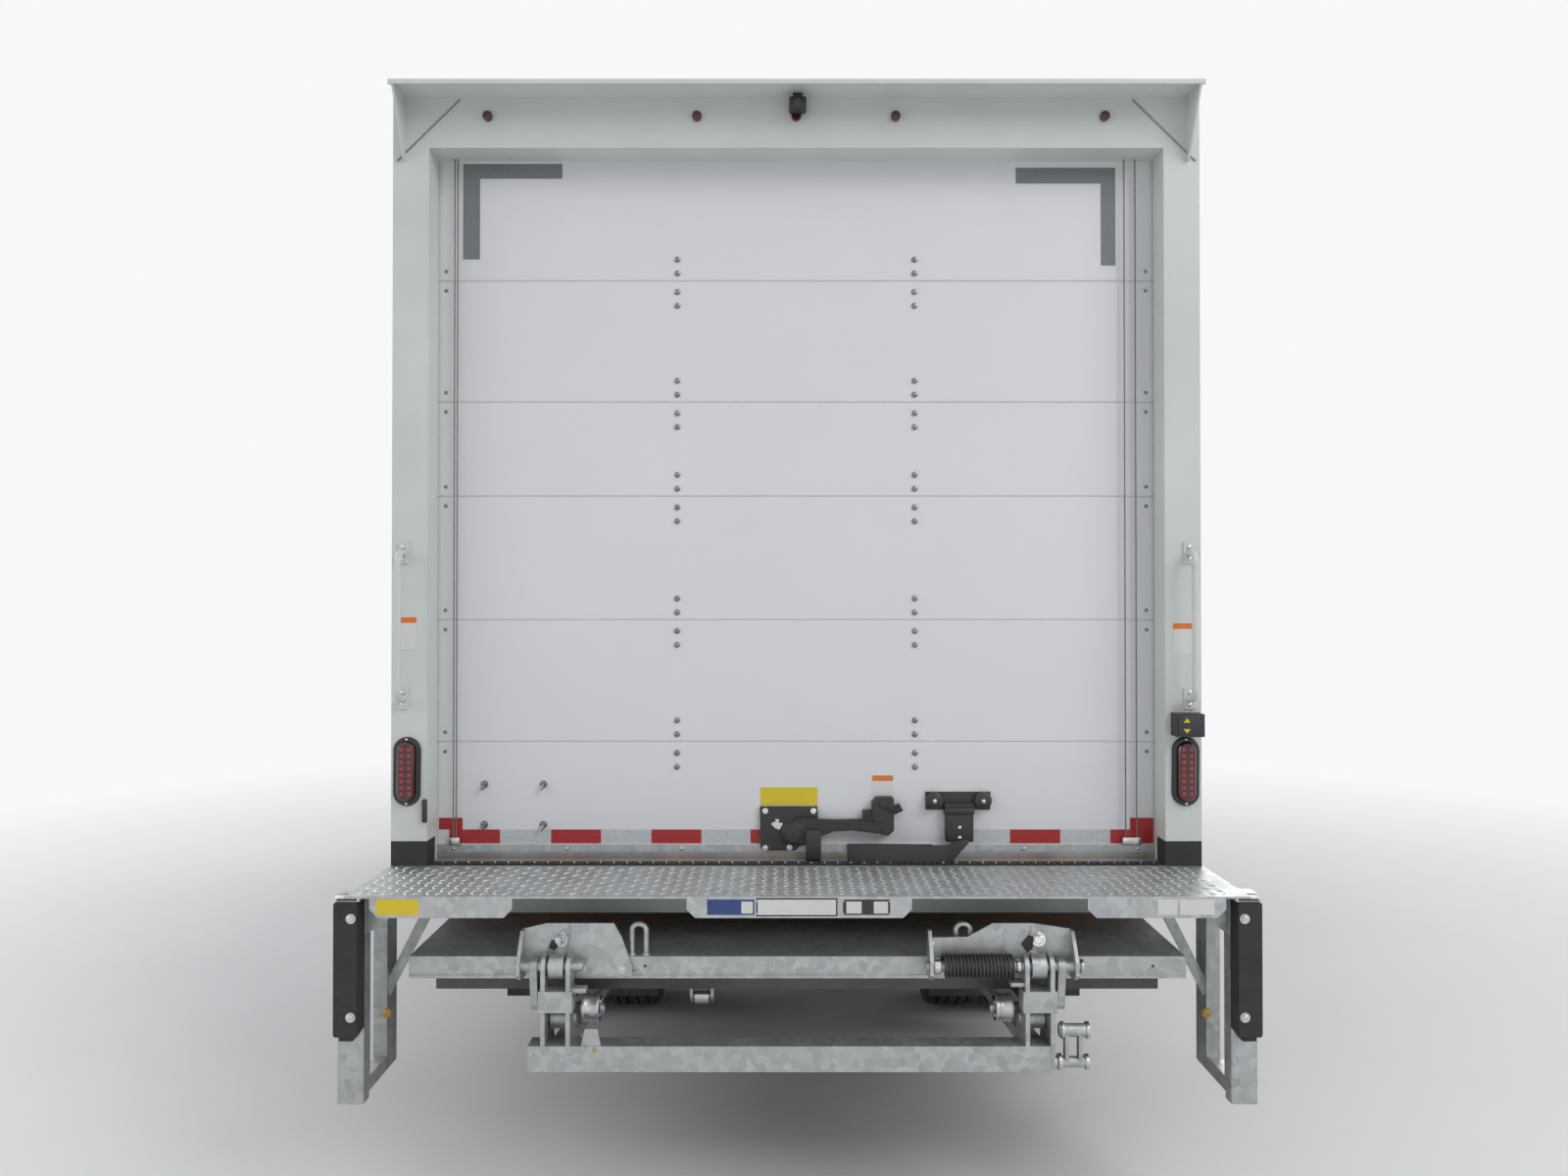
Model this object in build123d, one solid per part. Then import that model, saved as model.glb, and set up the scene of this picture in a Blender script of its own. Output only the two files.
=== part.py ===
from build123d import *
import math
import os

# Box truck with a low cab over its engine, a dry freight body and a lift gate
# that tucks under the rear. Millimetres. +Y is the driving direction, +X the
# truck's right, +Z up. The origin is on the ground under the middle of the
# whole truck. The left side is the negative X side.

# Layout along the truck
EXTENSION_DEPTH = 366.0
BODY_LENGTH = 4877.0
CAB_GAP = 130.0
BUMPER_TO_CAB_BACK = 1800.0
REAR_OVERHANG = 1780.0
FRONT_OVERHANG = 1217.0
OVERALL_LENGTH = EXTENSION_DEPTH + BODY_LENGTH + CAB_GAP + BUMPER_TO_CAB_BACK
REAR_Y = EXTENSION_DEPTH - OVERALL_LENGTH / 2
BODY_FRONT_Y = REAR_Y + BODY_LENGTH
CAB_BACK_Y = BODY_FRONT_Y + CAB_GAP
NOSE_Y = CAB_BACK_Y + BUMPER_TO_CAB_BACK
REAR_AXLE_Y = REAR_Y + REAR_OVERHANG
FRONT_AXLE_Y = NOSE_Y - FRONT_OVERHANG

# Heights from the ground
BED_Z = 1000.0
AXLE_Z = 405.0

# Clearances
SEAT_GAP = 0.3
PIN_GAP = 0.3
DOOR_GAP = 6.0
SIDE_PLAY = 3.0

# Freight body
BODY_WIDTH = 2438.0
WALL = 45.0
FLOOR_THICK = 28.0
CROSS_HEIGHT = 80.0
CROSS_WIDTH = 50.0
CROSS_COUNT = 11
SILL_HEIGHT = 70.0
SKIRT_DROP = 120.0
FRAME_TOP = 2323.0
ROOF_TOP = 2300.0
ROOF_RAIL = 110.0
ROOF_THICK = 38.0
ROOF_EDGE_R = 30.0
BODY_CORNER_R = 130.0
HALF_BODY = BODY_WIDTH / 2

# Rear frame and roll-up door
POST_FACE = 109.0
POST_LIP = 45.0
POST_FRONT_DEPTH = 100.0
FRAME_DEPTH = 180.0
HEADER_BOTTOM = 2166.0
SHOE_HEIGHT = 74.0
REAR_SILL_HEIGHT = 140.0
REAR_SILL_DEPTH = 120.0
HOOD_REACH = 120.0
HOOD_THICK = 6.0
HOOD_LIP = 14.0
CHEEK_INSET = 10.0
HOOD_WIDTH = 2393.0
CHEEK_DROP = 197.0
DOOR_SETBACK = 110.0
DOOR_THICK = 25.0
DOOR_SEAMS = (359.0, 737.0, 1121.0, 1414.0, 1792.0)
SEAM_WIDTH = 8.0
SEAM_DEPTH = 5.0
DOOR_Y = REAR_Y + DOOR_SETBACK

# Ladder frame
RAIL_TOP = BED_Z - FLOOR_THICK - CROSS_HEIGHT - SILL_HEIGHT
RAIL_HEIGHT = 200.0
RAIL_FLANGE = 70.0
RAIL_WALL = 8.0
FRAME_WIDTH = 840.0
RAIL_END_FROM_REAR = 400.0
RAIL_FRONT_SETBACK = 150.0
RAIL_X = FRAME_WIDTH / 2
RAIL_BOTTOM = RAIL_TOP - RAIL_HEIGHT
RAIL_REAR_Y = REAR_Y + RAIL_END_FROM_REAR
RAIL_FRONT_Y = NOSE_Y - RAIL_FRONT_SETBACK

# Wheels and tyres
TYRE_R = AXLE_Z
TYRE_WIDTH = 226.0
BEAD_R = 250.0
RIM_HALF = 95.0
RIM_FLANGE_R = 262.0
RIM_WALL = 9.0
WHEEL_OFFSET = 138.0
FRONT_TRACK = 1670.0
REAR_TRACK = 1650.0
HAND_HOLES = 6
HAND_HOLE_R = 26.0
HAND_HOLE_PITCH_R = 172.0
HUB_R = 62.0
SPINDLE_R = 38.0


def block(x0, x1, y0, y1, z0, z1):
    """A box between two corners."""
    size = Box(abs(x1 - x0), abs(y1 - y0), abs(z1 - z0))
    return Pos((x0 + x1) / 2, (y0 + y1) / 2, (z0 + z1) / 2) * size


def side_prism(points, x0, x1):
    """An outline of (y, z) points, pushed out between two X values."""
    face = Plane(origin=(x0, 0, 0), x_dir=(0, 1, 0), z_dir=(1, 0, 0)) * Polygon(*points, align=None)
    return extrude(face, amount=x1 - x0, dir=(1, 0, 0))


def rear_prism(points, y0, y1):
    """An outline of (x, z) points, pushed out between two Y values."""
    face = Plane(origin=(0, y0, 0), x_dir=(1, 0, 0), z_dir=(0, -1, 0)) * Polygon(*points, align=None)
    return extrude(face, amount=y1 - y0, dir=(0, 1, 0))


def plan_prism(points, z0, z1):
    """An outline of (x, y) points, pushed out between two Z values."""
    return extrude(Plane.XY.offset(z0) * Polygon(*points, align=None), amount=z1 - z0, dir=(0, 0, 1))


def bar_x(x0, x1, y, z, radius):
    """A round bar along X."""
    bar = Plane(origin=(x0, y, z), x_dir=(0, 1, 0), z_dir=(1, 0, 0)) * Circle(radius)
    return extrude(bar, amount=x1 - x0)


def bar_y(x, y0, y1, z, radius):
    """A round bar along Y."""
    bar = Plane(origin=(x, y0, z), x_dir=(1, 0, 0), z_dir=(0, 1, 0)) * Circle(radius)
    return extrude(bar, amount=y1 - y0)


def bar_z(x, y, z0, z1, radius):
    """A round bar along Z."""
    return extrude(Plane.XY.offset(z0) * Pos(x, y) * Circle(radius), amount=z1 - z0)


def mirrored(shape):
    """The same shape on the other side of the truck."""
    return mirror(shape, about=Plane.YZ)


def both_sides(shape):
    """The shape and its mirror image as a list of two."""
    return [shape, mirrored(shape)]


def write(node, *shapes):
    """Write one node's solids to its STEP file."""
    solids = [solid for shape in shapes for solid in shape.solids()]
    export_step(solids[0] if len(solids) == 1 else Compound(solids), f"parts/{node}.step")


os.makedirs("parts", exist_ok=True)

# Ladder frame: two channel rails, cross members and the cab's tilt brackets
TILT_Y = NOSE_Y - 116.5
TILT_Z = 605.0
TILT_PIN_R = 16.0
TILT_LUG_X = 300.0
TILT_LUG_WIDTH = 24.0
CROSS_AHEAD_OF_REAR = (870.0, 1940.0, 3070.0)
CROSS_BEHIND_FRONT = (106.0, 2056.0)
FRAME_CROSS_WIDTH = 60.0
FRAME_CROSS_HEIGHT = 90.0
CAB_MOUNT_LENGTH = 90.0
CAB_FLOOR_Z = 930.0


def frame_rail():
    """The right rail: a channel, open towards the middle of the truck."""
    web = block(RAIL_X - RAIL_WALL, RAIL_X, RAIL_REAR_Y, RAIL_FRONT_Y, RAIL_BOTTOM, RAIL_TOP)
    inner_x = RAIL_X - RAIL_FLANGE
    top = block(inner_x, RAIL_X, RAIL_REAR_Y, RAIL_FRONT_Y, RAIL_TOP - RAIL_WALL, RAIL_TOP)
    bottom = block(inner_x, RAIL_X, RAIL_REAR_Y, RAIL_FRONT_Y, RAIL_BOTTOM, RAIL_BOTTOM + RAIL_WALL)
    horn = side_prism(
        [
            (RAIL_FRONT_Y - 120, RAIL_BOTTOM + 120),
            (RAIL_FRONT_Y, RAIL_BOTTOM + 120),
            (TILT_Y + 22, TILT_Z + 20),
            (TILT_Y + 22, TILT_Z - 10),
            (TILT_Y + 8, TILT_Z - 24),
            (TILT_Y - 60, TILT_Z - 20),
            (RAIL_FRONT_Y - 120, RAIL_BOTTOM),
        ],
        RAIL_X - 2 * RAIL_WALL,
        RAIL_X,
    )
    pin = bar_x(TILT_LUG_X - 12, RAIL_X - RAIL_WALL, TILT_Y, TILT_Z, TILT_PIN_R)
    mount = block(
        inner_x + 6, RAIL_X, CAB_BACK_Y + 40, CAB_BACK_Y + 40 + CAB_MOUNT_LENGTH,
        RAIL_TOP, CAB_FLOOR_Z - SEAT_GAP,
    )
    return web + top + bottom + horn + pin + mount


def frame_rails():
    """Both rails with their cross members."""
    frame = frame_rail()
    frame += mirrored(frame)
    reach = RAIL_X - RAIL_WALL / 2
    places = [RAIL_REAR_Y + step for step in CROSS_AHEAD_OF_REAR]
    places += [RAIL_FRONT_Y - step for step in CROSS_BEHIND_FRONT]
    for y in places:
        frame += block(
            -reach, reach, y - FRAME_CROSS_WIDTH / 2, y + FRAME_CROSS_WIDTH / 2,
            RAIL_TOP - RAIL_WALL - FRAME_CROSS_HEIGHT, RAIL_TOP - RAIL_WALL / 2,
        )
    end_plate = block(-reach, reach, RAIL_REAR_Y, RAIL_REAR_Y + RAIL_WALL, RAIL_BOTTOM, RAIL_TOP)
    return frame + end_plate


write("frame_rails", frame_rails())

# Axles, springs and drive
BEAM_TOP = 392.0
BEAM_BOTTOM = 300.0
BEAM_DEPTH = 84.0
KINGPIN_INSET = 100.0
KINGPIN_X = FRONT_TRACK / 2 - KINGPIN_INSET
KINGPIN_R = 17.0
KINGPIN_EYE_R = 36.0
KINGPIN_EYE_LOW = 352.0
KINGPIN_EYE_HIGH = 458.0
SPRING_WIDTH = 68.0
FRONT_SPRING_X = RAIL_X - 36.0
REAR_SPRING_X = RAIL_X + 45.0
SPRING_HALF = 590.0
SPRING_PACK = 56.0
FRONT_SEAT_Z = 400.0
REAR_SEAT_Z = 476.0
FRONT_EYE_RISE = 108.0
REAR_EYE_RISE = 70.0
HANGER_LENGTH = 70.0
AXLE_TUBE_R = 56.0
BANJO_R = 168.0
BANJO_WIDTH = 190.0
PINION_Z = 430.0
PINION_REACH = 290.0
SHAFT_R = 45.0
FLANGE_R = 70.0
FLANGE_THICK = 14.0
REAR_SPINDLE_END = 985.0
FRONT_MOUNT_X = FRONT_TRACK / 2 + WHEEL_OFFSET
REAR_MOUNT_X = REAR_TRACK / 2


def front_axle():
    """An I-section beam with an eye for each kingpin and a seat for each spring."""
    half = BEAM_DEPTH / 2
    web = 14.0
    flange = 18.0
    y0 = FRONT_AXLE_Y - half
    y1 = FRONT_AXLE_Y + half
    reach = KINGPIN_X - 120
    beam = block(-reach, reach, y0, y1, BEAM_TOP - flange, BEAM_TOP)
    beam += block(-reach, reach, y0, y1, BEAM_BOTTOM, BEAM_BOTTOM + flange)
    beam += block(-reach, reach, FRONT_AXLE_Y - web / 2, FRONT_AXLE_Y + web / 2, BEAM_BOTTOM, BEAM_TOP)
    eye = bar_z(KINGPIN_X, FRONT_AXLE_Y, KINGPIN_EYE_LOW, KINGPIN_EYE_HIGH, KINGPIN_EYE_R)
    arm = rear_prism(
        [(reach - 70, BEAM_BOTTOM), (reach, BEAM_BOTTOM), (KINGPIN_X - 45, KINGPIN_EYE_LOW),
         (KINGPIN_X, KINGPIN_EYE_LOW), (KINGPIN_X, KINGPIN_EYE_HIGH), (KINGPIN_X - 45, KINGPIN_EYE_HIGH),
         (reach, BEAM_TOP), (reach - 70, BEAM_TOP)],
        FRONT_AXLE_Y - 30, FRONT_AXLE_Y + 30,
    )
    end = eye + arm
    end -= bar_z(KINGPIN_X, FRONT_AXLE_Y, KINGPIN_EYE_LOW - 1, KINGPIN_EYE_HIGH + 1, KINGPIN_R + PIN_GAP)
    seat = block(
        FRONT_SPRING_X - SPRING_WIDTH / 2 - 6, FRONT_SPRING_X + SPRING_WIDTH / 2 + 6,
        FRONT_AXLE_Y - 62, FRONT_AXLE_Y + 62, BEAM_TOP - 8, FRONT_SEAT_Z,
    )
    side = end + seat
    return beam + side + mirrored(side)


def leaf_spring(x, axle_y, seat_z, eye_rise, hanger_x0, hanger_x1, hanger_top):
    """One pack of leaves, bowed up to its eyes, with its two hangers."""
    low = seat_z
    high = seat_z + SPRING_PACK
    leaves = side_prism(
        [
            (axle_y - 62, low), (axle_y + 62, low),
            (axle_y + 300, low + eye_rise * 0.42), (axle_y + SPRING_HALF, low + eye_rise + 34),
            (axle_y + SPRING_HALF, low + eye_rise + 52), (axle_y + 300, high + eye_rise * 0.30),
            (axle_y + 62, high), (axle_y - 62, high),
            (axle_y - 300, high + eye_rise * 0.30), (axle_y - SPRING_HALF, low + eye_rise + 52),
            (axle_y - SPRING_HALF, low + eye_rise + 34), (axle_y - 300, low + eye_rise * 0.42),
        ],
        x - SPRING_WIDTH / 2, x + SPRING_WIDTH / 2,
    )
    spring = leaves
    eye_z = low + eye_rise + 36
    for side in (-1, 1):
        eye_y = axle_y + side * SPRING_HALF
        spring += bar_x(x - SPRING_WIDTH / 2, x + SPRING_WIDTH / 2, eye_y, eye_z, 24)
        spring += block(
            hanger_x0, hanger_x1, eye_y - HANGER_LENGTH / 2, eye_y + HANGER_LENGTH / 2, eye_z - 10, hanger_top,
        )
    return spring


def rear_axle():
    """Banjo housing, axle tubes, spring seats, pinion nose and spindles."""
    tubes = bar_x(-REAR_MOUNT_X + 160, REAR_MOUNT_X - 160, REAR_AXLE_Y, AXLE_Z, AXLE_TUBE_R)
    spindles = bar_x(-REAR_SPINDLE_END, REAR_SPINDLE_END, REAR_AXLE_Y, AXLE_Z, SPINDLE_R)
    banjo = bar_x(-BANJO_WIDTH / 2, BANJO_WIDTH / 2, REAR_AXLE_Y, AXLE_Z, BANJO_R)
    nose = bar_y(0, REAR_AXLE_Y, REAR_AXLE_Y + PINION_REACH, PINION_Z, 60)
    nose += bar_y(0, REAR_AXLE_Y + PINION_REACH - FLANGE_THICK, REAR_AXLE_Y + PINION_REACH, PINION_Z, FLANGE_R)
    seat = block(
        REAR_SPRING_X - SPRING_WIDTH / 2 - 6, REAR_SPRING_X + SPRING_WIDTH / 2 + 6,
        REAR_AXLE_Y - 62, REAR_AXLE_Y + 62, AXLE_Z, REAR_SEAT_Z,
    )
    return tubes + spindles + banjo + nose + seat + mirrored(seat)


ENGINE_REAR_Y = FRONT_AXLE_Y - 230.0
ENGINE_FRONT_Y = FRONT_AXLE_Y + 560.0
ENGINE_HALF = 270.0
ENGINE_LOW_Z = 500.0
ENGINE_TOP_Z = 1075.0
GEARBOX_REAR_Y = ENGINE_REAR_Y - 640.0
GEARBOX_HALF = 170.0
GEARBOX_LOW_Z = 350.0
GEARBOX_TOP_Z = 760.0


def engine():
    """Engine and gearbox as one plain block on its mounts between the rails."""
    motor = block(-ENGINE_HALF, ENGINE_HALF, ENGINE_REAR_Y, ENGINE_FRONT_Y, ENGINE_LOW_Z, ENGINE_TOP_Z)
    gearbox = block(
        -GEARBOX_HALF, GEARBOX_HALF, GEARBOX_REAR_Y, ENGINE_REAR_Y + 10, GEARBOX_LOW_Z, GEARBOX_TOP_Z,
    )
    output = bar_y(0, GEARBOX_REAR_Y - 30, GEARBOX_REAR_Y, PINION_Z, FLANGE_R)
    mounts = block(
        -RAIL_X + RAIL_WALL, RAIL_X - RAIL_WALL, ENGINE_FRONT_Y - 220, ENGINE_FRONT_Y - 120,
        RAIL_BOTTOM + 40, RAIL_TOP - 60,
    )
    return motor + gearbox + output + mounts


def driveshaft():
    """A tube between the gearbox and the pinion, with a flange at each end."""
    y0 = REAR_AXLE_Y + PINION_REACH
    y1 = GEARBOX_REAR_Y - 30
    shaft = bar_y(0, y0, y1, PINION_Z, SHAFT_R)
    shaft += bar_y(0, y0, y0 + FLANGE_THICK, PINION_Z, FLANGE_R)
    return shaft + bar_y(0, y1 - FLANGE_THICK, y1, PINION_Z, FLANGE_R)


write("front_axle", front_axle())
write("rear_axle", rear_axle())
write(
    "leaf_springs",
    *both_sides(leaf_spring(
        FRONT_SPRING_X, FRONT_AXLE_Y, FRONT_SEAT_Z, FRONT_EYE_RISE,
        FRONT_SPRING_X - 20, FRONT_SPRING_X + 20, RAIL_BOTTOM,
    )),
    *both_sides(leaf_spring(
        REAR_SPRING_X, REAR_AXLE_Y, REAR_SEAT_Z, REAR_EYE_RISE,
        RAIL_X, REAR_SPRING_X, RAIL_BOTTOM + 90,
    )),
)
write("engine", engine())
write("driveshaft", driveshaft())

# Steering knuckles, tie rod and wheels
STEER_ARM_BACK = 150.0
TIE_ROD_Z = 277.0
TIE_ROD_R = 15.0
TIE_PIN_R = 10.0


def knuckle():
    """The right knuckle: fork, kingpin, spindle and steering arm."""
    low = KINGPIN_EYE_LOW - SIDE_PLAY
    high = KINGPIN_EYE_HIGH + SIDE_PLAY
    fork = bar_z(KINGPIN_X, FRONT_AXLE_Y, high, high + 30, KINGPIN_EYE_R)
    fork += bar_z(KINGPIN_X, FRONT_AXLE_Y, low - 30, low, KINGPIN_EYE_R)
    cheek = block(
        KINGPIN_X + KINGPIN_EYE_R + 6, KINGPIN_X + KINGPIN_EYE_R + 34,
        FRONT_AXLE_Y - 48, FRONT_AXLE_Y + 48, low - 30, high + 30,
    )
    for z0 in (high, low - 30):
        fork += block(
            KINGPIN_X, KINGPIN_X + KINGPIN_EYE_R + 20, FRONT_AXLE_Y - 30, FRONT_AXLE_Y + 30, z0, z0 + 30,
        )
    pin = bar_z(KINGPIN_X, FRONT_AXLE_Y, low - 5, high + 5, KINGPIN_R)
    spindle = bar_x(KINGPIN_X + KINGPIN_EYE_R + 10, FRONT_MOUNT_X + 20, FRONT_AXLE_Y, AXLE_Z, SPINDLE_R)
    arm = plan_prism(
        [(KINGPIN_X - 20, FRONT_AXLE_Y + 20), (KINGPIN_X + 34, FRONT_AXLE_Y + 20),
         (KINGPIN_X + 20, FRONT_AXLE_Y - STEER_ARM_BACK - 20),
         (KINGPIN_X - 20, FRONT_AXLE_Y - STEER_ARM_BACK - 20)],
        low - 52, low - 30,
    )
    ball = bar_z(KINGPIN_X, FRONT_AXLE_Y - STEER_ARM_BACK, TIE_ROD_Z - TIE_ROD_R - 4, low - 35, TIE_PIN_R)
    return fork + cheek + pin + spindle + arm + ball


def tie_rod():
    """The rod between the two steering arms, with an eye at each end."""
    y = FRONT_AXLE_Y - STEER_ARM_BACK
    z = TIE_ROD_Z
    rod = bar_x(-KINGPIN_X, KINGPIN_X, y, z, TIE_ROD_R)
    for x in (-KINGPIN_X, KINGPIN_X):
        rod += bar_z(x, y, z - TIE_ROD_R, z + TIE_ROD_R, 24)
    for x in (-KINGPIN_X, KINGPIN_X):
        rod -= bar_z(x, y, z - 2 * TIE_ROD_R, z + 2 * TIE_ROD_R, TIE_PIN_R + PIN_GAP)
    return rod


def spin(points):
    """A ring: an outline of (axial, radius) points turned about the X axis."""
    return revolve(Polygon(*points, align=None), axis=Axis.X)


def tyre():
    """A tyre about the X axis, centred on the origin."""
    half = TYRE_WIDTH / 2
    bead = RIM_HALF - 10
    return spin([
        (-bead, BEAD_R + SEAT_GAP), (-bead, RIM_FLANGE_R + 4), (-half, 335), (-half + 22, TYRE_R),
        (half - 22, TYRE_R), (half, 335), (bead, RIM_FLANGE_R + 4), (bead, BEAD_R + SEAT_GAP),
    ])


def rim():
    """A disc wheel about the X axis: its mounting face is towards +X."""
    face = WHEEL_OFFSET
    outline = Polygon(
        (-RIM_HALF, RIM_FLANGE_R), (-RIM_HALF + RIM_WALL, RIM_FLANGE_R), (-RIM_HALF + RIM_WALL, BEAD_R),
        (-38, BEAD_R), (-24, 228), (24, 228), (38, BEAD_R), (RIM_HALF - RIM_WALL, BEAD_R),
        (RIM_HALF - RIM_WALL, RIM_FLANGE_R), (RIM_HALF, RIM_FLANGE_R), (RIM_HALF, BEAD_R - RIM_WALL),
        (40, BEAD_R - RIM_WALL), (28, 219), (70, 196), (face, 140), (face, 50), (face - 12, 50),
        (face - 12, 132), (62, 184), (8, 213), (-28, 219), (-42, BEAD_R - RIM_WALL), (-RIM_HALF, BEAD_R - RIM_WALL),
        align=None,
    )
    wheel = revolve(outline, axis=Axis.X)
    hole = bar_x(0, face, 0, HAND_HOLE_PITCH_R, HAND_HOLE_R)
    for index in range(HAND_HOLES):
        wheel -= Rot(X=360 / HAND_HOLES * index) * hole
    return wheel


def front_hub():
    """The hub inside a front wheel, about the X axis, its flange behind the rim's face."""
    face = WHEEL_OFFSET - 12
    hub = spin([(-22, SPINDLE_R + PIN_GAP), (-22, HUB_R + 10), (face - 16, HUB_R + 10), (face - 16, 118),
                (face, 118), (face, HUB_R - 4), (face + 52, HUB_R - 14), (face + 52, 0),
                (face + 44, 0), (face + 44, SPINDLE_R + PIN_GAP)])
    return hub


def rear_hub():
    """The hub through a pair of rear wheels, about the X axis, its flange at the origin."""
    end = REAR_SPINDLE_END - REAR_MOUNT_X
    return spin([(-150, SPINDLE_R + PIN_GAP), (-150, HUB_R + 22), (-28, HUB_R + 22), (-28, 118),
                 (-12, 118), (-12, HUB_R), (end + 10, HUB_R - 10), (end + 18, 0),
                 (end + 6, 0), (end + 6, SPINDLE_R + PIN_GAP)])


def at_wheel(shape, x, y):
    """Move a wheel's piece to its place on the right side."""
    return Pos(x, y, AXLE_Z) * shape


front_x = FRONT_TRACK / 2
inner_x = REAR_MOUNT_X - WHEEL_OFFSET
outer_x = REAR_MOUNT_X + WHEEL_OFFSET
front_tyre = at_wheel(tyre(), front_x, FRONT_AXLE_Y)
front_wheel = at_wheel(rim() + front_hub(), front_x, FRONT_AXLE_Y)
rear_tyres = [at_wheel(tyre(), inner_x, REAR_AXLE_Y), at_wheel(tyre(), outer_x, REAR_AXLE_Y)]
outer_rim = mirror(rim(), about=Plane.YZ)
rear_wheels = at_wheel(rim(), inner_x, REAR_AXLE_Y) + at_wheel(outer_rim, outer_x, REAR_AXLE_Y)
rear_wheels += at_wheel(rear_hub(), REAR_MOUNT_X, REAR_AXLE_Y)

write("knuckle_right", knuckle())
write("knuckle_left", mirrored(knuckle()))
write("tie_rod", tie_rod())
write("tyre_front_right", front_tyre)
write("tyre_front_left", mirrored(front_tyre))
write("wheel_front_right", front_wheel)
write("wheel_front_left", mirrored(front_wheel))
write("tyres_rear_right", *rear_tyres)
write("tyres_rear_left", *[mirrored(one) for one in rear_tyres])
write("wheels_rear_right", rear_wheels)
write("wheels_rear_left", mirrored(rear_wheels))

# Fuel tank, battery box and exhaust on the sides of the frame
TANK_Y0 = REAR_AXLE_Y + 1190.0
TANK_LENGTH = 900.0
TANK_WIDTH = 460.0
TANK_LOW_Z = 400.0
TANK_TOP_Z = 760.0
TANK_CORNER_R = 60.0
TANK_STRAP = 50.0
STRAP_THICK = 4.0
UNIT_OFF_RAIL = 30.0
BATTERY_Y0 = FRONT_AXLE_Y - 1589.0
BATTERY_LENGTH = 430.0
BATTERY_WIDTH = 330.0
BATTERY_LOW_Z = 470.0
MUFFLER_R = 125.0
MUFFLER_OFF_TYRE = 416.0
MUFFLER_OFF_BATTERY = 450.0
MUFFLER_Y0 = REAR_AXLE_Y + TYRE_R + MUFFLER_OFF_TYRE
MUFFLER_LENGTH = BATTERY_Y0 - MUFFLER_OFF_BATTERY - MUFFLER_Y0
MUFFLER_Z = 560.0
MUFFLER_OFF_RAIL = 190.0
INLET_R = 32.0
OUTLET_R = 36.0
PIPE_DROP = 110.0


def tank_form(y0, y1, grow):
    """The tank's rounded section between two Y values, grown outwards."""
    x0 = -RAIL_X - UNIT_OFF_RAIL
    form = block(x0 - TANK_WIDTH - grow, x0 + grow, y0, y1, TANK_LOW_Z - grow, TANK_TOP_Z + grow)
    return fillet(form.edges().filter_by(Axis.Y), TANK_CORNER_R + grow)


def fuel_tank():
    """The tank on the left rail, with its two straps and brackets and its filler cap."""
    tank = tank_form(TANK_Y0, TANK_Y0 + TANK_LENGTH, 0)
    for y in (TANK_Y0 + 150, TANK_Y0 + TANK_LENGTH - 150 - TANK_STRAP):
        tank += tank_form(y, y + TANK_STRAP, STRAP_THICK)
        tank += block(-RAIL_X - UNIT_OFF_RAIL - 40, -RAIL_X, y, y + TANK_STRAP, TANK_TOP_Z - 200, TANK_TOP_Z - 20)
    neck_x = -RAIL_X - UNIT_OFF_RAIL - TANK_WIDTH + 95
    return tank + bar_z(neck_x, TANK_Y0 + TANK_LENGTH / 2, TANK_TOP_Z - 5, TANK_TOP_Z + 32, 48)


def battery_box():
    """The battery box on the right rail, forward of the muffler."""
    x0 = RAIL_X + UNIT_OFF_RAIL
    box = block(x0, x0 + BATTERY_WIDTH, BATTERY_Y0, BATTERY_Y0 + BATTERY_LENGTH, BATTERY_LOW_Z, TANK_TOP_Z)
    box = fillet(box.edges().filter_by(Axis.Z), 20)
    return box + block(RAIL_X, x0 + 10, BATTERY_Y0 + 60, BATTERY_Y0 + 370, TANK_TOP_Z - 120, TANK_TOP_Z - 20)


def pipe(points, bend, radius):
    """A round pipe along a route with bends."""
    route = FilletPolyline(*points, radius=bend)
    section = Plane(origin=route @ 0, z_dir=route % 0) * Circle(radius)
    return sweep(section, path=route)


def exhaust():
    """Muffler on the right rail with its inlet and tail pipes and hangers."""
    x = RAIL_X + MUFFLER_OFF_RAIL
    y0 = MUFFLER_Y0
    y1 = MUFFLER_Y0 + MUFFLER_LENGTH
    z = MUFFLER_Z
    inner_x = RAIL_X - MUFFLER_OFF_RAIL
    body = bar_y(x, y0, y1, z, MUFFLER_R)
    body += pipe(
        [(x, y1 - 10, z), (x, y1 + 110, z), (inner_x, y1 + 330, z - PIPE_DROP),
         (inner_x, GEARBOX_REAR_Y + 90, z - PIPE_DROP)],
        70, INLET_R,
    )
    body += pipe([(x, y0 + 10, z), (x, y0 - 90, z), (x + 300, y0 - 90, z - 60)], 60, OUTLET_R)
    for y in (y0 + 120, y1 - 160):
        body += block(RAIL_X, x, y, y + 40, z + 40, z + 120)
    return body


write("fuel_tank", fuel_tank())
write("battery_box", battery_box())
write("exhaust", exhaust())

# Freight body
WALL_REAR_Y = REAR_Y + FRAME_DEPTH
CORNER_START_Y = BODY_FRONT_Y - BODY_CORNER_R
SKIRT_Z = BED_Z - SKIRT_DROP
RAIL_LOW_Z = BED_Z + ROOF_TOP - ROOF_RAIL
ROOF_Z = BED_Z + ROOF_TOP
CROSS_FIRST_Y = REAR_Y + REAR_SILL_DEPTH
CROSS_PITCH = (BODY_FRONT_Y - WALL - CROSS_FIRST_Y - CROSS_WIDTH) / (CROSS_COUNT - 1)
CROSS_LOW_Z = BED_Z - FLOOR_THICK - CROSS_HEIGHT


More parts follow.
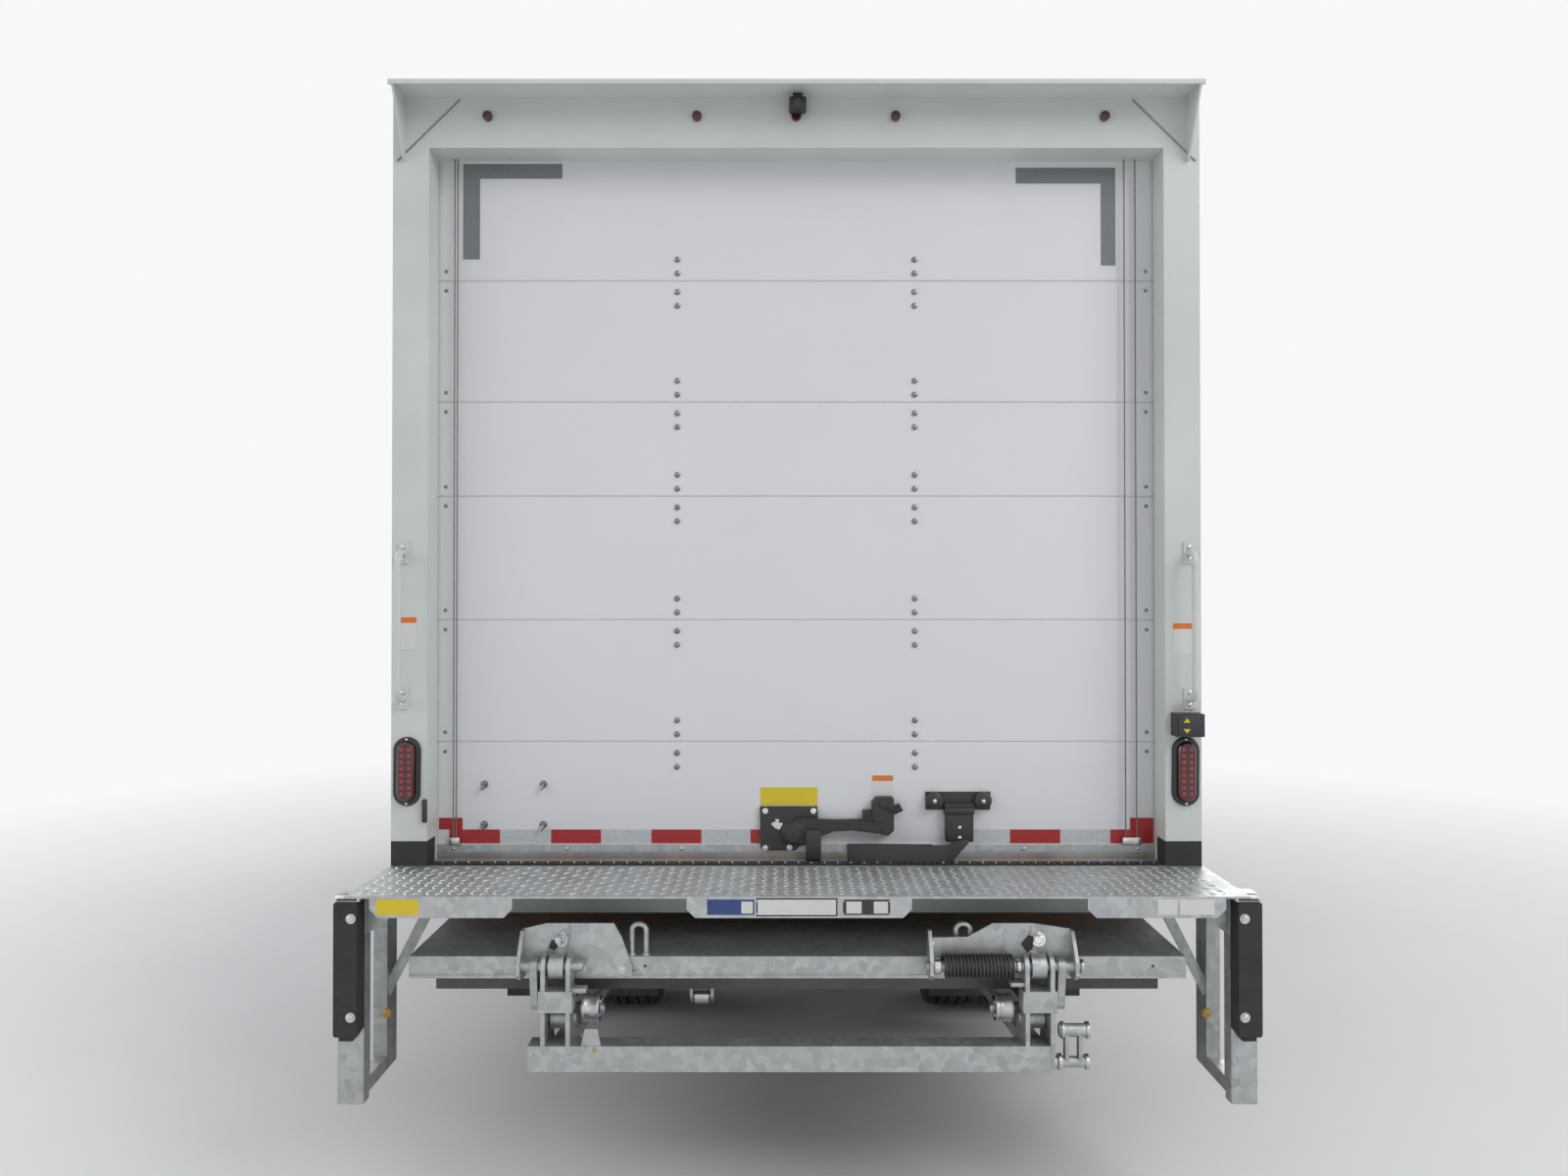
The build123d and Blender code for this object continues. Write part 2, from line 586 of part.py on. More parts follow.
def body_plan(inset, rear=WALL_REAR_Y):
    """The body's outline from above, from the rear frame forward, with round front corners."""
    half = HALF_BODY - inset
    front = BODY_FRONT_Y - inset
    radius = BODY_CORNER_R - inset
    outline = Polyline((-half, front - radius), (-half, rear), (half, rear), (half, front - radius))
    outline += RadiusArc((half, front - radius), (half - radius, front), -radius)
    outline += Line((half - radius, front), (-half + radius, front))
    outline += RadiusArc((-half + radius, front), (-half, front - radius), -radius)
    return make_face(outline)


def box_floor():
    """Plank floor on cross members and two long sills that sit on the rails."""
    half = HALF_BODY - WALL
    y0 = CROSS_FIRST_Y
    y1 = BODY_FRONT_Y - WALL
    deck = block(-half, half, y0, y1, BED_Z - FLOOR_THICK, BED_Z)
    for index in range(CROSS_COUNT):
        y = y0 + index * CROSS_PITCH
        deck += block(-half, half, y, y + CROSS_WIDTH, CROSS_LOW_Z, BED_Z - FLOOR_THICK)
    for side in (-1, 1):
        x0 = side * (RAIL_X - RAIL_FLANGE)
        deck += block(x0, side * RAIL_X, RAIL_REAR_Y, y1, RAIL_TOP, BED_Z - FLOOR_THICK)
    room = extrude(Plane.XY.offset(RAIL_TOP) * body_plan(WALL, y0), amount=BED_Z - RAIL_TOP, dir=(0, 0, 1))
    return deck & room


def side_wall():
    """The right side wall."""
    return block(HALF_BODY - WALL, HALF_BODY, WALL_REAR_Y, CORNER_START_Y, SKIRT_Z, RAIL_LOW_Z)


def front_wall():
    """The front wall with its two round corner posts."""
    ring = body_plan(0) - body_plan(WALL)
    wall = extrude(Plane.XY.offset(SKIRT_Z) * ring, amount=RAIL_LOW_Z - SKIRT_Z, dir=(0, 0, 1))
    return wall & block(-HALF_BODY, HALF_BODY, CORNER_START_Y, BODY_FRONT_Y, SKIRT_Z, RAIL_LOW_Z)


def roof():
    """The roof skin with its rails, like a lid on the walls."""
    lid = extrude(Plane.XY.offset(RAIL_LOW_Z) * body_plan(0), amount=ROOF_RAIL, dir=(0, 0, 1))
    top_edges = lid.faces().sort_by(Axis.Z)[-1].edges().filter_by(lambda e: e.center().Y > WALL_REAR_Y + 1)
    lid = fillet(top_edges, ROOF_EDGE_R)
    hollow = ROOF_RAIL - ROOF_THICK + 1
    return lid - extrude(Plane.XY.offset(RAIL_LOW_Z - 1) * body_plan(WALL), amount=hollow, dir=(0, 0, 1))


RUB_RAIL_HEIGHT = 100.0
RUB_RAIL_PROUD = 12.0
RUB_RAIL_WEB = 4.0
RUB_RIB = 38.0
RUB_RIB_EDGE = 8.0
RUB_RAIL_END = 10.0


def rub_rail():
    """The right rub rail along the foot of the wall: two half-round ribs on a strip."""
    web = HALF_BODY + RUB_RAIL_WEB
    proud = HALF_BODY + RUB_RAIL_PROUD
    outline = [(HALF_BODY, SKIRT_Z)]
    for z in (SKIRT_Z, SKIRT_Z + RUB_RAIL_HEIGHT - RUB_RIB):
        outline += [(web, z), (proud, z + RUB_RIB_EDGE), (proud, z + RUB_RIB - RUB_RIB_EDGE), (web, z + RUB_RIB)]
    outline.append((HALF_BODY, SKIRT_Z + RUB_RAIL_HEIGHT))
    return rear_prism(outline, WALL_REAR_Y + RUB_RAIL_END, CORNER_START_Y - RUB_RAIL_END)


MUDFLAP_X0 = 530.0
MUDFLAP_X1 = 1120.0
MUDFLAP_LOW_Z = 250.0
MUDFLAP_THICK = 8.0
MUDFLAP_RAIL_DEPTH = 34.0
MUDFLAP_RAIL_HEIGHT = 40.0
MUDFLAP_CROSS = 2


def mudflap():
    """The right rear mudflap with its rail, under a cross member behind the wheels."""
    y = CROSS_FIRST_Y + MUDFLAP_CROSS * CROSS_PITCH + CROSS_WIDTH / 2
    rail_y = y + MUDFLAP_THICK / 2 - MUDFLAP_RAIL_DEPTH / 2
    flap = block(MUDFLAP_X0, MUDFLAP_X1, y, y + MUDFLAP_THICK, MUDFLAP_LOW_Z, CROSS_LOW_Z - 10)
    return flap + block(
        MUDFLAP_X0, MUDFLAP_X1, rail_y, rail_y + MUDFLAP_RAIL_DEPTH, CROSS_LOW_Z - MUDFLAP_RAIL_HEIGHT, CROSS_LOW_Z,
    )


write("box_floor", box_floor())
write("box_side_walls", *both_sides(side_wall()))
write("box_front_wall", front_wall())
write("box_roof", roof())
write("rub_rails", *both_sides(rub_rail()))
write("mudflaps", *both_sides(mudflap()))

# Rear frame with its rain hood
FRAME_TOP_Z = BED_Z + FRAME_TOP
HEADER_Z = BED_Z + HEADER_BOTTOM


def rear_frame():
    """Sill, posts, header and rain hood of the rear portal."""
    frame = block(
        -HALF_BODY, HALF_BODY, REAR_Y, REAR_Y + REAR_SILL_DEPTH, BED_Z - REAR_SILL_HEIGHT, BED_Z,
    )
    frame += block(-HALF_BODY, HALF_BODY, REAR_Y, REAR_Y + FRAME_DEPTH, HEADER_Z, FRAME_TOP_Z)
    post = plan_prism(
        [
            (HALF_BODY - POST_FACE, REAR_Y), (HALF_BODY, REAR_Y), (HALF_BODY, REAR_Y + FRAME_DEPTH),
            (HALF_BODY - POST_FACE + POST_LIP, REAR_Y + FRAME_DEPTH),
            (HALF_BODY - POST_FACE + POST_LIP, REAR_Y + POST_FRONT_DEPTH),
            (HALF_BODY - POST_FACE, REAR_Y + POST_FRONT_DEPTH),
        ],
        BED_Z, FRAME_TOP_Z,
    )
    shoe_space = block(
        HALF_BODY - POST_FACE - 1, HALF_BODY + 1, REAR_Y - 1, REAR_Y + POST_FRONT_DEPTH - 20,
        BED_Z, BED_Z + SHOE_HEIGHT,
    )
    post -= shoe_space
    frame += post + mirrored(post)
    half = HOOD_WIDTH / 2
    frame += block(-half, half, REAR_Y - HOOD_REACH, REAR_Y + 1, FRAME_TOP_Z - HOOD_THICK, FRAME_TOP_Z)
    rear = REAR_Y - HOOD_REACH
    frame += block(-half, half, rear, rear + HOOD_THICK, FRAME_TOP_Z - HOOD_LIP, FRAME_TOP_Z)
    cheek = side_prism(
        [(rear + 2, FRAME_TOP_Z - HOOD_LIP), (rear + 2, FRAME_TOP_Z - 2), (REAR_Y + 1, FRAME_TOP_Z - 2),
         (REAR_Y + 1, FRAME_TOP_Z - CHEEK_DROP), (REAR_Y - 12, FRAME_TOP_Z - CHEEK_DROP)],
        half - CHEEK_INSET - HOOD_THICK, half - CHEEK_INSET,
    )
    return frame + cheek + mirrored(cheek)


write("rear_frame", rear_frame())

# Roll-up door and its hardware
DOOR_HALF = HALF_BODY - POST_FACE + POST_LIP - 5.0
BOTTOM_RAIL_HEIGHT = 44.0
BOTTOM_RAIL_PROUD = 6.0


def rollup_door():
    """Six panels, hinged at their seams: each seam is a groove in the outer face."""
    back = DOOR_Y + DOOR_THICK
    outline = [
        (back, BED_Z), (back, HEADER_Z), (DOOR_Y, HEADER_Z),
    ]
    for seam in reversed(DOOR_SEAMS):
        z = BED_Z + seam
        outline += [(DOOR_Y, z + SEAM_WIDTH / 2), (DOOR_Y + SEAM_DEPTH, z), (DOOR_Y, z - SEAM_WIDTH / 2)]
    outline += [
        (DOOR_Y, BED_Z + BOTTOM_RAIL_HEIGHT), (DOOR_Y - BOTTOM_RAIL_PROUD, BED_Z + BOTTOM_RAIL_HEIGHT),
        (DOOR_Y - BOTTOM_RAIL_PROUD, BED_Z),
    ]
    return side_prism(outline, -DOOR_HALF, DOOR_HALF)


def door_hardware():
    """Lock plate with its lever and catch, and the bracket of the pull strap."""
    face = DOOR_Y
    plate = block(-111, 66, face - 8, face, BED_Z + 62, BED_Z + 160)
    lever = rear_prism(
        [(20, BED_Z + 92), (215, BED_Z + 100), (330, BED_Z + 150), (318, BED_Z + 172), (205, BED_Z + 124),
         (20, BED_Z + 122)],
        face - 26, face - 14,
    )
    boss = bar_y(20, face - 26, face - 4, BED_Z + 107, 24)
    catch = block(206, 250, face - 20, face, BED_Z + 104, BED_Z + 150)
    bracket = block(401, 602, face - 5, face, BED_Z + 150, BED_Z + 205)
    holder = block(459, 547, face - 22, face - 3, BED_Z + 150, BED_Z + 172)
    return [plate + boss + lever + catch, bracket + holder]


def pull_strap():
    """The webbing strap: it hangs from its bracket and lies folded on the sill."""
    y0 = REAR_Y + 40
    hang = block(479, 527, DOOR_Y - 22, DOOR_Y - 18, BED_Z + 20, BED_Z + 149.7)
    pile = block(160, 527, y0, DOOR_Y - 12, BED_Z + SEAT_GAP, BED_Z + 26)
    return hang + pile


write("rollup_door", rollup_door())
write("door_hardware", *door_hardware())
write("pull_strap", pull_strap())

# Lamps, handles and the switch box on the rear frame
LAMP_X = 1170.0
LAMP_Z = BED_Z + 284.0
LAMP_HEIGHT = 207.0
LAMP_WIDTH = 83.0
LAMP_DEPTH = 24.0
MARKER_X = (-932.0, -300.0, 0.0, 300.0, 932.0)
MARKER_Z = BED_Z + 2260.0
MARKER_R = 14.5
MARKER_DEPTH = 12.0
HANDLE_X = 1182.0
HANDLE_LOW = BED_Z + 493.0
HANDLE_HIGH = BED_Z + 951.0
HANDLE_OFF = 60.0
HANDLE_R = 10.0


def tail_lamp():
    """An oval lamp on the right post."""
    plane = Plane(origin=(LAMP_X, REAR_Y, LAMP_Z), x_dir=(0, 0, 1), z_dir=(0, -1, 0))
    lens = extrude(plane * SlotOverall(LAMP_HEIGHT, LAMP_WIDTH), amount=LAMP_DEPTH * 0.4)
    return lens + extrude(plane * SlotOverall(LAMP_HEIGHT - 26, LAMP_WIDTH - 26), amount=LAMP_DEPTH)


def grab_handle():
    """A bent tube on the right post with a flange at each end."""
    low = HANDLE_LOW + HANDLE_R
    high = HANDLE_HIGH - HANDLE_R
    path = FilletPolyline(
        (HANDLE_X, REAR_Y, low), (HANDLE_X, REAR_Y - HANDLE_OFF, low),
        (HANDLE_X, REAR_Y - HANDLE_OFF, high), (HANDLE_X, REAR_Y, high), radius=35,
    )
    section = Plane(origin=path @ 0, z_dir=path % 0) * Circle(HANDLE_R)
    handle = sweep(section, path=path)
    for z in (low, high):
        handle += block(HANDLE_X - 16, HANDLE_X + 16, REAR_Y - 5, REAR_Y, z - 32, z + 32)
    return handle


write("tail_lamps", *both_sides(tail_lamp()))
write("marker_lamps", *[bar_y(x, REAR_Y - MARKER_DEPTH, REAR_Y, MARKER_Z, MARKER_R) for x in MARKER_X])
write("grab_handles", *both_sides(grab_handle()))
write("lift_switch", block(1127, 1210, REAR_Y - 55, REAR_Y, BED_Z + 393, BED_Z + 461))

# Extension plate, step frames and dock bumpers
PLATE_THICK = 6.0
PLATE_FLANGE = 58.0
FLANGE_SECTIONS = ((-1155.0, -770.0), (-300.0, 308.0), (782.0, 1155.0))
PLATE_HALF = 1222.0
RIB_X = (-1090.0, -860.0, -250.0, 250.0, 860.0, 1090.0)
PLATE_REAR_Y = REAR_Y - EXTENSION_DEPTH
BUMPER_X0 = 1188.0
BUMPER_X1 = 1252.0
BUMPER_THICK = 60.0
BUMPER_BASE = 32.0
BUMPER_BASE_DROP = 22.0
BUMPER_TOP = BED_Z - 13.0
BUMPER_BOTTOM = BED_Z - 379.0
STEP_X0 = 1190.0
STEP_X1 = 1264.0
STEP_MEMBER_X1 = 1230.0
STEP_FRONT_Y = REAR_Y - 30.0
STEP_BOTTOM = BED_Z - 565.0
STEP_POST_BOTTOM = BED_Z - 583.0
STEP_POST = 52.0
STEP_MEMBER = 85.0
STEP_TUBE = 40.0
STEP_TOP_TUBE = 64.0
BRACE_TOP_X = (1008.0, 1043.0)
BRACE_LOW_Z = (640.0, 700.0)
BRACE_THICK = 10.0
BRACE_BACK = 64.0
GUSSET_BACK = 10.0
GUSSET = ((1126.0, 920.0), (1166.0, 990.0), (1191.0, 990.0), (1191.0, 875.0), (1180.0, 883.0))


def extension_plate():
    """The tread plate behind the door, its rear flange in three sections, and its ribs."""
    plate = block(-PLATE_HALF, PLATE_HALF, PLATE_REAR_Y, REAR_Y, BED_Z - PLATE_THICK, BED_Z)
    for x0, x1 in FLANGE_SECTIONS:
        cut = PLATE_FLANGE * 0.4
        plate += rear_prism(
            [(x0, BED_Z - 1), (x1, BED_Z - 1), (x1, BED_Z - PLATE_FLANGE + cut), (x1 - cut, BED_Z - PLATE_FLANGE),
             (x0 + cut, BED_Z - PLATE_FLANGE), (x0, BED_Z - PLATE_FLANGE + cut)],
            PLATE_REAR_Y, PLATE_REAR_Y + PLATE_THICK,
        )
    for x in RIB_X:
        plate += block(
            x - PLATE_THICK / 2, x + PLATE_THICK / 2, PLATE_REAR_Y, REAR_Y, BED_Z - PLATE_FLANGE * 0.85, BED_Z - 1,
        )
    return plate


def step_frame():
    """The right step frame: a deep rear post, a closed frame ahead of it, a brace and a gusset."""
    top = BED_Z - PLATE_THICK
    rear = PLATE_REAR_Y + BUMPER_THICK
    front = STEP_FRONT_Y
    post = block(STEP_X0, STEP_X1, rear, rear + STEP_POST, STEP_POST_BOTTOM, top)
    frame = fillet(post.edges().filter_by(Axis.Z), 9)
    ring = block(STEP_X0, STEP_MEMBER_X1, rear + STEP_POST - 10, front, STEP_BOTTOM, top)
    frame += ring - block(
        STEP_X0 - 1, STEP_MEMBER_X1 + 1, rear + STEP_POST, front - STEP_MEMBER,
        STEP_BOTTOM + STEP_TUBE, top - STEP_TOP_TUBE,
    )
    low0, low1 = BRACE_LOW_Z
    brace_y = front - BRACE_BACK
    frame += rear_prism(
        [(BRACE_TOP_X[0], top), (BRACE_TOP_X[1], top), (STEP_X0 + 1, low1), (STEP_X0 + 1, low0)],
        brace_y, brace_y + BRACE_THICK,
    )
    return frame + rear_prism(list(GUSSET), rear + GUSSET_BACK, rear + GUSSET_BACK + PLATE_THICK)


def dock_bumpers():
    """The rubber block on each step frame and the block under each post."""
    rear = PLATE_REAR_Y
    base = rear + BUMPER_BASE
    low = rear_prism(
        [(BUMPER_X0, BUMPER_TOP), (BUMPER_X1 - 4, BUMPER_TOP), (BUMPER_X1 - 4, BUMPER_BOTTOM - BUMPER_BASE_DROP),
         (BUMPER_X0 + 22, BUMPER_BOTTOM - BUMPER_BASE_DROP), (BUMPER_X0, BUMPER_BOTTOM + 8)],
        base, rear + BUMPER_THICK,
    )
    pad = block(BUMPER_X0, BUMPER_X1, rear, base + 1, BUMPER_BOTTOM, BUMPER_TOP - 3)
    low += fillet(pad.edges().filter_by(Axis.Y), 8)
    shoe = block(
        HALF_BODY - POST_FACE, HALF_BODY, REAR_Y, REAR_Y + POST_FRONT_DEPTH - 20, BED_Z, BED_Z + SHOE_HEIGHT,
    )
    return both_sides(low) + both_sides(shoe)


write("extension_plate", extension_plate())
write("step_frames", *both_sides(step_frame()))
write("dock_bumpers", *dock_bumpers())

# Tuck-under lift gate, stowed. Pivots are (distance ahead of the rear frame, height).
PIVOT_ARM_FRAME = (620.0, 560.0)
PIVOT_ARM_SHACKLE = (-275.0, 645.0)
LINK_OFFSET = (30.0, -85.0)
PIVOT_PLATFORM = (-325.0, 800.0)
PIVOT_ROD = (250.0, 530.0)
PIVOT_BARREL = (745.0, 455.0)
GATE_ARM_X = 655.0
GATE_ARM_WIDTH = 50.0
GATE_ARM_HEIGHT = 60.0
LINK_HEIGHT = 36.0
EAR_THICK = 12.0
GATE_PIN_R = 14.0
PIN_HEAD_R = 20.0
PIN_HEAD_THICK = 6.0
GATE_TUBE = 69.0
GATE_TUBE_HALF = 760.0
GATE_TUBE_Y = 735.0
LOWER_BAR_X0 = -730.0
LOWER_BAR_X1 = 682.0
LOWER_BAR_REAR = -360.0
LOWER_BAR_Z = 526.0
END_BRACKET_X1 = 794.0
HINGE_DISC_R = 33.0
EAR_ROUND_R = 34.0
ROLLER_R = 36.0
ROLLER_WIDTH = 48.0
ROLLER_OFF_ARM = 62.0
ROLLER_RISE = 26.0
PLATFORM_HALF = 1076.0
PLATFORM_REAR = -275.0
PLATFORM_FRONT = 320.0
PLATFORM_TOP = 812.0
PLATFORM_THICK = 61.0
PLATFORM_SKIN = 14.0
PLATFORM_EDGE = 40.0
PLATFORM_RIB = 14.0
PLATFORM_BAYS = 8
FLIPOVER_HALF = 1030.0
FLIPOVER_REAR = -175.0
FLIPOVER_FRONT = 300.0
HINGE_PLATE_THICK = 10.0
FLANGE_X0 = 752.0
SPRING_X0 = 394.0
SPRING_X1 = 594.0
SPRING_COIL_R = 34.5
SPRING_COILS = 13
LOOP_BAR_R = 8.0
LOOP_HEIGHT = 92.0
LOOP_X = (-441.0, 462.0)
CYLINDER_X = -300.0
BARREL_R = 32.0
ROD_R = 17.0
BARREL_LENGTH = 300.0
ROD_PIN_R = 10.0
ROD_EYE_PLAY = 5.0


def gate_point(pivot):
    """A pivot's place as (y, z)."""
    return REAR_Y + pivot[0], pivot[1]


def link_bar(start, end, x0, x1, height, pin_r):
    """A bar between two pivots, round at its ends, with a bore at each."""
    y0, z0 = start
    y1, z1 = end
    length = math.hypot(y1 - y0, z1 - z0)
    plane = Plane(origin=(x0, y0, z0), x_dir=(0, y1 - y0, z1 - z0), z_dir=(1, 0, 0))
    shape = plane * Pos(length / 2, 0) * SlotCenterToCenter(length, height)
    bar = extrude(shape, amount=x1 - x0)
    for y, z in (start, end):
        bar -= bar_x(x0 - 1, x1 + 1, y, z, pin_r + PIN_GAP)
    return bar


def lower_link_points():
    """The two pivots of the parallel links."""
    frame = (PIVOT_ARM_FRAME[0] + LINK_OFFSET[0], PIVOT_ARM_FRAME[1] + LINK_OFFSET[1])
    shackle = (PIVOT_ARM_SHACKLE[0] + LINK_OFFSET[0], PIVOT_ARM_SHACKLE[1] + LINK_OFFSET[1])
    return gate_point(frame), gate_point(shackle)


def ear_pair(outline):
    """Two plates on either side of an arm on the right side."""
    inner = GATE_ARM_X - GATE_ARM_WIDTH / 2 - SIDE_PLAY
    outer = GATE_ARM_X + GATE_ARM_WIDTH / 2 + SIDE_PLAY
    return side_prism(outline, inner - EAR_THICK, inner) + side_prism(outline, outer, outer + EAR_THICK)


def ear_rounds(point, radius):
    """A round on each ear of the right side, about a pivot."""
    inner = GATE_ARM_X - GATE_ARM_WIDTH / 2 - SIDE_PLAY
    outer = GATE_ARM_X + GATE_ARM_WIDTH / 2 + SIDE_PLAY
    rounds = bar_x(inner - EAR_THICK, inner, point[0], point[1], radius)
    return rounds + bar_x(outer, outer + EAR_THICK, point[0], point[1], radius)


def arm_pin(point):
    """A pin with a head at each end, through a pair of ears on the right side."""
    reach = GATE_ARM_WIDTH / 2 + SIDE_PLAY + EAR_THICK
    y, z = point
    pin = bar_x(GATE_ARM_X - reach, GATE_ARM_X + reach, y, z, GATE_PIN_R)
    pin += bar_x(GATE_ARM_X - reach - PIN_HEAD_THICK, GATE_ARM_X - reach, y, z, PIN_HEAD_R)
    return pin + bar_x(GATE_ARM_X + reach, GATE_ARM_X + reach + PIN_HEAD_THICK, y, z, PIN_HEAD_R)


def lift_frame():
    """The fixed cross tube, its hangers on the rails, and the arms' lugs."""
    tube_y = REAR_Y + GATE_TUBE_Y
    tube_z = PIVOT_ARM_FRAME[1]
    half = GATE_TUBE / 2
    frame = block(-GATE_TUBE_HALF, GATE_TUBE_HALF, tube_y - half, tube_y + half, tube_z - half, tube_z + half)
    arm_y, arm_z = gate_point(PIVOT_ARM_FRAME)
    (link_y, link_z), _ = lower_link_points()
    lugs = ear_pair([
        (tube_y, arm_z + 32), (arm_y - 10, arm_z + 32), (arm_y - 32, arm_z + 10), (arm_y - 32, arm_z - 15),
        (link_y - 30, link_z - 10), (link_y - 10, link_z - 30), (link_y + 30, link_z - 30),
        (tube_y, tube_z - half + 2),
    ])
    lugs += arm_pin((arm_y, arm_z)) + arm_pin((link_y, link_z))
    hanger = side_prism(
        [(tube_y - 290, RAIL_TOP - 20), (tube_y + 90, RAIL_TOP - 20), (tube_y + 60, tube_z - half),
         (tube_y - 60, tube_z - half), (tube_y - 290, RAIL_BOTTOM + 20)],
        RAIL_X, RAIL_X + EAR_THICK,
    )
    side = lugs + hanger
    frame += side + mirrored(side)
    barrel_y, barrel_z = gate_point(PIVOT_BARREL)
    for x0 in (CYLINDER_X - 42, CYLINDER_X + 30):
        frame += side_prism(
            [(tube_y - 30, tube_z - half + 5), (tube_y + 30, tube_z - half + 5), (barrel_y + 24, barrel_z),
             (barrel_y, barrel_z - 24), (barrel_y - 24, barrel_z)],
            x0, x0 + EAR_THICK,
        )
    return frame + bar_x(CYLINDER_X - 42, CYLINDER_X + 42, barrel_y, barrel_z, ROD_PIN_R)


def lift_arms():
    """Two arms, the tube that ties them and the lug that the cylinder pushes."""
    x0 = GATE_ARM_X - GATE_ARM_WIDTH / 2
    arm = link_bar(
        gate_point(PIVOT_ARM_FRAME), gate_point(PIVOT_ARM_SHACKLE), x0, x0 + GATE_ARM_WIDTH,
        GATE_ARM_HEIGHT, GATE_PIN_R,
    )
    part = (PIVOT_ARM_FRAME[0] - PIVOT_ROD[0]) / (PIVOT_ARM_FRAME[0] - PIVOT_ARM_SHACKLE[0])
    tie_z = PIVOT_ARM_FRAME[1] + part * (PIVOT_ARM_SHACKLE[1] - PIVOT_ARM_FRAME[1])
    tie_y = REAR_Y + PIVOT_ROD[0]
    arms = arm + mirrored(arm) + bar_x(-x0 - 5, x0 + 5, tie_y, tie_z, 25)
    rod_y, rod_z = gate_point(PIVOT_ROD)
    for x in (CYLINDER_X - 38, CYLINDER_X + 28):
        arms += side_prism(
            [(tie_y - 22, tie_z), (tie_y + 22, tie_z), (rod_y + 20, rod_z), (rod_y, rod_z - 20), (rod_y - 20, rod_z)],
            x, x + 10,
        )
    return arms + bar_x(CYLINDER_X - 38, CYLINDER_X + 38, rod_y, rod_z, ROD_PIN_R)


def parallel_link():
    """The right lower link, parallel to its arm."""
    start, end = lower_link_points()
    x0 = GATE_ARM_X - GATE_ARM_WIDTH / 2
    return link_bar(start, end, x0, x0 + GATE_ARM_WIDTH, LINK_HEIGHT, GATE_PIN_R)


def shackle_side():
    """The right shackle: two ears, the box that ties them, pins, and the roller on its stub."""
    py, pz = gate_point(PIVOT_PLATFORM)
    ay, az = gate_point(PIVOT_ARM_SHACKLE)
    _, (ly, lz) = lower_link_points()
    bar_rear = REAR_Y + LOWER_BAR_REAR
    ears = ear_pair([
        (py - EAR_ROUND_R, pz), (py + EAR_ROUND_R, pz), (py + EAR_ROUND_R, az + 46), (ay + 34, az + 14),
        (ly + 30, lz), (ly, lz - 30), (bar_rear + GATE_TUBE - 5, LOWER_BAR_Z + 5), (bar_rear + 5, LOWER_BAR_Z + 5),
        (bar_rear, LOWER_BAR_Z + GATE_TUBE + 40), (py - EAR_ROUND_R, az + 40),
    ])
    ears += ear_rounds((py, pz), EAR_ROUND_R) + ear_rounds((ly, lz), 30)
    tie = block(GATE_ARM_X - 46, GATE_ARM_X + 46, py - 37, py + 28, az + 40, pz - 58)
    roller_y = ay
    roller_z = az + ROLLER_RISE
    roller_x = GATE_ARM_X - ROLLER_OFF_ARM
    roller = bar_x(roller_x - ROLLER_WIDTH, roller_x, roller_y, roller_z, ROLLER_R)
    roller += bar_x(roller_x - ROLLER_WIDTH - 8, GATE_ARM_X - 30, roller_y, roller_z, 15)
    side = ears + tie + roller + arm_pin((ay, az)) + arm_pin((ly, lz))
    return side - bar_x(0, FLANGE_X0, py, pz, GATE_PIN_R + PIN_GAP)


def shackles():
    """Both shackles, the square bar that ties them and the bracket at its right end."""
    rear = REAR_Y + LOWER_BAR_REAR
    bar = block(LOWER_BAR_X0, LOWER_BAR_X1, rear, rear + GATE_TUBE, LOWER_BAR_Z, LOWER_BAR_Z + GATE_TUBE)
    side = shackle_side()
    middle_y = rear + GATE_TUBE / 2
    bracket = bar_x(LOWER_BAR_X1 - 1, END_BRACKET_X1, middle_y, LOWER_BAR_Z + 15, 15)
    bracket += bar_x(LOWER_BAR_X1 + 30, END_BRACKET_X1, middle_y, LOWER_BAR_Z + 101, 18)
    for x in (LOWER_BAR_X1 + 45, END_BRACKET_X1 - 30):
        bracket += block(x, x + 10, middle_y - 14, middle_y + 14, LOWER_BAR_Z + 12, LOWER_BAR_Z + 100)
    return bar + side + mirrored(side) + bracket


def platform_section(half, y0, y1, top):
    """One section of the folded platform: a skin on edge channels and ribs, open below."""
    low = top - PLATFORM_THICK
    slab = block(-half, half, y0, y1, low, top)
    pitch = (2 * half - PLATFORM_RIB) / PLATFORM_BAYS
    for bay in range(PLATFORM_BAYS):
        x0 = -half + PLATFORM_RIB + bay * pitch
        slab -= block(
            x0, x0 + pitch - PLATFORM_RIB, y0 + PLATFORM_EDGE, y1 - PLATFORM_EDGE, low - 1, top - PLATFORM_SKIN,
        )
    return slab


def hinge_bracket(points, flange_x):
    """A plate on the platform's rear edge, with flanges that hold the hinge pin."""
    py, pz = gate_point(PIVOT_PLATFORM)
    plate_y = REAR_Y + PLATFORM_REAR - HINGE_PLATE_THICK
    bracket = rear_prism(points, plate_y, plate_y + HINGE_PLATE_THICK)
    for x in flange_x:
        bracket += side_prism(
            [(plate_y + 1, pz - 40), (plate_y + 1, pz + 90), (plate_y - 16, pz + 90), (py - 30, pz + 18),
             (py - 30, pz - 18), (py - 10, pz - 34)],
            x, x + HINGE_PLATE_THICK,
        )
    return bracket


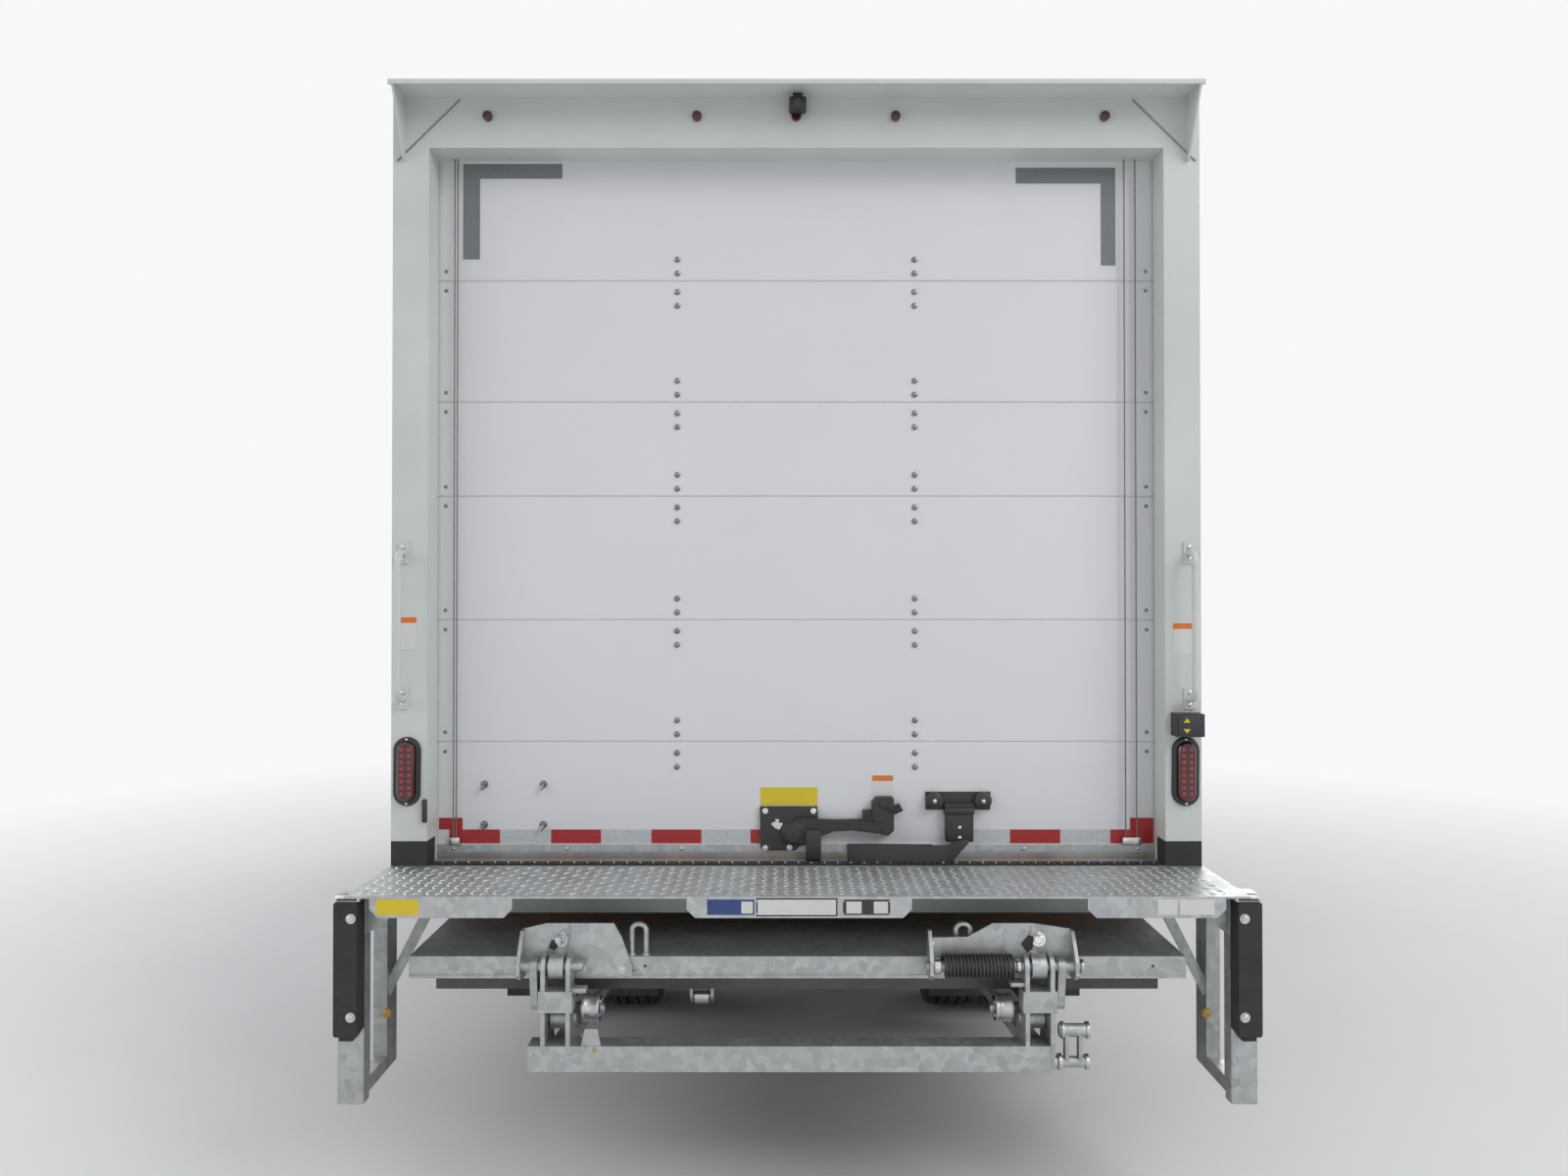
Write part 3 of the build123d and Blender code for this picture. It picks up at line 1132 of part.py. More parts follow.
def hinge_lug(side):
    """The lug between a shackle's ears and the opener arm outside them, on one side."""
    py, pz = gate_point(PIVOT_PLATFORM)
    plate_y = REAR_Y + PLATFORM_REAR - HINGE_PLATE_THICK
    x0 = side * (GATE_ARM_X - 10)
    x1 = side * (GATE_ARM_X + 10)
    lug = side_prism(
        [(plate_y + 1, pz - 26), (plate_y + 1, pz + 26), (py, pz + HINGE_DISC_R - 4), (py, pz - HINGE_DISC_R + 4)],
        min(x0, x1), max(x0, x1),
    )
    lug += bar_x(side * (GATE_ARM_X - 20), side * (GATE_ARM_X + 20), py, pz, HINGE_DISC_R)
    arm_x = side * (GATE_ARM_X + 53)
    opener = link_bar((py, pz), (py + 15, pz - 100), min(arm_x, arm_x + side * 20), max(arm_x, arm_x + side * 20), 40, 4)
    return lug + opener


def lift_platform():
    """The upper section with its hinge brackets, pins and lifting loops."""
    py, pz = gate_point(PIVOT_PLATFORM)
    flange_x1 = FLANGE_X0 + HINGE_PLATE_THICK
    slab = platform_section(PLATFORM_HALF, REAR_Y + PLATFORM_REAR, REAR_Y + PLATFORM_FRONT, PLATFORM_TOP)
    slab += hinge_bracket(
        [(-flange_x1, pz - 40), (-456, pz - 40), (-456, pz - 14), (-485, pz + 66), (-507, pz + 106), (-693, pz + 106),
         (-flange_x1, pz + 90)],
        (-flange_x1,),
    )
    slab += hinge_bracket(
        [(SPRING_X0 - 35, pz - 40), (flange_x1, pz - 40), (flange_x1, pz + 90), (650, pz + 106), (540, pz + 106),
         (470, pz + 68), (SPRING_X0 - 35, pz + 66)],
        (SPRING_X0 - 35, FLANGE_X0),
    )
    slab += bar_x(-flange_x1 - 8, -GATE_ARM_X + 70, py, pz, GATE_PIN_R)
    slab += bar_x(SPRING_X0 - 45, flange_x1 + 8, py, pz, GATE_PIN_R)
    slab += hinge_lug(-1) + hinge_lug(1)
    loop_y = REAR_Y + PLATFORM_REAR + 20
    for x in LOOP_X:
        ring = pipe(
            [(x - 20, loop_y, PLATFORM_TOP - 4), (x - 20, loop_y, PLATFORM_TOP + LOOP_HEIGHT - LOOP_BAR_R),
             (x + 20, loop_y, PLATFORM_TOP + LOOP_HEIGHT - LOOP_BAR_R), (x + 20, loop_y, PLATFORM_TOP - 4)],
            18, LOOP_BAR_R,
        )
        slab += ring
    return slab


def gate_spring():
    """The coil spring on the right hinge pin, as a ribbed sleeve."""
    py, pz = gate_point(PIVOT_PLATFORM)
    pitch = (SPRING_X1 - SPRING_X0) / SPRING_COILS
    wire = SPRING_COIL_R - 24
    outline = [(SPRING_X0, GATE_PIN_R + PIN_GAP)]
    for coil in range(SPRING_COILS):
        x = SPRING_X0 + coil * pitch
        outline += [(x, SPRING_COIL_R - wire), (x + pitch * 0.25, SPRING_COIL_R), (x + pitch * 0.75, SPRING_COIL_R)]
    outline += [(SPRING_X1, SPRING_COIL_R - wire), (SPRING_X1, GATE_PIN_R + PIN_GAP)]
    return Pos(0, py, pz) * spin(outline)


def lift_flipover():
    """The lower section, folded under the platform."""
    top = PLATFORM_TOP - PLATFORM_THICK - SEAT_GAP
    return platform_section(FLIPOVER_HALF, REAR_Y + FLIPOVER_REAR, REAR_Y + FLIPOVER_FRONT, top)


def cylinder_parts():
    """The barrel and the rod of the lift cylinder."""
    barrel_y, barrel_z = gate_point(PIVOT_BARREL)
    rod_y, rod_z = gate_point(PIVOT_ROD)
    length = math.hypot(rod_y - barrel_y, rod_z - barrel_z)
    line = Plane(origin=(CYLINDER_X, barrel_y, barrel_z), x_dir=(1, 0, 0), z_dir=(0, rod_y - barrel_y, rod_z - barrel_z))
    tube = extrude(line.offset(30) * Circle(BARREL_R), amount=BARREL_LENGTH - 30)
    tube += bar_x(CYLINDER_X - 26, CYLINDER_X + 26, barrel_y, barrel_z, 26)
    tube += extrude(line.offset(10) * Rectangle(40, 40), amount=40)
    tube -= bar_x(CYLINDER_X - 50, CYLINDER_X + 50, barrel_y, barrel_z, ROD_PIN_R + PIN_GAP)
    tube -= extrude(line.offset(60) * Circle(ROD_R + PIN_GAP), amount=BARREL_LENGTH)
    rod = extrude(line.offset(150) * Circle(ROD_R), amount=length - 150 - 12)
    eye_r = ROD_PIN_R + ROD_EYE_PLAY
    rod += bar_x(CYLINDER_X - 22, CYLINDER_X + 22, rod_y, rod_z, eye_r + 11)
    rod -= bar_x(CYLINDER_X - 30, CYLINDER_X + 30, rod_y, rod_z, eye_r)
    return tube, rod


write("lift_frame", lift_frame())
write("lift_arms", lift_arms())
write("lift_links", *both_sides(parallel_link()))
write("shackles", shackles())
write("lift_platform", lift_platform())
write("lift_flipover", lift_flipover())
write("gate_spring", gate_spring())
barrel, rod = cylinder_parts()
write("lift_cylinder", barrel)
write("lift_rod", rod)

# Cab
CAB_HALF = 1000.0
CAB_LEAN = 70.0
CAB_TOP_HALF = CAB_HALF - CAB_LEAN
CAB_TOP_Z = 2280.0
CAB_BOTTOM_Z = 620.0
CAB_WALL = 45.0
CAB_FACE_Y = NOSE_Y - 40.0
CAB_CORNER_R = 200.0
BELT_Z = 1400.0
ARCH_FRONT_Y = FRONT_AXLE_Y + 500.0
TUNNEL_HALF = 440.0
TUNNEL_Z = 860.0
ENGINE_COVER_HALF = 350.0
ENGINE_COVER_Z = 1110.0
ENGINE_COVER_FRONT_Y = ENGINE_FRONT_Y + 40.0
GLASS_INSET = 18.0
GLASS_THICK = 6.0
SCREEN_MARGIN = 140.0
SCREEN_TAPER = 60.0
SCREEN_RISE = 20.0
SCREEN_DROP = 170.0
REAR_WINDOW_HALF = 420.0
REAR_WINDOW_LOW = 1560.0
REAR_WINDOW_HIGH = 1960.0


def cab_side_outline(inset):
    """The cab from the side, with the wheel arch cut out of its rear underside."""
    outline = Polygon(
        (CAB_BACK_Y, CAB_FLOOR_Z), (ARCH_FRONT_Y, CAB_FLOOR_Z), (ARCH_FRONT_Y, CAB_BOTTOM_Z),
        (CAB_FACE_Y, CAB_BOTTOM_Z), (CAB_FACE_Y, BELT_Z - 90), (CAB_FACE_Y - 30, BELT_Z),
        (CAB_FACE_Y - 195, CAB_TOP_Z - 130), (CAB_FACE_Y - 330, CAB_TOP_Z), (CAB_BACK_Y + 70, CAB_TOP_Z),
        (CAB_BACK_Y, CAB_TOP_Z - 80),
        align=None,
    )
    return offset(outline, -inset, kind=Kind.INTERSECTION) if inset else outline


def cab_front_outline(inset):
    """The cab from the front, leaning in above the belt."""
    side = CAB_HALF - inset
    top = CAB_TOP_HALF - inset
    return Polygon(
        (-side, CAB_BOTTOM_Z - 50), (side, CAB_BOTTOM_Z - 50), (side, BELT_Z), (top, CAB_TOP_Z - 90 - inset),
        (top - 70, CAB_TOP_Z - inset - 8), (0, CAB_TOP_Z - inset + 5), (-top + 70, CAB_TOP_Z - inset - 8),
        (-top, CAB_TOP_Z - 90 - inset), (-side, BELT_Z),
        align=None,
    )


def cab_plan(inset):
    """The cab from above, with round front corners."""
    half = CAB_HALF - inset
    front = CAB_FACE_Y - inset
    radius = CAB_CORNER_R - inset
    rear = CAB_BACK_Y - 50
    outline = Polyline((-half, front - radius), (-half, rear), (half, rear), (half, front - radius))
    outline += RadiusArc((half, front - radius), (half - radius, front), -radius)
    outline += Line((half - radius, front), (-half + radius, front))
    outline += RadiusArc((-half + radius, front), (-half, front - radius), -radius)
    return make_face(outline)


def cab_form(inset):
    """The cab's outer form, drawn in by an inset on every side."""
    side_plane = Plane(origin=(-CAB_HALF - 10, 0, 0), x_dir=(0, 1, 0), z_dir=(1, 0, 0))
    side = extrude(side_plane * cab_side_outline(inset), amount=2 * CAB_HALF + 20, dir=(1, 0, 0))
    front_plane = Plane(origin=(0, NOSE_Y + 10, 0), x_dir=(1, 0, 0), z_dir=(0, -1, 0))
    front = extrude(front_plane * cab_front_outline(inset), amount=BUMPER_TO_CAB_BACK + 100, dir=(0, -1, 0))
    height = CAB_TOP_Z - CAB_BOTTOM_Z + 100
    plan = extrude(Plane.XY.offset(CAB_BOTTOM_Z - 60) * cab_plan(inset), amount=height, dir=(0, 0, 1))
    return side & front & plan


DOOR_FRONT_Y = CAB_FACE_Y - 290.0
DOOR_REAR_Y = DOOR_FRONT_Y - 960.0
DOOR_BOTTOM_Z = CAB_BOTTOM_Z + 60.0
DOOR_SEAM_RISE = 5.0
DOOR_ARCH_Z = CAB_FLOOR_Z + CAB_WALL + DOOR_SEAM_RISE
DOOR_CUT_DEPTH = 140.0
DOOR_TOP_Z = CAB_TOP_Z - 130.0
DOOR_PILLAR_LEAN = 150.0
HINGE_HEIGHTS = (850.0, 1230.0)
HINGE_LENGTH = 60.0
HINGE_R = 8.0
HINGE_PIN_R = 4.5
HINGE_PROUD = 10.0
LEAF_REACH = 40.0
LEAF_THICK = 6.0


def door_outline(inset):
    """The right door's outline as (y, z) points, drawn in by an inset."""
    arch_y = ARCH_FRONT_Y + CAB_WALL + DOOR_SEAM_RISE
    return [
        (DOOR_REAR_Y + inset, DOOR_ARCH_Z + inset), (arch_y + inset, DOOR_ARCH_Z + inset),
        (arch_y + inset, DOOR_BOTTOM_Z + inset),
        (DOOR_FRONT_Y - inset, DOOR_BOTTOM_Z + inset), (DOOR_FRONT_Y - inset, BELT_Z),
        (DOOR_FRONT_Y - DOOR_PILLAR_LEAN - inset, DOOR_TOP_Z - inset), (DOOR_REAR_Y + inset, DOOR_TOP_Z - inset),
    ]


def window_outline(inset):
    """The door window's outline as (y, z) points."""
    edge = 62.0 + inset
    low = BELT_Z + 20 + inset
    return [
        (DOOR_REAR_Y + edge, low), (DOOR_FRONT_Y - edge, low),
        (DOOR_FRONT_Y - DOOR_PILLAR_LEAN - edge + 5, DOOR_TOP_Z - edge), (DOOR_REAR_Y + edge, DOOR_TOP_Z - edge),
    ]


def windscreen_outline(inset):
    """The windscreen's outline as (x, z) points."""
    low = BELT_Z + SCREEN_RISE + inset
    high = CAB_TOP_Z - SCREEN_DROP - inset
    half = CAB_HALF - SCREEN_MARGIN - inset
    top = half - SCREEN_TAPER
    return [(-half, low), (half, low), (top, high), (-top, high)]


def rear_window_outline(inset):
    """The cab's rear window as (x, z) points."""
    half = REAR_WINDOW_HALF - inset
    low = REAR_WINDOW_LOW + inset
    high = REAR_WINDOW_HIGH - inset
    return [(-half, low), (half, low), (half, high), (-half, high)]


def cab_skin():
    """The cab's hollow shell before its openings are cut."""
    room = cab_form(CAB_WALL)
    cover = 40.0
    room -= block(-TUNNEL_HALF - cover, TUNNEL_HALF + cover, CAB_BACK_Y, NOSE_Y, CAB_BOTTOM_Z, TUNNEL_Z + cover)
    room -= block(
        -ENGINE_COVER_HALF - cover, ENGINE_COVER_HALF + cover, CAB_BACK_Y, ENGINE_COVER_FRONT_Y + cover,
        CAB_BOTTOM_Z, ENGINE_COVER_Z + cover,
    )
    skin = cab_form(0) - room
    skin -= block(
        -TUNNEL_HALF, TUNNEL_HALF, CAB_BACK_Y - 10, CAB_FACE_Y - CAB_WALL, CAB_BOTTOM_Z - 10, TUNNEL_Z,
    )
    return skin - block(
        -ENGINE_COVER_HALF, ENGINE_COVER_HALF, CAB_BACK_Y - 10, ENGINE_COVER_FRONT_Y, CAB_BOTTOM_Z - 10, ENGINE_COVER_Z,
    )


def cab_openings(inset):
    """The prisms of the windscreen and the rear window."""
    screen = rear_prism(windscreen_outline(inset), CAB_FACE_Y - 400, CAB_FACE_Y + 10)
    rear = rear_prism(rear_window_outline(inset), CAB_BACK_Y - 10, CAB_BACK_Y + CAB_WALL + 10)
    return screen, rear


def tilt_lug():
    """The right lug that hangs the cab on its tilt pin."""
    lug = side_prism(
        [(CAB_FACE_Y - CAB_WALL + 5, CAB_BOTTOM_Z + 80), (TILT_Y + 26, TILT_Z - 4), (TILT_Y, TILT_Z - 28),
         (TILT_Y - 28, TILT_Z), (CAB_FACE_Y - CAB_WALL - 20, CAB_BOTTOM_Z + 80)],
        TILT_LUG_X, TILT_LUG_X + TILT_LUG_WIDTH,
    )
    return lug - bar_x(TILT_LUG_X - 1, TILT_LUG_X + TILT_LUG_WIDTH + 1, TILT_Y, TILT_Z, TILT_PIN_R + PIN_GAP)


def door_hinges():
    """The right door's hinges: the halves on the cab and the halves on the door."""
    x = CAB_HALF + HINGE_PROUD
    y = DOOR_FRONT_Y - DOOR_GAP / 2
    half = HINGE_LENGTH / 2
    cab_halves = []
    door_halves = []
    for low in HINGE_HEIGHTS:
        middle = low + half
        leaf = block(CAB_HALF, CAB_HALF + LEAF_THICK, y, y + LEAF_REACH, low, middle)
        pin = bar_z(x, y, middle - 1, middle + half, HINGE_PIN_R)
        cab_halves.append(leaf + bar_z(x, y, low, middle, HINGE_R) + pin)
        leaf = block(CAB_HALF, CAB_HALF + LEAF_THICK, y - LEAF_REACH, y, middle + PIN_GAP, middle + half)
        barrel = leaf + bar_z(x, y, middle + PIN_GAP, middle + half, HINGE_R)
        door_halves.append(barrel - bar_z(x, y, middle, middle + half + 1, HINGE_PIN_R + PIN_GAP))
    return cab_halves, door_halves


skin = cab_skin()
door_space = side_prism(door_outline(0), CAB_HALF - DOOR_CUT_DEPTH, CAB_HALF + 10)
door_body = side_prism(door_outline(DOOR_GAP), CAB_HALF - DOOR_CUT_DEPTH, CAB_HALF + 10)
window_space = side_prism(window_outline(0), CAB_HALF - 200, CAB_HALF + 20)
window_pane = side_prism(window_outline(SEAT_GAP), CAB_HALF - 200, CAB_HALF + 20)
pane_layer = cab_form(GLASS_INSET) - cab_form(GLASS_INSET + GLASS_THICK)
screen_cut, rear_cut = cab_openings(0)
screen_pane, rear_pane = cab_openings(SEAT_GAP)

cab_hinges, leaf_hinges = door_hinges()
door_right = (skin & door_body) - window_space
for hinge in leaf_hinges:
    door_right += hinge
shell = skin - door_space - mirrored(door_space) - screen_cut - rear_cut
shell += tilt_lug() + mirrored(tilt_lug())
for hinge in cab_hinges:
    shell += hinge + mirrored(hinge)
write("cab_shell", shell)
write("cab_door_right", door_right)
write("cab_door_left", mirrored(door_right))
write("door_glass_right", pane_layer & window_pane)
write("door_glass_left", mirrored(pane_layer & window_pane))
write("cab_glass", pane_layer & screen_pane, pane_layer & rear_pane)

# Cab interior
SEAT_OFF_WALL = 120.0
SEAT_OFF_COVER = 50.0
SEAT_OUTER_X = CAB_HALF - SEAT_OFF_WALL
SEAT_INNER_X = ENGINE_COVER_HALF + SEAT_OFF_COVER
SEAT_WIDTH = SEAT_OUTER_X - SEAT_INNER_X
SEAT_X = (SEAT_OUTER_X + SEAT_INNER_X) / 2
SEAT_Z = 1230.0
COLUMN_X = 80.0 - SEAT_X
COLUMN_Y = FRONT_AXLE_Y + 640.5
COLUMN_Z = 1420.0
WHEEL_LEAN = 40.0
STEER_R = 215.0


def seat(x):
    """A plain seat on its box: cushion and back."""
    y0 = CAB_BACK_Y + CAB_WALL + 60
    half = SEAT_WIDTH / 2
    base = block(x - half + 40, x + half - 40, y0 + 60, y0 + 480, CAB_FLOOR_Z + CAB_WALL, SEAT_Z - 110)
    cushion = block(x - half, x + half, y0 + 40, y0 + 560, SEAT_Z - 110, SEAT_Z)
    back = side_prism(
        [(y0 + 60, SEAT_Z - 10), (y0 + 170, SEAT_Z - 10), (y0 + 110, SEAT_Z + 600), (y0 + 20, SEAT_Z + 600)],
        x - half, x + half,
    )
    return base + cushion + back


def dashboard():
    """The dashboard across the cab, with the steering column."""
    half = CAB_HALF - CAB_WALL - 25
    front = CAB_FACE_Y - CAB_WALL
    dash = side_prism(
        [(front - 330, 1150), (front - 120, 1130), (front, 1130), (front, BELT_Z - 100), (front - 30, BELT_Z - 20),
         (front - 240, BELT_Z - 20), (front - 330, 1330)],
        -CAB_HALF + CAB_CORNER_R, CAB_HALF - CAB_CORNER_R,
    )
    lean = math.radians(WHEEL_LEAN)
    aim = (0, -math.sin(lean), math.cos(lean))
    column = Plane(origin=(COLUMN_X, COLUMN_Y, COLUMN_Z), x_dir=(1, 0, 0), z_dir=aim)
    dash += extrude(column.offset(-320) * Circle(26), amount=290)
    return dash


def steering_wheel():
    """Rim, three spokes and boss about the column's axis."""
    lean = math.radians(WHEEL_LEAN)
    aim = (0, -math.sin(lean), math.cos(lean))
    plane = Plane(origin=(COLUMN_X, COLUMN_Y, COLUMN_Z), x_dir=(1, 0, 0), z_dir=aim)
    ring = extrude(plane.offset(-12) * (Circle(STEER_R) - Circle(STEER_R - 26)), amount=24)
    boss = extrude(plane.offset(-29.7) * Circle(46), amount=36)
    for angle in (-90, 30, 150):
        spoke = plane.offset(-8) * Rot(Z=angle) * Pos(STEER_R / 2, 0) * Rectangle(STEER_R - 10, 30)
        ring += extrude(spoke, amount=12)
    return ring + boss


GRILLE_HALF = 560.0
GRILLE_LOW_Z = 900.0
GRILLE_HEIGHT = 210.0
GRILLE_DEPTH = 16.0
GRILLE_SLOTS = 4
LAMP_BEZEL = 30.0
HEADLAMP_WIDTH = 200.0
HEADLAMP_LOW_Z = 790.0
HEADLAMP_HEIGHT = 210.0


def grille():
    """The black grille panel on the cab's face, with its slots."""
    top = GRILLE_LOW_Z + GRILLE_HEIGHT
    panel = block(-GRILLE_HALF, GRILLE_HALF, CAB_FACE_Y, CAB_FACE_Y + GRILLE_DEPTH, GRILLE_LOW_Z, top)
    pitch = (GRILLE_HEIGHT - 26) / GRILLE_SLOTS
    for index in range(GRILLE_SLOTS):
        z = GRILLE_LOW_Z + 22 + index * pitch
        panel -= block(-GRILLE_HALF + 40, GRILLE_HALF - 40, CAB_FACE_Y + 5, CAB_FACE_Y + GRILLE_DEPTH + 1, z, z + 26)
    return panel


def headlamp():
    """The right headlamp on the cab's face."""
    x0 = GRILLE_HALF + LAMP_BEZEL
    lamp = block(
        x0, x0 + HEADLAMP_WIDTH, CAB_FACE_Y, CAB_FACE_Y + 20, HEADLAMP_LOW_Z, HEADLAMP_LOW_Z + HEADLAMP_HEIGHT,
    )
    return chamfer(lamp.edges().filter_by(Axis.Y), 24)


FENDER_R = 490.0
FENDER_THICK = 7.0
FENDER_X0 = CAB_HALF - 320.0
FENDER_X1 = CAB_HALF - 6.0


def fender():
    """The arched guard over the right front wheel, hung from the cab's floor."""
    def arc(radius):
        return bar_x(FENDER_X0, FENDER_X1, FRONT_AXLE_Y, AXLE_Z, radius)

    sheet = arc(FENDER_R) - arc(FENDER_R - FENDER_THICK)
    room = block(
        FENDER_X0 - 1, FENDER_X1 + 1, FRONT_AXLE_Y - FENDER_R - 1, FRONT_AXLE_Y + FENDER_R + 1,
        CAB_BOTTOM_Z - 60, CAB_FLOOR_Z,
    )
    sheet = sheet & room
    flap_rise = CAB_BOTTOM_Z - 60 - AXLE_Z
    flap_y = FRONT_AXLE_Y - (FENDER_R * FENDER_R - flap_rise * flap_rise) ** 0.5
    sheet += block(
        FENDER_X0, FENDER_X1, flap_y, flap_y + FENDER_THICK, CAB_BOTTOM_Z - 260, CAB_BOTTOM_Z - 55,
    )
    for y in (FRONT_AXLE_Y - 120, FRONT_AXLE_Y + 80):
        sheet += block(FENDER_X0, FENDER_X1, y, y + 40, AXLE_Z + FENDER_R - 30, CAB_FLOOR_Z) - arc(FENDER_R - FENDER_THICK)
    return sheet


STEP_BOX_X0 = CAB_HALF - 220.0
STEP_BOX_X1 = CAB_HALF - 10.0
STEP_BOX_LOW = CAB_BOTTOM_Z - 190.0
STEP_BOX_WALL = 30.0


def cab_step():
    """The right step box under the door, open to the side."""
    y0 = ARCH_FRONT_Y + 16
    y1 = DOOR_FRONT_Y - 14
    box = block(STEP_BOX_X0, STEP_BOX_X1, y0, y1, STEP_BOX_LOW, CAB_BOTTOM_Z)
    return box - block(
        STEP_BOX_X0 + STEP_BOX_WALL, STEP_BOX_X1 + 1, y0 + STEP_BOX_WALL, y1 - STEP_BOX_WALL,
        STEP_BOX_LOW + STEP_BOX_WALL, CAB_BOTTOM_Z - STEP_BOX_WALL / 2,
    )


def mirror_set():
    """The right mirror: base, bent arm and head."""
    y = CAB_FACE_Y - CAB_CORNER_R - 45
    base = block(CAB_HALF, CAB_HALF + 14, y - 30, y + 30, BELT_Z - 90, BELT_Z - 20)
    path = FilletPolyline(
        (CAB_HALF + 8, y, BELT_Z - 55), (CAB_HALF + 120, y, BELT_Z - 55), (CAB_HALF + 120, y, BELT_Z + 480), radius=50,
    )
    section = Plane(origin=path @ 0, z_dir=path % 0) * Circle(13)
    arm = sweep(section, path=path)
    head = block(CAB_HALF + 90, CAB_HALF + 290, y - 30, y + 40, BELT_Z + 60, BELT_Z + 450)
    head = fillet(head.edges().filter_by(Axis.Y), 30)
    return base + arm + head


write("cab_seats", seat(-SEAT_X), seat(SEAT_X))
write("dashboard", dashboard())
write("steering_wheel", steering_wheel())
write("grille", grille())
write("headlamps", *both_sides(headlamp()))
write("cab_fenders", *both_sides(fender()), *both_sides(cab_step()))
write("cab_mirrors", *both_sides(mirror_set()))

# Front bumper
BUMPER_HALF = CAB_HALF
BUMPER_TOP_Z = 570.0
BUMPER_LOW_Z = 380.0
BUMPER_WALL = 30.0
PLATE_HOLE_R = 3.5
PLATE_HOLE_SPACING = 178.0
PLATE_HOLE_Z = 505.0
TOW_EYE_R = 16.0
TOW_EYE_THICK = 16.0
TOW_EYE_BACK = 75.0
TOW_EYE_Z = 340.0
TOW_EYE_RIM = 36.0


def tow_eye():
    """The right tow eye: a plate under the bumper's bracket."""
    y = NOSE_Y - TOW_EYE_BACK
    x0 = RAIL_X - TOW_EYE_THICK
    eye = bar_x(x0, RAIL_X, y, TOW_EYE_Z, TOW_EYE_RIM)
    eye += block(x0, RAIL_X, y - TOW_EYE_RIM, y + TOW_EYE_RIM, TOW_EYE_Z, BUMPER_TOP_Z - 100)
    return eye - bar_x(x0 - 1, RAIL_X + 1, y, TOW_EYE_Z, TOW_EYE_R)


def front_bumper():
    """A steel bumper with turned-back ends, on two brackets from the rails."""
    front = NOSE_Y
    bar = plan_prism(
        [(-BUMPER_HALF, front - 330), (-BUMPER_HALF, front - 90), (-BUMPER_HALF + 110, front),
         (BUMPER_HALF - 110, front), (BUMPER_HALF, front - 90), (BUMPER_HALF, front - 330),
         (BUMPER_HALF - 30, front - 330), (BUMPER_HALF - 30, front - 100), (BUMPER_HALF - 130, front - 30),
         (-BUMPER_HALF + 130, front - 30), (-BUMPER_HALF + 30, front - 100), (-BUMPER_HALF + 30, front - 330)],
        BUMPER_LOW_Z, BUMPER_TOP_Z,
    )
    for x0 in (-RAIL_X, RAIL_X - 40):
        bar += block(x0, x0 + 40, RAIL_FRONT_Y - 260, front - 29, BUMPER_TOP_Z - 130, BUMPER_TOP_Z - 45)
        bar += block(x0, x0 + 40, RAIL_FRONT_Y - 260, RAIL_FRONT_Y - 160, BUMPER_TOP_Z - 130, RAIL_BOTTOM)
    bar += tow_eye() + mirrored(tow_eye())
    for x in (-PLATE_HOLE_SPACING / 2, PLATE_HOLE_SPACING / 2):
        bar -= bar_y(x, front - BUMPER_WALL - 1, front + 1, PLATE_HOLE_Z, PLATE_HOLE_R)
    return bar


write("front_bumper", front_bumper())
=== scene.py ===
"""Finishes, fittings and studio of the box truck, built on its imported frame."""
import logging
import math
from dataclasses import dataclass
from enum import Enum
from itertools import product
from typing import ClassVar, Iterable, Sequence

import bmesh
import bpy
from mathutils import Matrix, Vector


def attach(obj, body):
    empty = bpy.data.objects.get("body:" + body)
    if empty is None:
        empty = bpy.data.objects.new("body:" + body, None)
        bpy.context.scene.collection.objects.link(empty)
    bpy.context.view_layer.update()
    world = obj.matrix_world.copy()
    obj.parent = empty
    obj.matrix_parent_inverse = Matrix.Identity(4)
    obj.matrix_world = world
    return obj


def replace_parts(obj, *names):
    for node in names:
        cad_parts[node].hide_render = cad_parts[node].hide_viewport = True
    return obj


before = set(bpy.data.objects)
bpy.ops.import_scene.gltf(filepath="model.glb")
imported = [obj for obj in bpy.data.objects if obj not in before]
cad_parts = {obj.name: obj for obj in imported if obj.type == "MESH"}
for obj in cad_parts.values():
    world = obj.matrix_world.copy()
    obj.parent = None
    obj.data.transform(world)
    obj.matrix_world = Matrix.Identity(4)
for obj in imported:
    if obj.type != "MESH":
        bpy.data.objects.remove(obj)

Point = Sequence[float]
Pair = tuple[float, float]
Colour = tuple[float, float, float]
Socket = bpy.types.NodeSocket
LOG = logging.getLogger("truck")

REAR_Y = -3.2205
DOOR_Y = -3.1105
PLATE_Y = -3.5865
FRONT_AXLE_Y = 2.3695
REAR_AXLE_Y = -1.4405
AXLE_Z = 0.405
FACE_Y = 3.5465
BED = 1.0
HALF_BODY = 1.219
BODY_FRONT_Y = 1.6565

# Faces that fittings are set on, as the places that their forms start from.
DOOR = (0.0, DOOR_Y, BED)
REAR = (0.0, REAR_Y, BED)
PLATE = (0.0, PLATE_Y, BED)
WALL = (HALF_BODY, 0.0, 0.0)
CAB_FACE = (0.0, FACE_Y, 0.0)

BACK = (0.0, -1.0, 0.0)
AHEAD = (0.0, 1.0, 0.0)
UP = (0.0, 0.0, 1.0)
RIGHT = (1.0, 0.0, 0.0)
SIDES = ((-1, "left"), (1, "right"))


class Body(Enum):
    """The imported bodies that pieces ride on."""

    CHASSIS = "chassis"
    CAB = "cab"
    DOOR_LEFT = "door_left"
    DOOR_RIGHT = "door_right"
    FRONT_LEFT = "front_left_wheel"
    FRONT_RIGHT = "front_right_wheel"
    REAR_LEFT = "rear_left_wheels"
    REAR_RIGHT = "rear_right_wheels"
    PLATFORM = "lift_platform"
    SHACKLES = "lift_shackles"


def steps(first: float, pitch: float, count: int) -> list[float]:
    """List evenly spaced places."""
    return [first + pitch * index for index in range(count)]


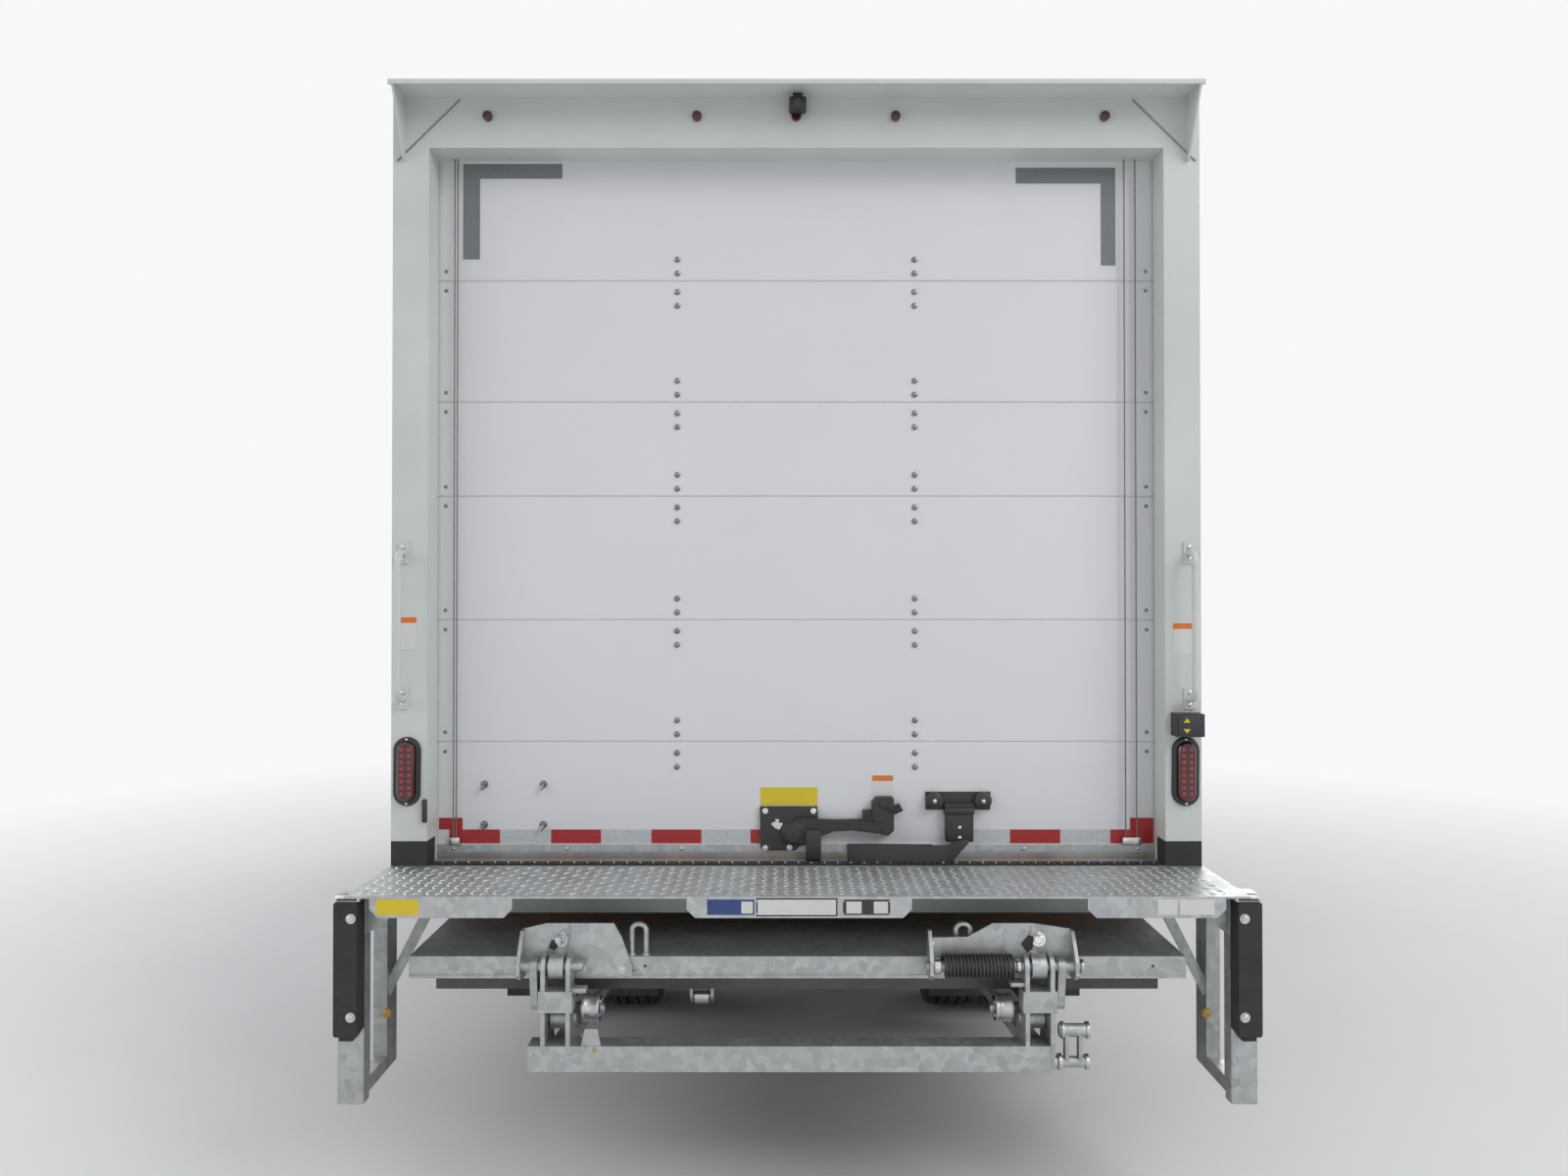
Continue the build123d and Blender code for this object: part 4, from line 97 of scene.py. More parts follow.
def circle(radius: float, count: int, start: float = 0.0) -> list[Pair]:
    """List evenly spaced places round a circle, from a starting angle."""
    angles = steps(start, math.tau / count, count)
    return [(radius * math.cos(angle), radius * math.sin(angle)) for angle in angles]


class Tree:
    """A node tree with short ways to add and join nodes."""

    def __init__(self, tree: bpy.types.NodeTree) -> None:
        """Empty the tree that it works on."""
        self.tree = tree
        self.tree.nodes.clear()

    def join(self, value: object, socket: Socket) -> None:
        """Link an output to a socket, or set a constant on it.

        Args:
            value: An output socket, a constant, or None to leave it.
            socket: The input that takes it.
        """
        if isinstance(value, Socket):
            self.tree.links.new(value, socket)
        elif value is not None:
            opaque = socket.type == "RGBA" and len(value) == 3
            socket.default_value = (*value, 1.0) if opaque else value

    def node(self, kind: str, inputs: dict[int | str, object], **settings: object) -> bpy.types.Node:
        """Add a node.

        Args:
            kind: Its type.
            inputs: What its inputs take, by their names or numbers.
            **settings: Its own settings.

        Returns:
            The node.
        """
        made = self.tree.nodes.new(f"ShaderNode{kind}")
        for name, value in settings.items():
            setattr(made, name, value)
        for key, value in inputs.items():
            self.join(value, made.inputs[key])
        return made

    def maths(self, operation: str, *values: object) -> Socket:
        """Work out a value from others."""
        return self.node("Math", dict(enumerate(values)), operation=operation).outputs[0]

    def seen(self) -> Socket:
        """Tell sight, shine and glass from the rays that carry light.

        Returns:
            One for the rays that meet the backdrop.
        """
        rays = self.node("LightPath", {}).outputs
        shine = self.maths("MAXIMUM", rays["Is Glossy Ray"], rays["Is Transmission Ray"])
        return self.maths("MAXIMUM", rays["Is Camera Ray"], shine)


class Graph(Tree):
    """A material's nodes, round one principled shader."""

    def __init__(self, name: str) -> None:
        """Start the material.

        Args:
            name: Its name.
        """
        self.material = bpy.data.materials.new(name)
        self.material.use_nodes = True
        super().__init__(self.material.node_tree)
        self.shader = self.node("BsdfPrincipled", {})
        self.node("OutputMaterial", {"Surface": self.shader.outputs[0]})
        self.place = self.node("TexCoord", {}).outputs["Object"]

    def set(self, **values: object) -> None:
        """Give the shader its inputs, with underscores for spaces."""
        for name, value in values.items():
            self.join(value, self.shader.inputs[name.replace("_", " ")])

    def noise(self, scale: float, detail: float = 3.0, vector: object = None) -> Socket:
        """Add a noise texture, with its scale in cells a metre."""
        inputs = {"Scale": scale, "Detail": detail, "Roughness": 0.62, "Vector": vector or self.place}
        return self.node("TexNoise", inputs).outputs["Fac"]

    def cells(self, scale: float, output: str = "Distance", feature: str = "F1") -> Socket:
        """Add a Voronoi texture, with its scale in cells a metre."""
        inputs = {"Scale": scale, "Vector": self.place}
        return self.node("TexVoronoi", inputs, feature=feature).outputs[output]

    def span(self, value: object, low: float, high: float, start: float = 0.0, end: float = 1.0) -> Socket:
        """Map a value from one range to another, held at its ends."""
        return self.node("MapRange", dict(enumerate((value, low, high, start, end)))).outputs[0]

    def mix(self, share: object, first: object, second: object) -> Socket:
        """Mix two colours by the second's share."""
        return self.node("Mix", {0: share, 6: first, 7: second}, data_type="RGBA").outputs[2]

    def parts(self) -> tuple[Socket, ...]:
        """Split the object's coordinates into X, Y and Z."""
        return tuple(self.node("SeparateXYZ", {0: self.place}).outputs)

    def relief(self, height: object, strength: float, depth: float, normal: object = None) -> Socket:
        """Bump the surface by a depth in metres, over another normal if there is one."""
        inputs = {"Height": height, "Strength": strength, "Distance": depth, "Normal": normal}
        return self.node("Bump", inputs).outputs[0]


@dataclass(frozen=True)
class Finish:
    """A painted, moulded or plain surface with mottling, grain and road dust."""

    name: str
    colour: Colour
    shade: Colour
    roughness: float = 0.5
    spread: float = 0.12
    metallic: float = 0.0
    slot: str = ""
    blotch: float = 2.5
    grain: float = 90.0
    bump: float = 0.08
    depth: float = 0.001
    dust: float = 0.0
    dust_top: float = 1.1
    edge: float = 0.0
    coat: float = 0.0
    dust_foot: ClassVar[float] = 0.25
    dust_colour: ClassVar[Colour] = (0.20, 0.175, 0.14)
    made: ClassVar[dict[str, bpy.types.Material]] = {}

    def base(self, graph: Graph) -> Socket:
        """Mottle the surface's own colour."""
        broad = graph.span(graph.noise(self.blotch, 5.0), 0.32, 0.68)
        return graph.mix(broad, self.colour, self.shade)

    def height(self, graph: Graph) -> Socket:
        """Make the fine grain."""
        return graph.noise(self.grain, 4.0)

    def extra(self, graph: Graph) -> None:
        """Add what a kind of finish has of its own."""

    def material(self) -> bpy.types.Material:
        """Make the finish's material once.

        Returns:
            The material.
        """
        if self.name in self.made:
            return self.made[self.name]
        graph = Graph(self.name)
        colour = self.base(graph)
        half = self.spread / 2
        ends = (self.roughness - half, self.roughness + half)
        rough = graph.span(graph.noise(self.blotch * 7, 4.0), 0.3, 0.7, *ends)
        if self.dust:
            low = graph.span(graph.parts()[2], self.dust_top, self.dust_foot)
            speck = graph.span(graph.noise(14.0, 6.0), 0.35, 0.75)
            amount = graph.maths("MULTIPLY", graph.maths("MULTIPLY", low, speck), self.dust)
            colour = graph.mix(amount, colour, self.dust_colour)
            rough = graph.maths("MAXIMUM", rough, graph.maths("MULTIPLY", amount, 0.9))
        normal = graph.node("Bevel", {"Radius": self.edge}, samples=4).outputs[0] if self.edge else None
        graph.set(Base_Color=colour, Roughness=rough, Metallic=self.metallic, Coat_Weight=self.coat,
                  Coat_Roughness=0.08, Normal=graph.relief(self.height(graph), self.bump, self.depth, normal))
        self.extra(graph)
        self.made[self.name] = graph.material
        return graph.material

    def cover(self, nodes: Iterable[str]) -> None:
        """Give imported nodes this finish.

        Args:
            nodes: The nodes' names.
        """
        for node in nodes:
            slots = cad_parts[node].data.materials
            slots.clear()
            slots.append(self.material())


@dataclass(frozen=True)
class Galvanised(Finish):
    """Hot-dip zinc: crystals of several greys with a dull bloom."""

    crystal: float = 46.0

    def base(self, graph: Graph) -> Socket:
        """Make the zinc's crystals and bloom.

        Args:
            graph: The material's nodes.

        Returns:
            The colour.
        """
        grey = graph.span(graph.cells(self.crystal, "Color"), 0.0, 1.0)
        crystals = graph.mix(grey, self.colour, self.shade)
        bloom = graph.span(graph.noise(5.0, 6.0), 0.42, 0.7)
        return graph.mix(graph.maths("MULTIPLY", bloom, 0.55), crystals, (0.47, 0.48, 0.47))


@dataclass(frozen=True)
class Lens(Finish):
    """A moulded lamp lens with prisms behind its face."""

    clear: float = 0.45
    prisms: float = 190.0
    glow: float = 0.0

    def height(self, graph: Graph) -> Socket:
        """Make the prisms."""
        return graph.cells(self.prisms)

    def extra(self, graph: Graph) -> None:
        """Let light in and add a faint glow."""
        graph.set(Transmission_Weight=self.clear, IOR=1.49, Emission_Color=self.colour, Emission_Strength=self.glow)


@dataclass(frozen=True)
class Tape(Finish):
    """Reflective tape with its fine diamond cells."""

    cell: float = 220.0

    def base(self, graph: Graph) -> Socket:
        """Draw the cells' edges."""
        edges = graph.span(graph.cells(self.cell, "Distance", "DISTANCE_TO_EDGE"), 0.02, 0.12)
        return graph.mix(edges, self.shade, self.colour)


@dataclass(frozen=True)
class Planks(Finish):
    """Hardwood boards along the truck."""

    board: float = 0.14
    stretch: tuple[float, float, float] = (14.0, 0.6, 14.0)

    def base(self, graph: Graph) -> Socket:
        """Make the boards' grain and joints.

        Args:
            graph: The material's nodes.

        Returns:
            The colour.
        """
        along = graph.node("Mapping", {"Vector": graph.place, "Scale": self.stretch}).outputs[0]
        wood = graph.mix(graph.span(graph.noise(9.0, 8.0, along), 0.3, 0.7), self.colour, self.shade)
        across = graph.maths("PINGPONG", graph.parts()[0], self.board / 2)
        return graph.mix(graph.span(across, 0.0, 0.002, 0.8, 0.0), wood, (0.03, 0.02, 0.012))


@dataclass(frozen=True)
class Woven(Finish):
    """Cloth or webbing with a weave."""

    weave: float = 700.0

    def thread(self, graph: Graph, first: Socket, second: Socket) -> Socket:
        """Make one way of the weave's threads."""
        return graph.maths("SINE", graph.maths("MULTIPLY", graph.maths("ADD", first, second), self.weave))

    def height(self, graph: Graph) -> Socket:
        """Cross the two ways of threads."""
        x, y, z = graph.parts()
        return graph.maths("MULTIPLY", self.thread(graph, x, y), self.thread(graph, z, y))


BODY_WHITE = Finish("body_white", (0.74, 0.75, 0.75), (0.70, 0.71, 0.71), 0.34, 0.1, bump=0.04, dust=0.35)
FRAME_WHITE = Finish("painted_white", (0.66, 0.69, 0.66), (0.60, 0.63, 0.60), 0.38, bump=0.1, dust=0.25, edge=0.003)
DOOR_WHITE = Finish("door_white", (0.76, 0.76, 0.77), (0.73, 0.73, 0.74), 0.42, 0.1, blotch=1.2, bump=0.06,
                    dust=0.12)
CAB_WHITE = Finish("cab_paint", (0.78, 0.79, 0.79), (0.75, 0.76, 0.76), 0.22, 0.08, bump=0.02, dust=0.4,
                   dust_top=0.9, edge=0.006, coat=0.6)
WHEEL_WHITE = Finish("wheel_white", (0.70, 0.71, 0.71), (0.62, 0.62, 0.61), 0.38, bump=0.05, dust=0.55,
                     dust_top=0.9, edge=0.003)
ZINC = Galvanised("galvanised", (0.34, 0.355, 0.36), (0.52, 0.54, 0.545), 0.46, 0.18, 0.75, bump=0.12, dust=0.3,
                  edge=0.002)
# Lighter zinc for the tread ridges and tube ends: partly their wear, partly a painted highlight.
WORN_LIT_TREAD = Galvanised("worn_highlit_galvanised", (0.50, 0.52, 0.53), (0.66, 0.68, 0.69), 0.34, 0.14, 0.8, "galvanised")
ALUMINIUM = Finish("aluminium", (0.55, 0.56, 0.57), (0.42, 0.43, 0.44), 0.36, 0.14, 0.9, grain=160.0, dust=0.25,
                   edge=0.002)
# Aluminium darkened to near black: painted shade of the flip-over, which lies in shadow under the platform.
SHADE_DARK_ALUMINIUM = Finish("shade_dark_aluminium", (0.13, 0.13, 0.13), (0.08, 0.08, 0.082), 0.55, 0.16, 0.6, "aluminium",
                        grain=160.0)
CHASSIS = Finish("chassis_black", (0.018, 0.018, 0.019), (0.032, 0.031, 0.030), 0.52, 0.2, bump=0.2, dust=0.55,
                 edge=0.002)
BUMPER = Finish("bumper_black", (0.022, 0.022, 0.023), (0.032, 0.032, 0.032), 0.40, 0.1, 0.0, "chassis_black", 2.0,
                bump=0.05)
CAST = Finish("cast_iron", (0.045, 0.040, 0.037), (0.085, 0.062, 0.048), 0.72, 0.16, 0.35, blotch=9.0, bump=0.35,
              dust=0.5)
RUBBER = Finish("rubber", (0.016, 0.016, 0.017), (0.024, 0.024, 0.024), 0.70, 0.16, bump=0.3, dust=0.16, edge=0.004)
BRIGHT = Finish("bright_steel", (0.62, 0.62, 0.61), (0.48, 0.48, 0.47), 0.26, 0.14, 1.0, grain=260.0, bump=0.05)
# Darker steel for the door's hinge bolts and fixings: partly their own tone, partly painted shade.
SHADED_BOLT_STEEL = Finish("shaded_bolt_steel", (0.26, 0.26, 0.27), (0.16, 0.16, 0.165), 0.34, 0.12, 0.9, "bright_steel", 40.0)
CABLE = Finish("cable_steel", (0.20, 0.20, 0.205), (0.14, 0.14, 0.145), 0.62, 0.1, 0.3, "bright_steel", 60.0)
RUST = Finish("rusted_steel", (0.20, 0.12, 0.07), (0.34, 0.27, 0.20), 0.62, 0.2, 0.5, "bright_steel", 40.0,
              bump=0.3)
BRASS = Finish("brass", (0.60, 0.44, 0.16), (0.45, 0.33, 0.12), 0.34, 0.12, 0.9, "bright_steel", 30.0)
SILL = Finish("worn_sill", (0.33, 0.31, 0.28), (0.22, 0.205, 0.18), 0.62, 0.12, 0.0, "painted_white", 6.0, bump=0.1)
DECK = Planks("deck", (0.30, 0.17, 0.085), (0.19, 0.10, 0.05), 0.55, 0.1, bump=0.15)
GLASS = Lens("glass", (0.80, 0.86, 0.84), (0.78, 0.84, 0.82), 0.03, 0.02, bump=0.0, clear=0.92, prisms=4.0)
MIRROR = Finish("mirror_glass", (0.70, 0.72, 0.74), (0.66, 0.68, 0.70), 0.05, 0.03, 1.0, "glass", bump=0.005)
RED_LENS = Lens("red_lens", (0.50, 0.008, 0.010), (0.36, 0.004, 0.006), 0.14, 0.06, bump=0.35, glow=0.06, coat=0.7)
DARK_LENS = Lens("dark_lens", (0.075, 0.002, 0.003), (0.04, 0.001, 0.002), 0.16, 0.06, 0.0, "red_lens", bump=0.35,
                 clear=0.1, coat=0.5)
CLEAR_LENS = Lens("clear_lens", (0.82, 0.84, 0.85), (0.74, 0.76, 0.78), 0.09, 0.04, bump=0.3, clear=0.7,
                  prisms=90.0)
AMBER_LENS = Lens("amber_lens", (0.80, 0.22, 0.012), (0.66, 0.15, 0.008), 0.12, 0.05, 0.0, "clear_lens", bump=0.35,
                  glow=0.05)
PLASTIC = Finish("black_plastic", (0.021, 0.021, 0.022), (0.030, 0.030, 0.031), 0.48, 0.14, grain=420.0, bump=0.22,
                 dust=0.2)
INTERIOR = Finish("interior", (0.085, 0.088, 0.092), (0.105, 0.108, 0.112), 0.62, 0.1, grain=520.0, bump=0.28)
SEAT_CLOTH = Woven("seat_fabric", (0.055, 0.060, 0.070), (0.085, 0.090, 0.10), 0.86, 0.1, bump=0.4, depth=0.0006)
WEBBING = Woven("webbing", (0.040, 0.037, 0.043), (0.065, 0.060, 0.067), 0.8, 0.1, bump=0.5, depth=0.0005,
                weave=1500.0)
GREY_TAPE = Tape("grey_tape", (0.20, 0.22, 0.225), (0.13, 0.145, 0.15), 0.35, 0.1, slot="door_white")
WHITE_TAPE = Tape("white_tape", (0.62, 0.65, 0.66), (0.36, 0.39, 0.41), 0.3, 0.1, slot="door_white")
RED_TAPE = Tape("red_tape", (0.46, 0.014, 0.018), (0.27, 0.008, 0.010), 0.3, 0.1, slot="red_lens")
YELLOW = Finish("yellow_label", (0.78, 0.60, 0.02), (0.70, 0.53, 0.02), 0.4, 0.1, slot="painted_white", bump=0.02)
ORANGE = Finish("orange_label", (0.75, 0.20, 0.03), (0.68, 0.17, 0.03), 0.4, 0.1, slot="painted_white", bump=0.02)
PAPER = Finish("white_label", (0.72, 0.72, 0.70), (0.66, 0.66, 0.64), 0.45, 0.1, slot="painted_white", bump=0.02)
BLUE = Finish("blue_label", (0.03, 0.06, 0.22), (0.025, 0.05, 0.18), 0.4, 0.1, slot="painted_white", bump=0.02)


class Form:
    """A mesh in the making, in metres from its own start in the truck's frame."""

    def __init__(self, start: Point = (0.0, 0.0, 0.0)) -> None:
        """Start with no faces.

        Args:
            start: The place that its measures count from.
        """
        self.mesh = bmesh.new()
        self.start = Vector(start)

    def box(self, low: Point, high: Point, bevel: float = 0.0, segments: int = 2) -> "Form":
        """Add a box, with round edges if asked.

        Args:
            low: Its lowest corner.
            high: Its highest corner.
            bevel: Its edges' radius.
            segments: Facets in each edge's round.

        Returns:
            The form.
        """
        made = bmesh.ops.create_cube(self.mesh, size=1.0)["verts"]
        for vert in made:
            vert.co = Vector([low[i] + (vert.co[i] + 0.5) * (high[i] - low[i]) for i in range(3)])
        if bevel:
            edges = list({edge for vert in made for edge in vert.link_edges})
            bmesh.ops.bevel(self.mesh, geom=edges, offset=bevel, segments=segments, profile=0.5, affect="EDGES",
                            clamp_overlap=True)
        return self

    def patch(self, x0: float, x1: float, z0: float, z1: float, thick: float = 0.0012) -> "Form":
        """Stick a thin blank patch on the rearward face that the form starts from."""
        return self.box((x0, -thick, z0), (x1, 0.0, z1))

    def loft(self, rings: Iterable[Sequence[Vector]], closed: bool = False) -> "Form":
        """Join rings of points into a skin.

        Args:
            rings: Rings with as many points each.
            closed: Whether the last ring joins the first, in place of a cap on each.

        Returns:
            The form.
        """
        rows = [[self.mesh.verts.new(point) for point in ring] for ring in rings]
        count = len(rows[0])
        for low, high in zip(rows, rows[1:] + rows[:1] if closed else rows[1:]):
            for index in range(count):
                after = (index + 1) % count
                self.mesh.faces.new((low[index], low[after], high[after], high[index]))
        if not closed:
            self.mesh.faces.new(list(reversed(rows[0])))
            self.mesh.faces.new(rows[-1])
        return self

    def turned(self, centres: Iterable[Point], direction: Point, profile: Sequence[Pair],
               sides: int = 16) -> "Form":
        """Turn a profile about lines that run one way.

        Args:
            centres: Where each line starts.
            direction: The lines' direction.
            profile: Pairs of distance along the line and radius.
            sides: Facets round it.

        Returns:
            The form.
        """
        along = Vector(direction).normalized()
        side = along.orthogonal().normalized()
        other = along.cross(side)
        for centre in centres:
            self.loft([Vector(centre) + along * distance + side * a + other * b for a, b in circle(radius, sides)]
                      for distance, radius in profile)
        return self

    def bar(self, start: Point, end: Point, radius: float, sides: int = 12) -> "Form":
        """Add a round bar between two points."""
        line = Vector(end) - Vector(start)
        return self.turned([start], line, ((0.0, radius), (line.length, radius)), sides)

    def tube(self, path: Iterable[Point], radius: float, sides: int = 8) -> "Form":
        """Sweep a round section along a path.

        Args:
            path: Its points.
            radius: Its radius.
            sides: Facets round it.

        Returns:
            The form.
        """
        points = [Vector(point) for point in path]
        rings = []
        side = (points[1] - points[0]).orthogonal().normalized()
        for before, point, after in zip(points[:1] + points, points, points[1:] + points[-1:]):
            along = (after - before).normalized()
            side = (side - along * side.dot(along)).normalized()
            other = along.cross(side)
            rings.append([point + side * a + other * b for a, b in circle(radius, sides)])
        return self.loft(rings)

    def slab(self, outline: Iterable[Pair], low: float, high: float) -> "Form":
        """Push an outline of X and Z from one Y to another."""
        return self.loft([[Vector((x, y, z)) for x, z in outline] for y in (low, high)])

    def domes(self, centres: Iterable[Point], direction: Point, radius: float, height: float,
              sides: int = 10) -> "Form":
        """Add the round heads of rivets or carriage bolts."""
        profile = ((0.0, radius), (height * 0.6, radius * 0.86), (height, radius * 0.4))
        return self.turned(centres, direction, profile, sides)

    def bolts(self, centres: Iterable[Point], direction: Point, radius: float) -> "Form":
        """Add hexagon heads on washers.

        Args:
            centres: Their places on the face.
            direction: Out of the face.
            radius: Each head's radius.

        Returns:
            The form.
        """
        heads = list(centres)
        washer = radius * 0.18
        self.turned(heads, direction, ((0.0, radius * 1.5), (washer, radius * 1.5)), 16)
        head = ((washer, radius), (radius * 0.75, radius), (radius * 0.85, radius * 0.86))
        return self.turned(heads, direction, head, 6)

    def mirrored(self) -> "Form":
        """Add a mirror image on the truck's other side.

        Returns:
            The form.
        """
        whole = self.mesh.verts[:] + self.mesh.edges[:] + self.mesh.faces[:]
        copied = bmesh.ops.duplicate(self.mesh, geom=whole)["geom"]
        for item in copied:
            if isinstance(item, bmesh.types.BMVert):
                item.co.x = -item.co.x - 2 * self.start.x
        bmesh.ops.reverse_faces(self.mesh, faces=[item for item in copied if isinstance(item, bmesh.types.BMFace)])
        return self

    def place(self, name: str, finish: Finish, body: Body = Body.CHASSIS, smooth: float = 38.0) -> bpy.types.Object:
        """Make the object and let it ride on its body.

        Args:
            name: The piece's name.
            finish: Its finish.
            body: The body that it rides on.
            smooth: Edges sharper than this stay sharp, in degrees.

        Returns:
            The object.
        """
        bmesh.ops.translate(self.mesh, verts=self.mesh.verts[:], vec=self.start)
        bmesh.ops.recalc_face_normals(self.mesh, faces=self.mesh.faces[:])
        for face in self.mesh.faces:
            face.smooth = True
        for edge in self.mesh.edges:
            edge.smooth = edge.calc_face_angle(0.0) < math.radians(smooth)
        data = bpy.data.meshes.new(name)
        self.mesh.to_mesh(data)
        self.mesh.free()
        data.materials.append(finish.material())
        made = bpy.data.objects.new(name, data)
        bpy.context.scene.collection.objects.link(made)
        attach(made, body.value)
        return made


@dataclass
class PackedFinishes:
    """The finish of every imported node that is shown."""

    table: tuple[tuple[Finish, str], ...] = (
        (BODY_WHITE, "box_side_walls box_front_wall box_roof"),
        (FRAME_WHITE, "rear_frame grab_handles"),
        (DOOR_WHITE, "rollup_door"),
        (CAB_WHITE, "cab_shell cab_door_left cab_door_right"),
        (ZINC, "extension_plate step_frames lift_frame lift_arms lift_links shackles lift_platform"),
        # The flip-over's near-black aluminium is painted shade.
        (SHADE_DARK_ALUMINIUM, "lift_flipover"),
        (CHASSIS, "frame_rails leaf_springs battery_box driveshaft lift_cylinder gate_spring tie_rod"),
        (BUMPER, "front_bumper"),
        (CAST, "front_axle rear_axle knuckle_left knuckle_right engine exhaust"),
        (ALUMINIUM, "fuel_tank rub_rails"),
        (BRIGHT, "lift_rod"),
        (WHEEL_WHITE, "wheel_front_left wheel_front_right wheels_rear_left wheels_rear_right"),
        (RUBBER, "tyre_front_left tyre_front_right tyres_rear_left tyres_rear_right dock_bumpers mudflaps"),
        (DECK, "box_floor"),
        (GLASS, "cab_glass door_glass_left door_glass_right"),
        (RED_LENS, "tail_lamps"),
        (DARK_LENS, "marker_lamps"),
        (CLEAR_LENS, "headlamps"),
        (PLASTIC, "door_hardware lift_switch grille cab_mirrors steering_wheel cab_fenders"),
        (INTERIOR, "dashboard"),
        (SEAT_CLOTH, "cab_seats"),
        (WEBBING, "pull_strap"),
    )

    def apply(self) -> None:
        """Cover each node."""
        for finish, nodes in self.table:
            finish.cover(nodes.split())


@dataclass
class Studio:
    """The camera of the photograph, a pale floor and soft lights."""

    eye: Point = (-0.037, -6.77, 1.80)
    lens: float = 27.05
    pitch: float = 90.57
    soft: Colour = (0.86, 0.90, 0.96)
    ambient: float = 0.42
    backdrop: Colour = (0.93, 0.94, 0.95)
    reach: float = 60.0
    floor_fade: Pair = (2.8, 8.0)
    lamps: tuple[tuple[str, Point, Point, float, float], ...] = (
        ("key", (7.0, -9.0, 8.0), (0.0, -3.0, 1.4), 6.0, 490.0),
        ("fill", (-9.0, -7.0, 5.5), (0.0, -2.0, 1.2), 6.0, 220.0),
        ("low", (0.0, -9.5, 0.9), (0.0, -3.2, 0.7), 3.5, 18.0),
        ("front", (5.0, 11.0, 7.0), (0.0, 2.0, 1.4), 6.0, 430.0),
        ("side", (-9.0, 6.0, 6.0), (0.0, 1.0, 1.2), 6.0, 240.0),
        ("top", (0.0, 0.0, 10.0), (0.0, 0.0, 0.0), 8.0, 120.0),
    )

    def build(self) -> None:
        """Set up the view, the lights, the floor and the world."""
        scene = bpy.context.scene
        camera = bpy.data.cameras.new("camera")
        camera.lens = self.lens
        camera.sensor_width = 36.0
        camera.clip_end = 200.0
        eye = bpy.data.objects.new("camera", camera)
        eye.location = self.eye
        eye.rotation_euler = (math.radians(self.pitch), 0.0, 0.0)
        scene.collection.objects.link(eye)
        scene.camera = eye
        scene.view_settings.view_transform = "Standard"
        for name, place, aim, size, power in self.lamps:
            light = bpy.data.lights.new(name, "AREA")
            light.size = size
            light.energy = power
            lamp = bpy.data.objects.new(name, light)
            lamp.location = place
            lamp.rotation_euler = (Vector(aim) - Vector(place)).to_track_quat("-Z", "Y").to_euler()
            scene.collection.objects.link(lamp)
        self.floor()
        self.world()

    def floor(self) -> None:
        """Lay a wide pale floor that fades into the backdrop."""
        data = bpy.data.meshes.new("floor")
        corners = ((-1, -1), (1, -1), (1, 1), (-1, 1))
        data.from_pydata([(x * self.reach, y * self.reach, 0.0) for x, y in corners], [], [(0, 1, 2, 3)])
        graph = Graph("floor")
        tone = graph.mix(graph.span(graph.noise(0.6, 4.0), 0.3, 0.7), (0.80, 0.80, 0.80), (0.76, 0.76, 0.76))
        x, y, _ = graph.parts()
        away = graph.maths("SQRT", graph.maths("ADD", graph.maths("MULTIPLY", x, x), graph.maths("MULTIPLY", y, y)))
        far = graph.maths("MULTIPLY", graph.span(away, *self.floor_fade), graph.seen())
        graph.set(Base_Color=graph.mix(far, tone, (0.0, 0.0, 0.0)), Roughness=0.85, Emission_Color=self.backdrop,
                  Emission_Strength=far, Specular_IOR_Level=graph.span(far, 0.0, 1.0, 0.3, 0.0),
                  Normal=graph.relief(graph.noise(60.0), 0.05, 0.002))
        data.materials.append(graph.material)
        made = bpy.data.objects.new("floor", data)
        bpy.context.scene.collection.objects.link(made)

    def world(self) -> None:
        """Light everything softly, with a white backdrop that only sight, shine and glass reach."""
        world = bpy.data.worlds.new("studio")
        bpy.context.scene.world = world
        world.use_nodes = True
        tree = Tree(world.node_tree)
        soft = tree.node("Background", {0: self.soft, 1: self.ambient})
        white = tree.node("Background", {0: self.backdrop, 1: 1.0})
        mix = tree.node("MixShader", {0: tree.seen(), 1: soft.outputs[0], 2: white.outputs[0]})
        tree.node("OutputWorld", {0: mix.outputs[0]})


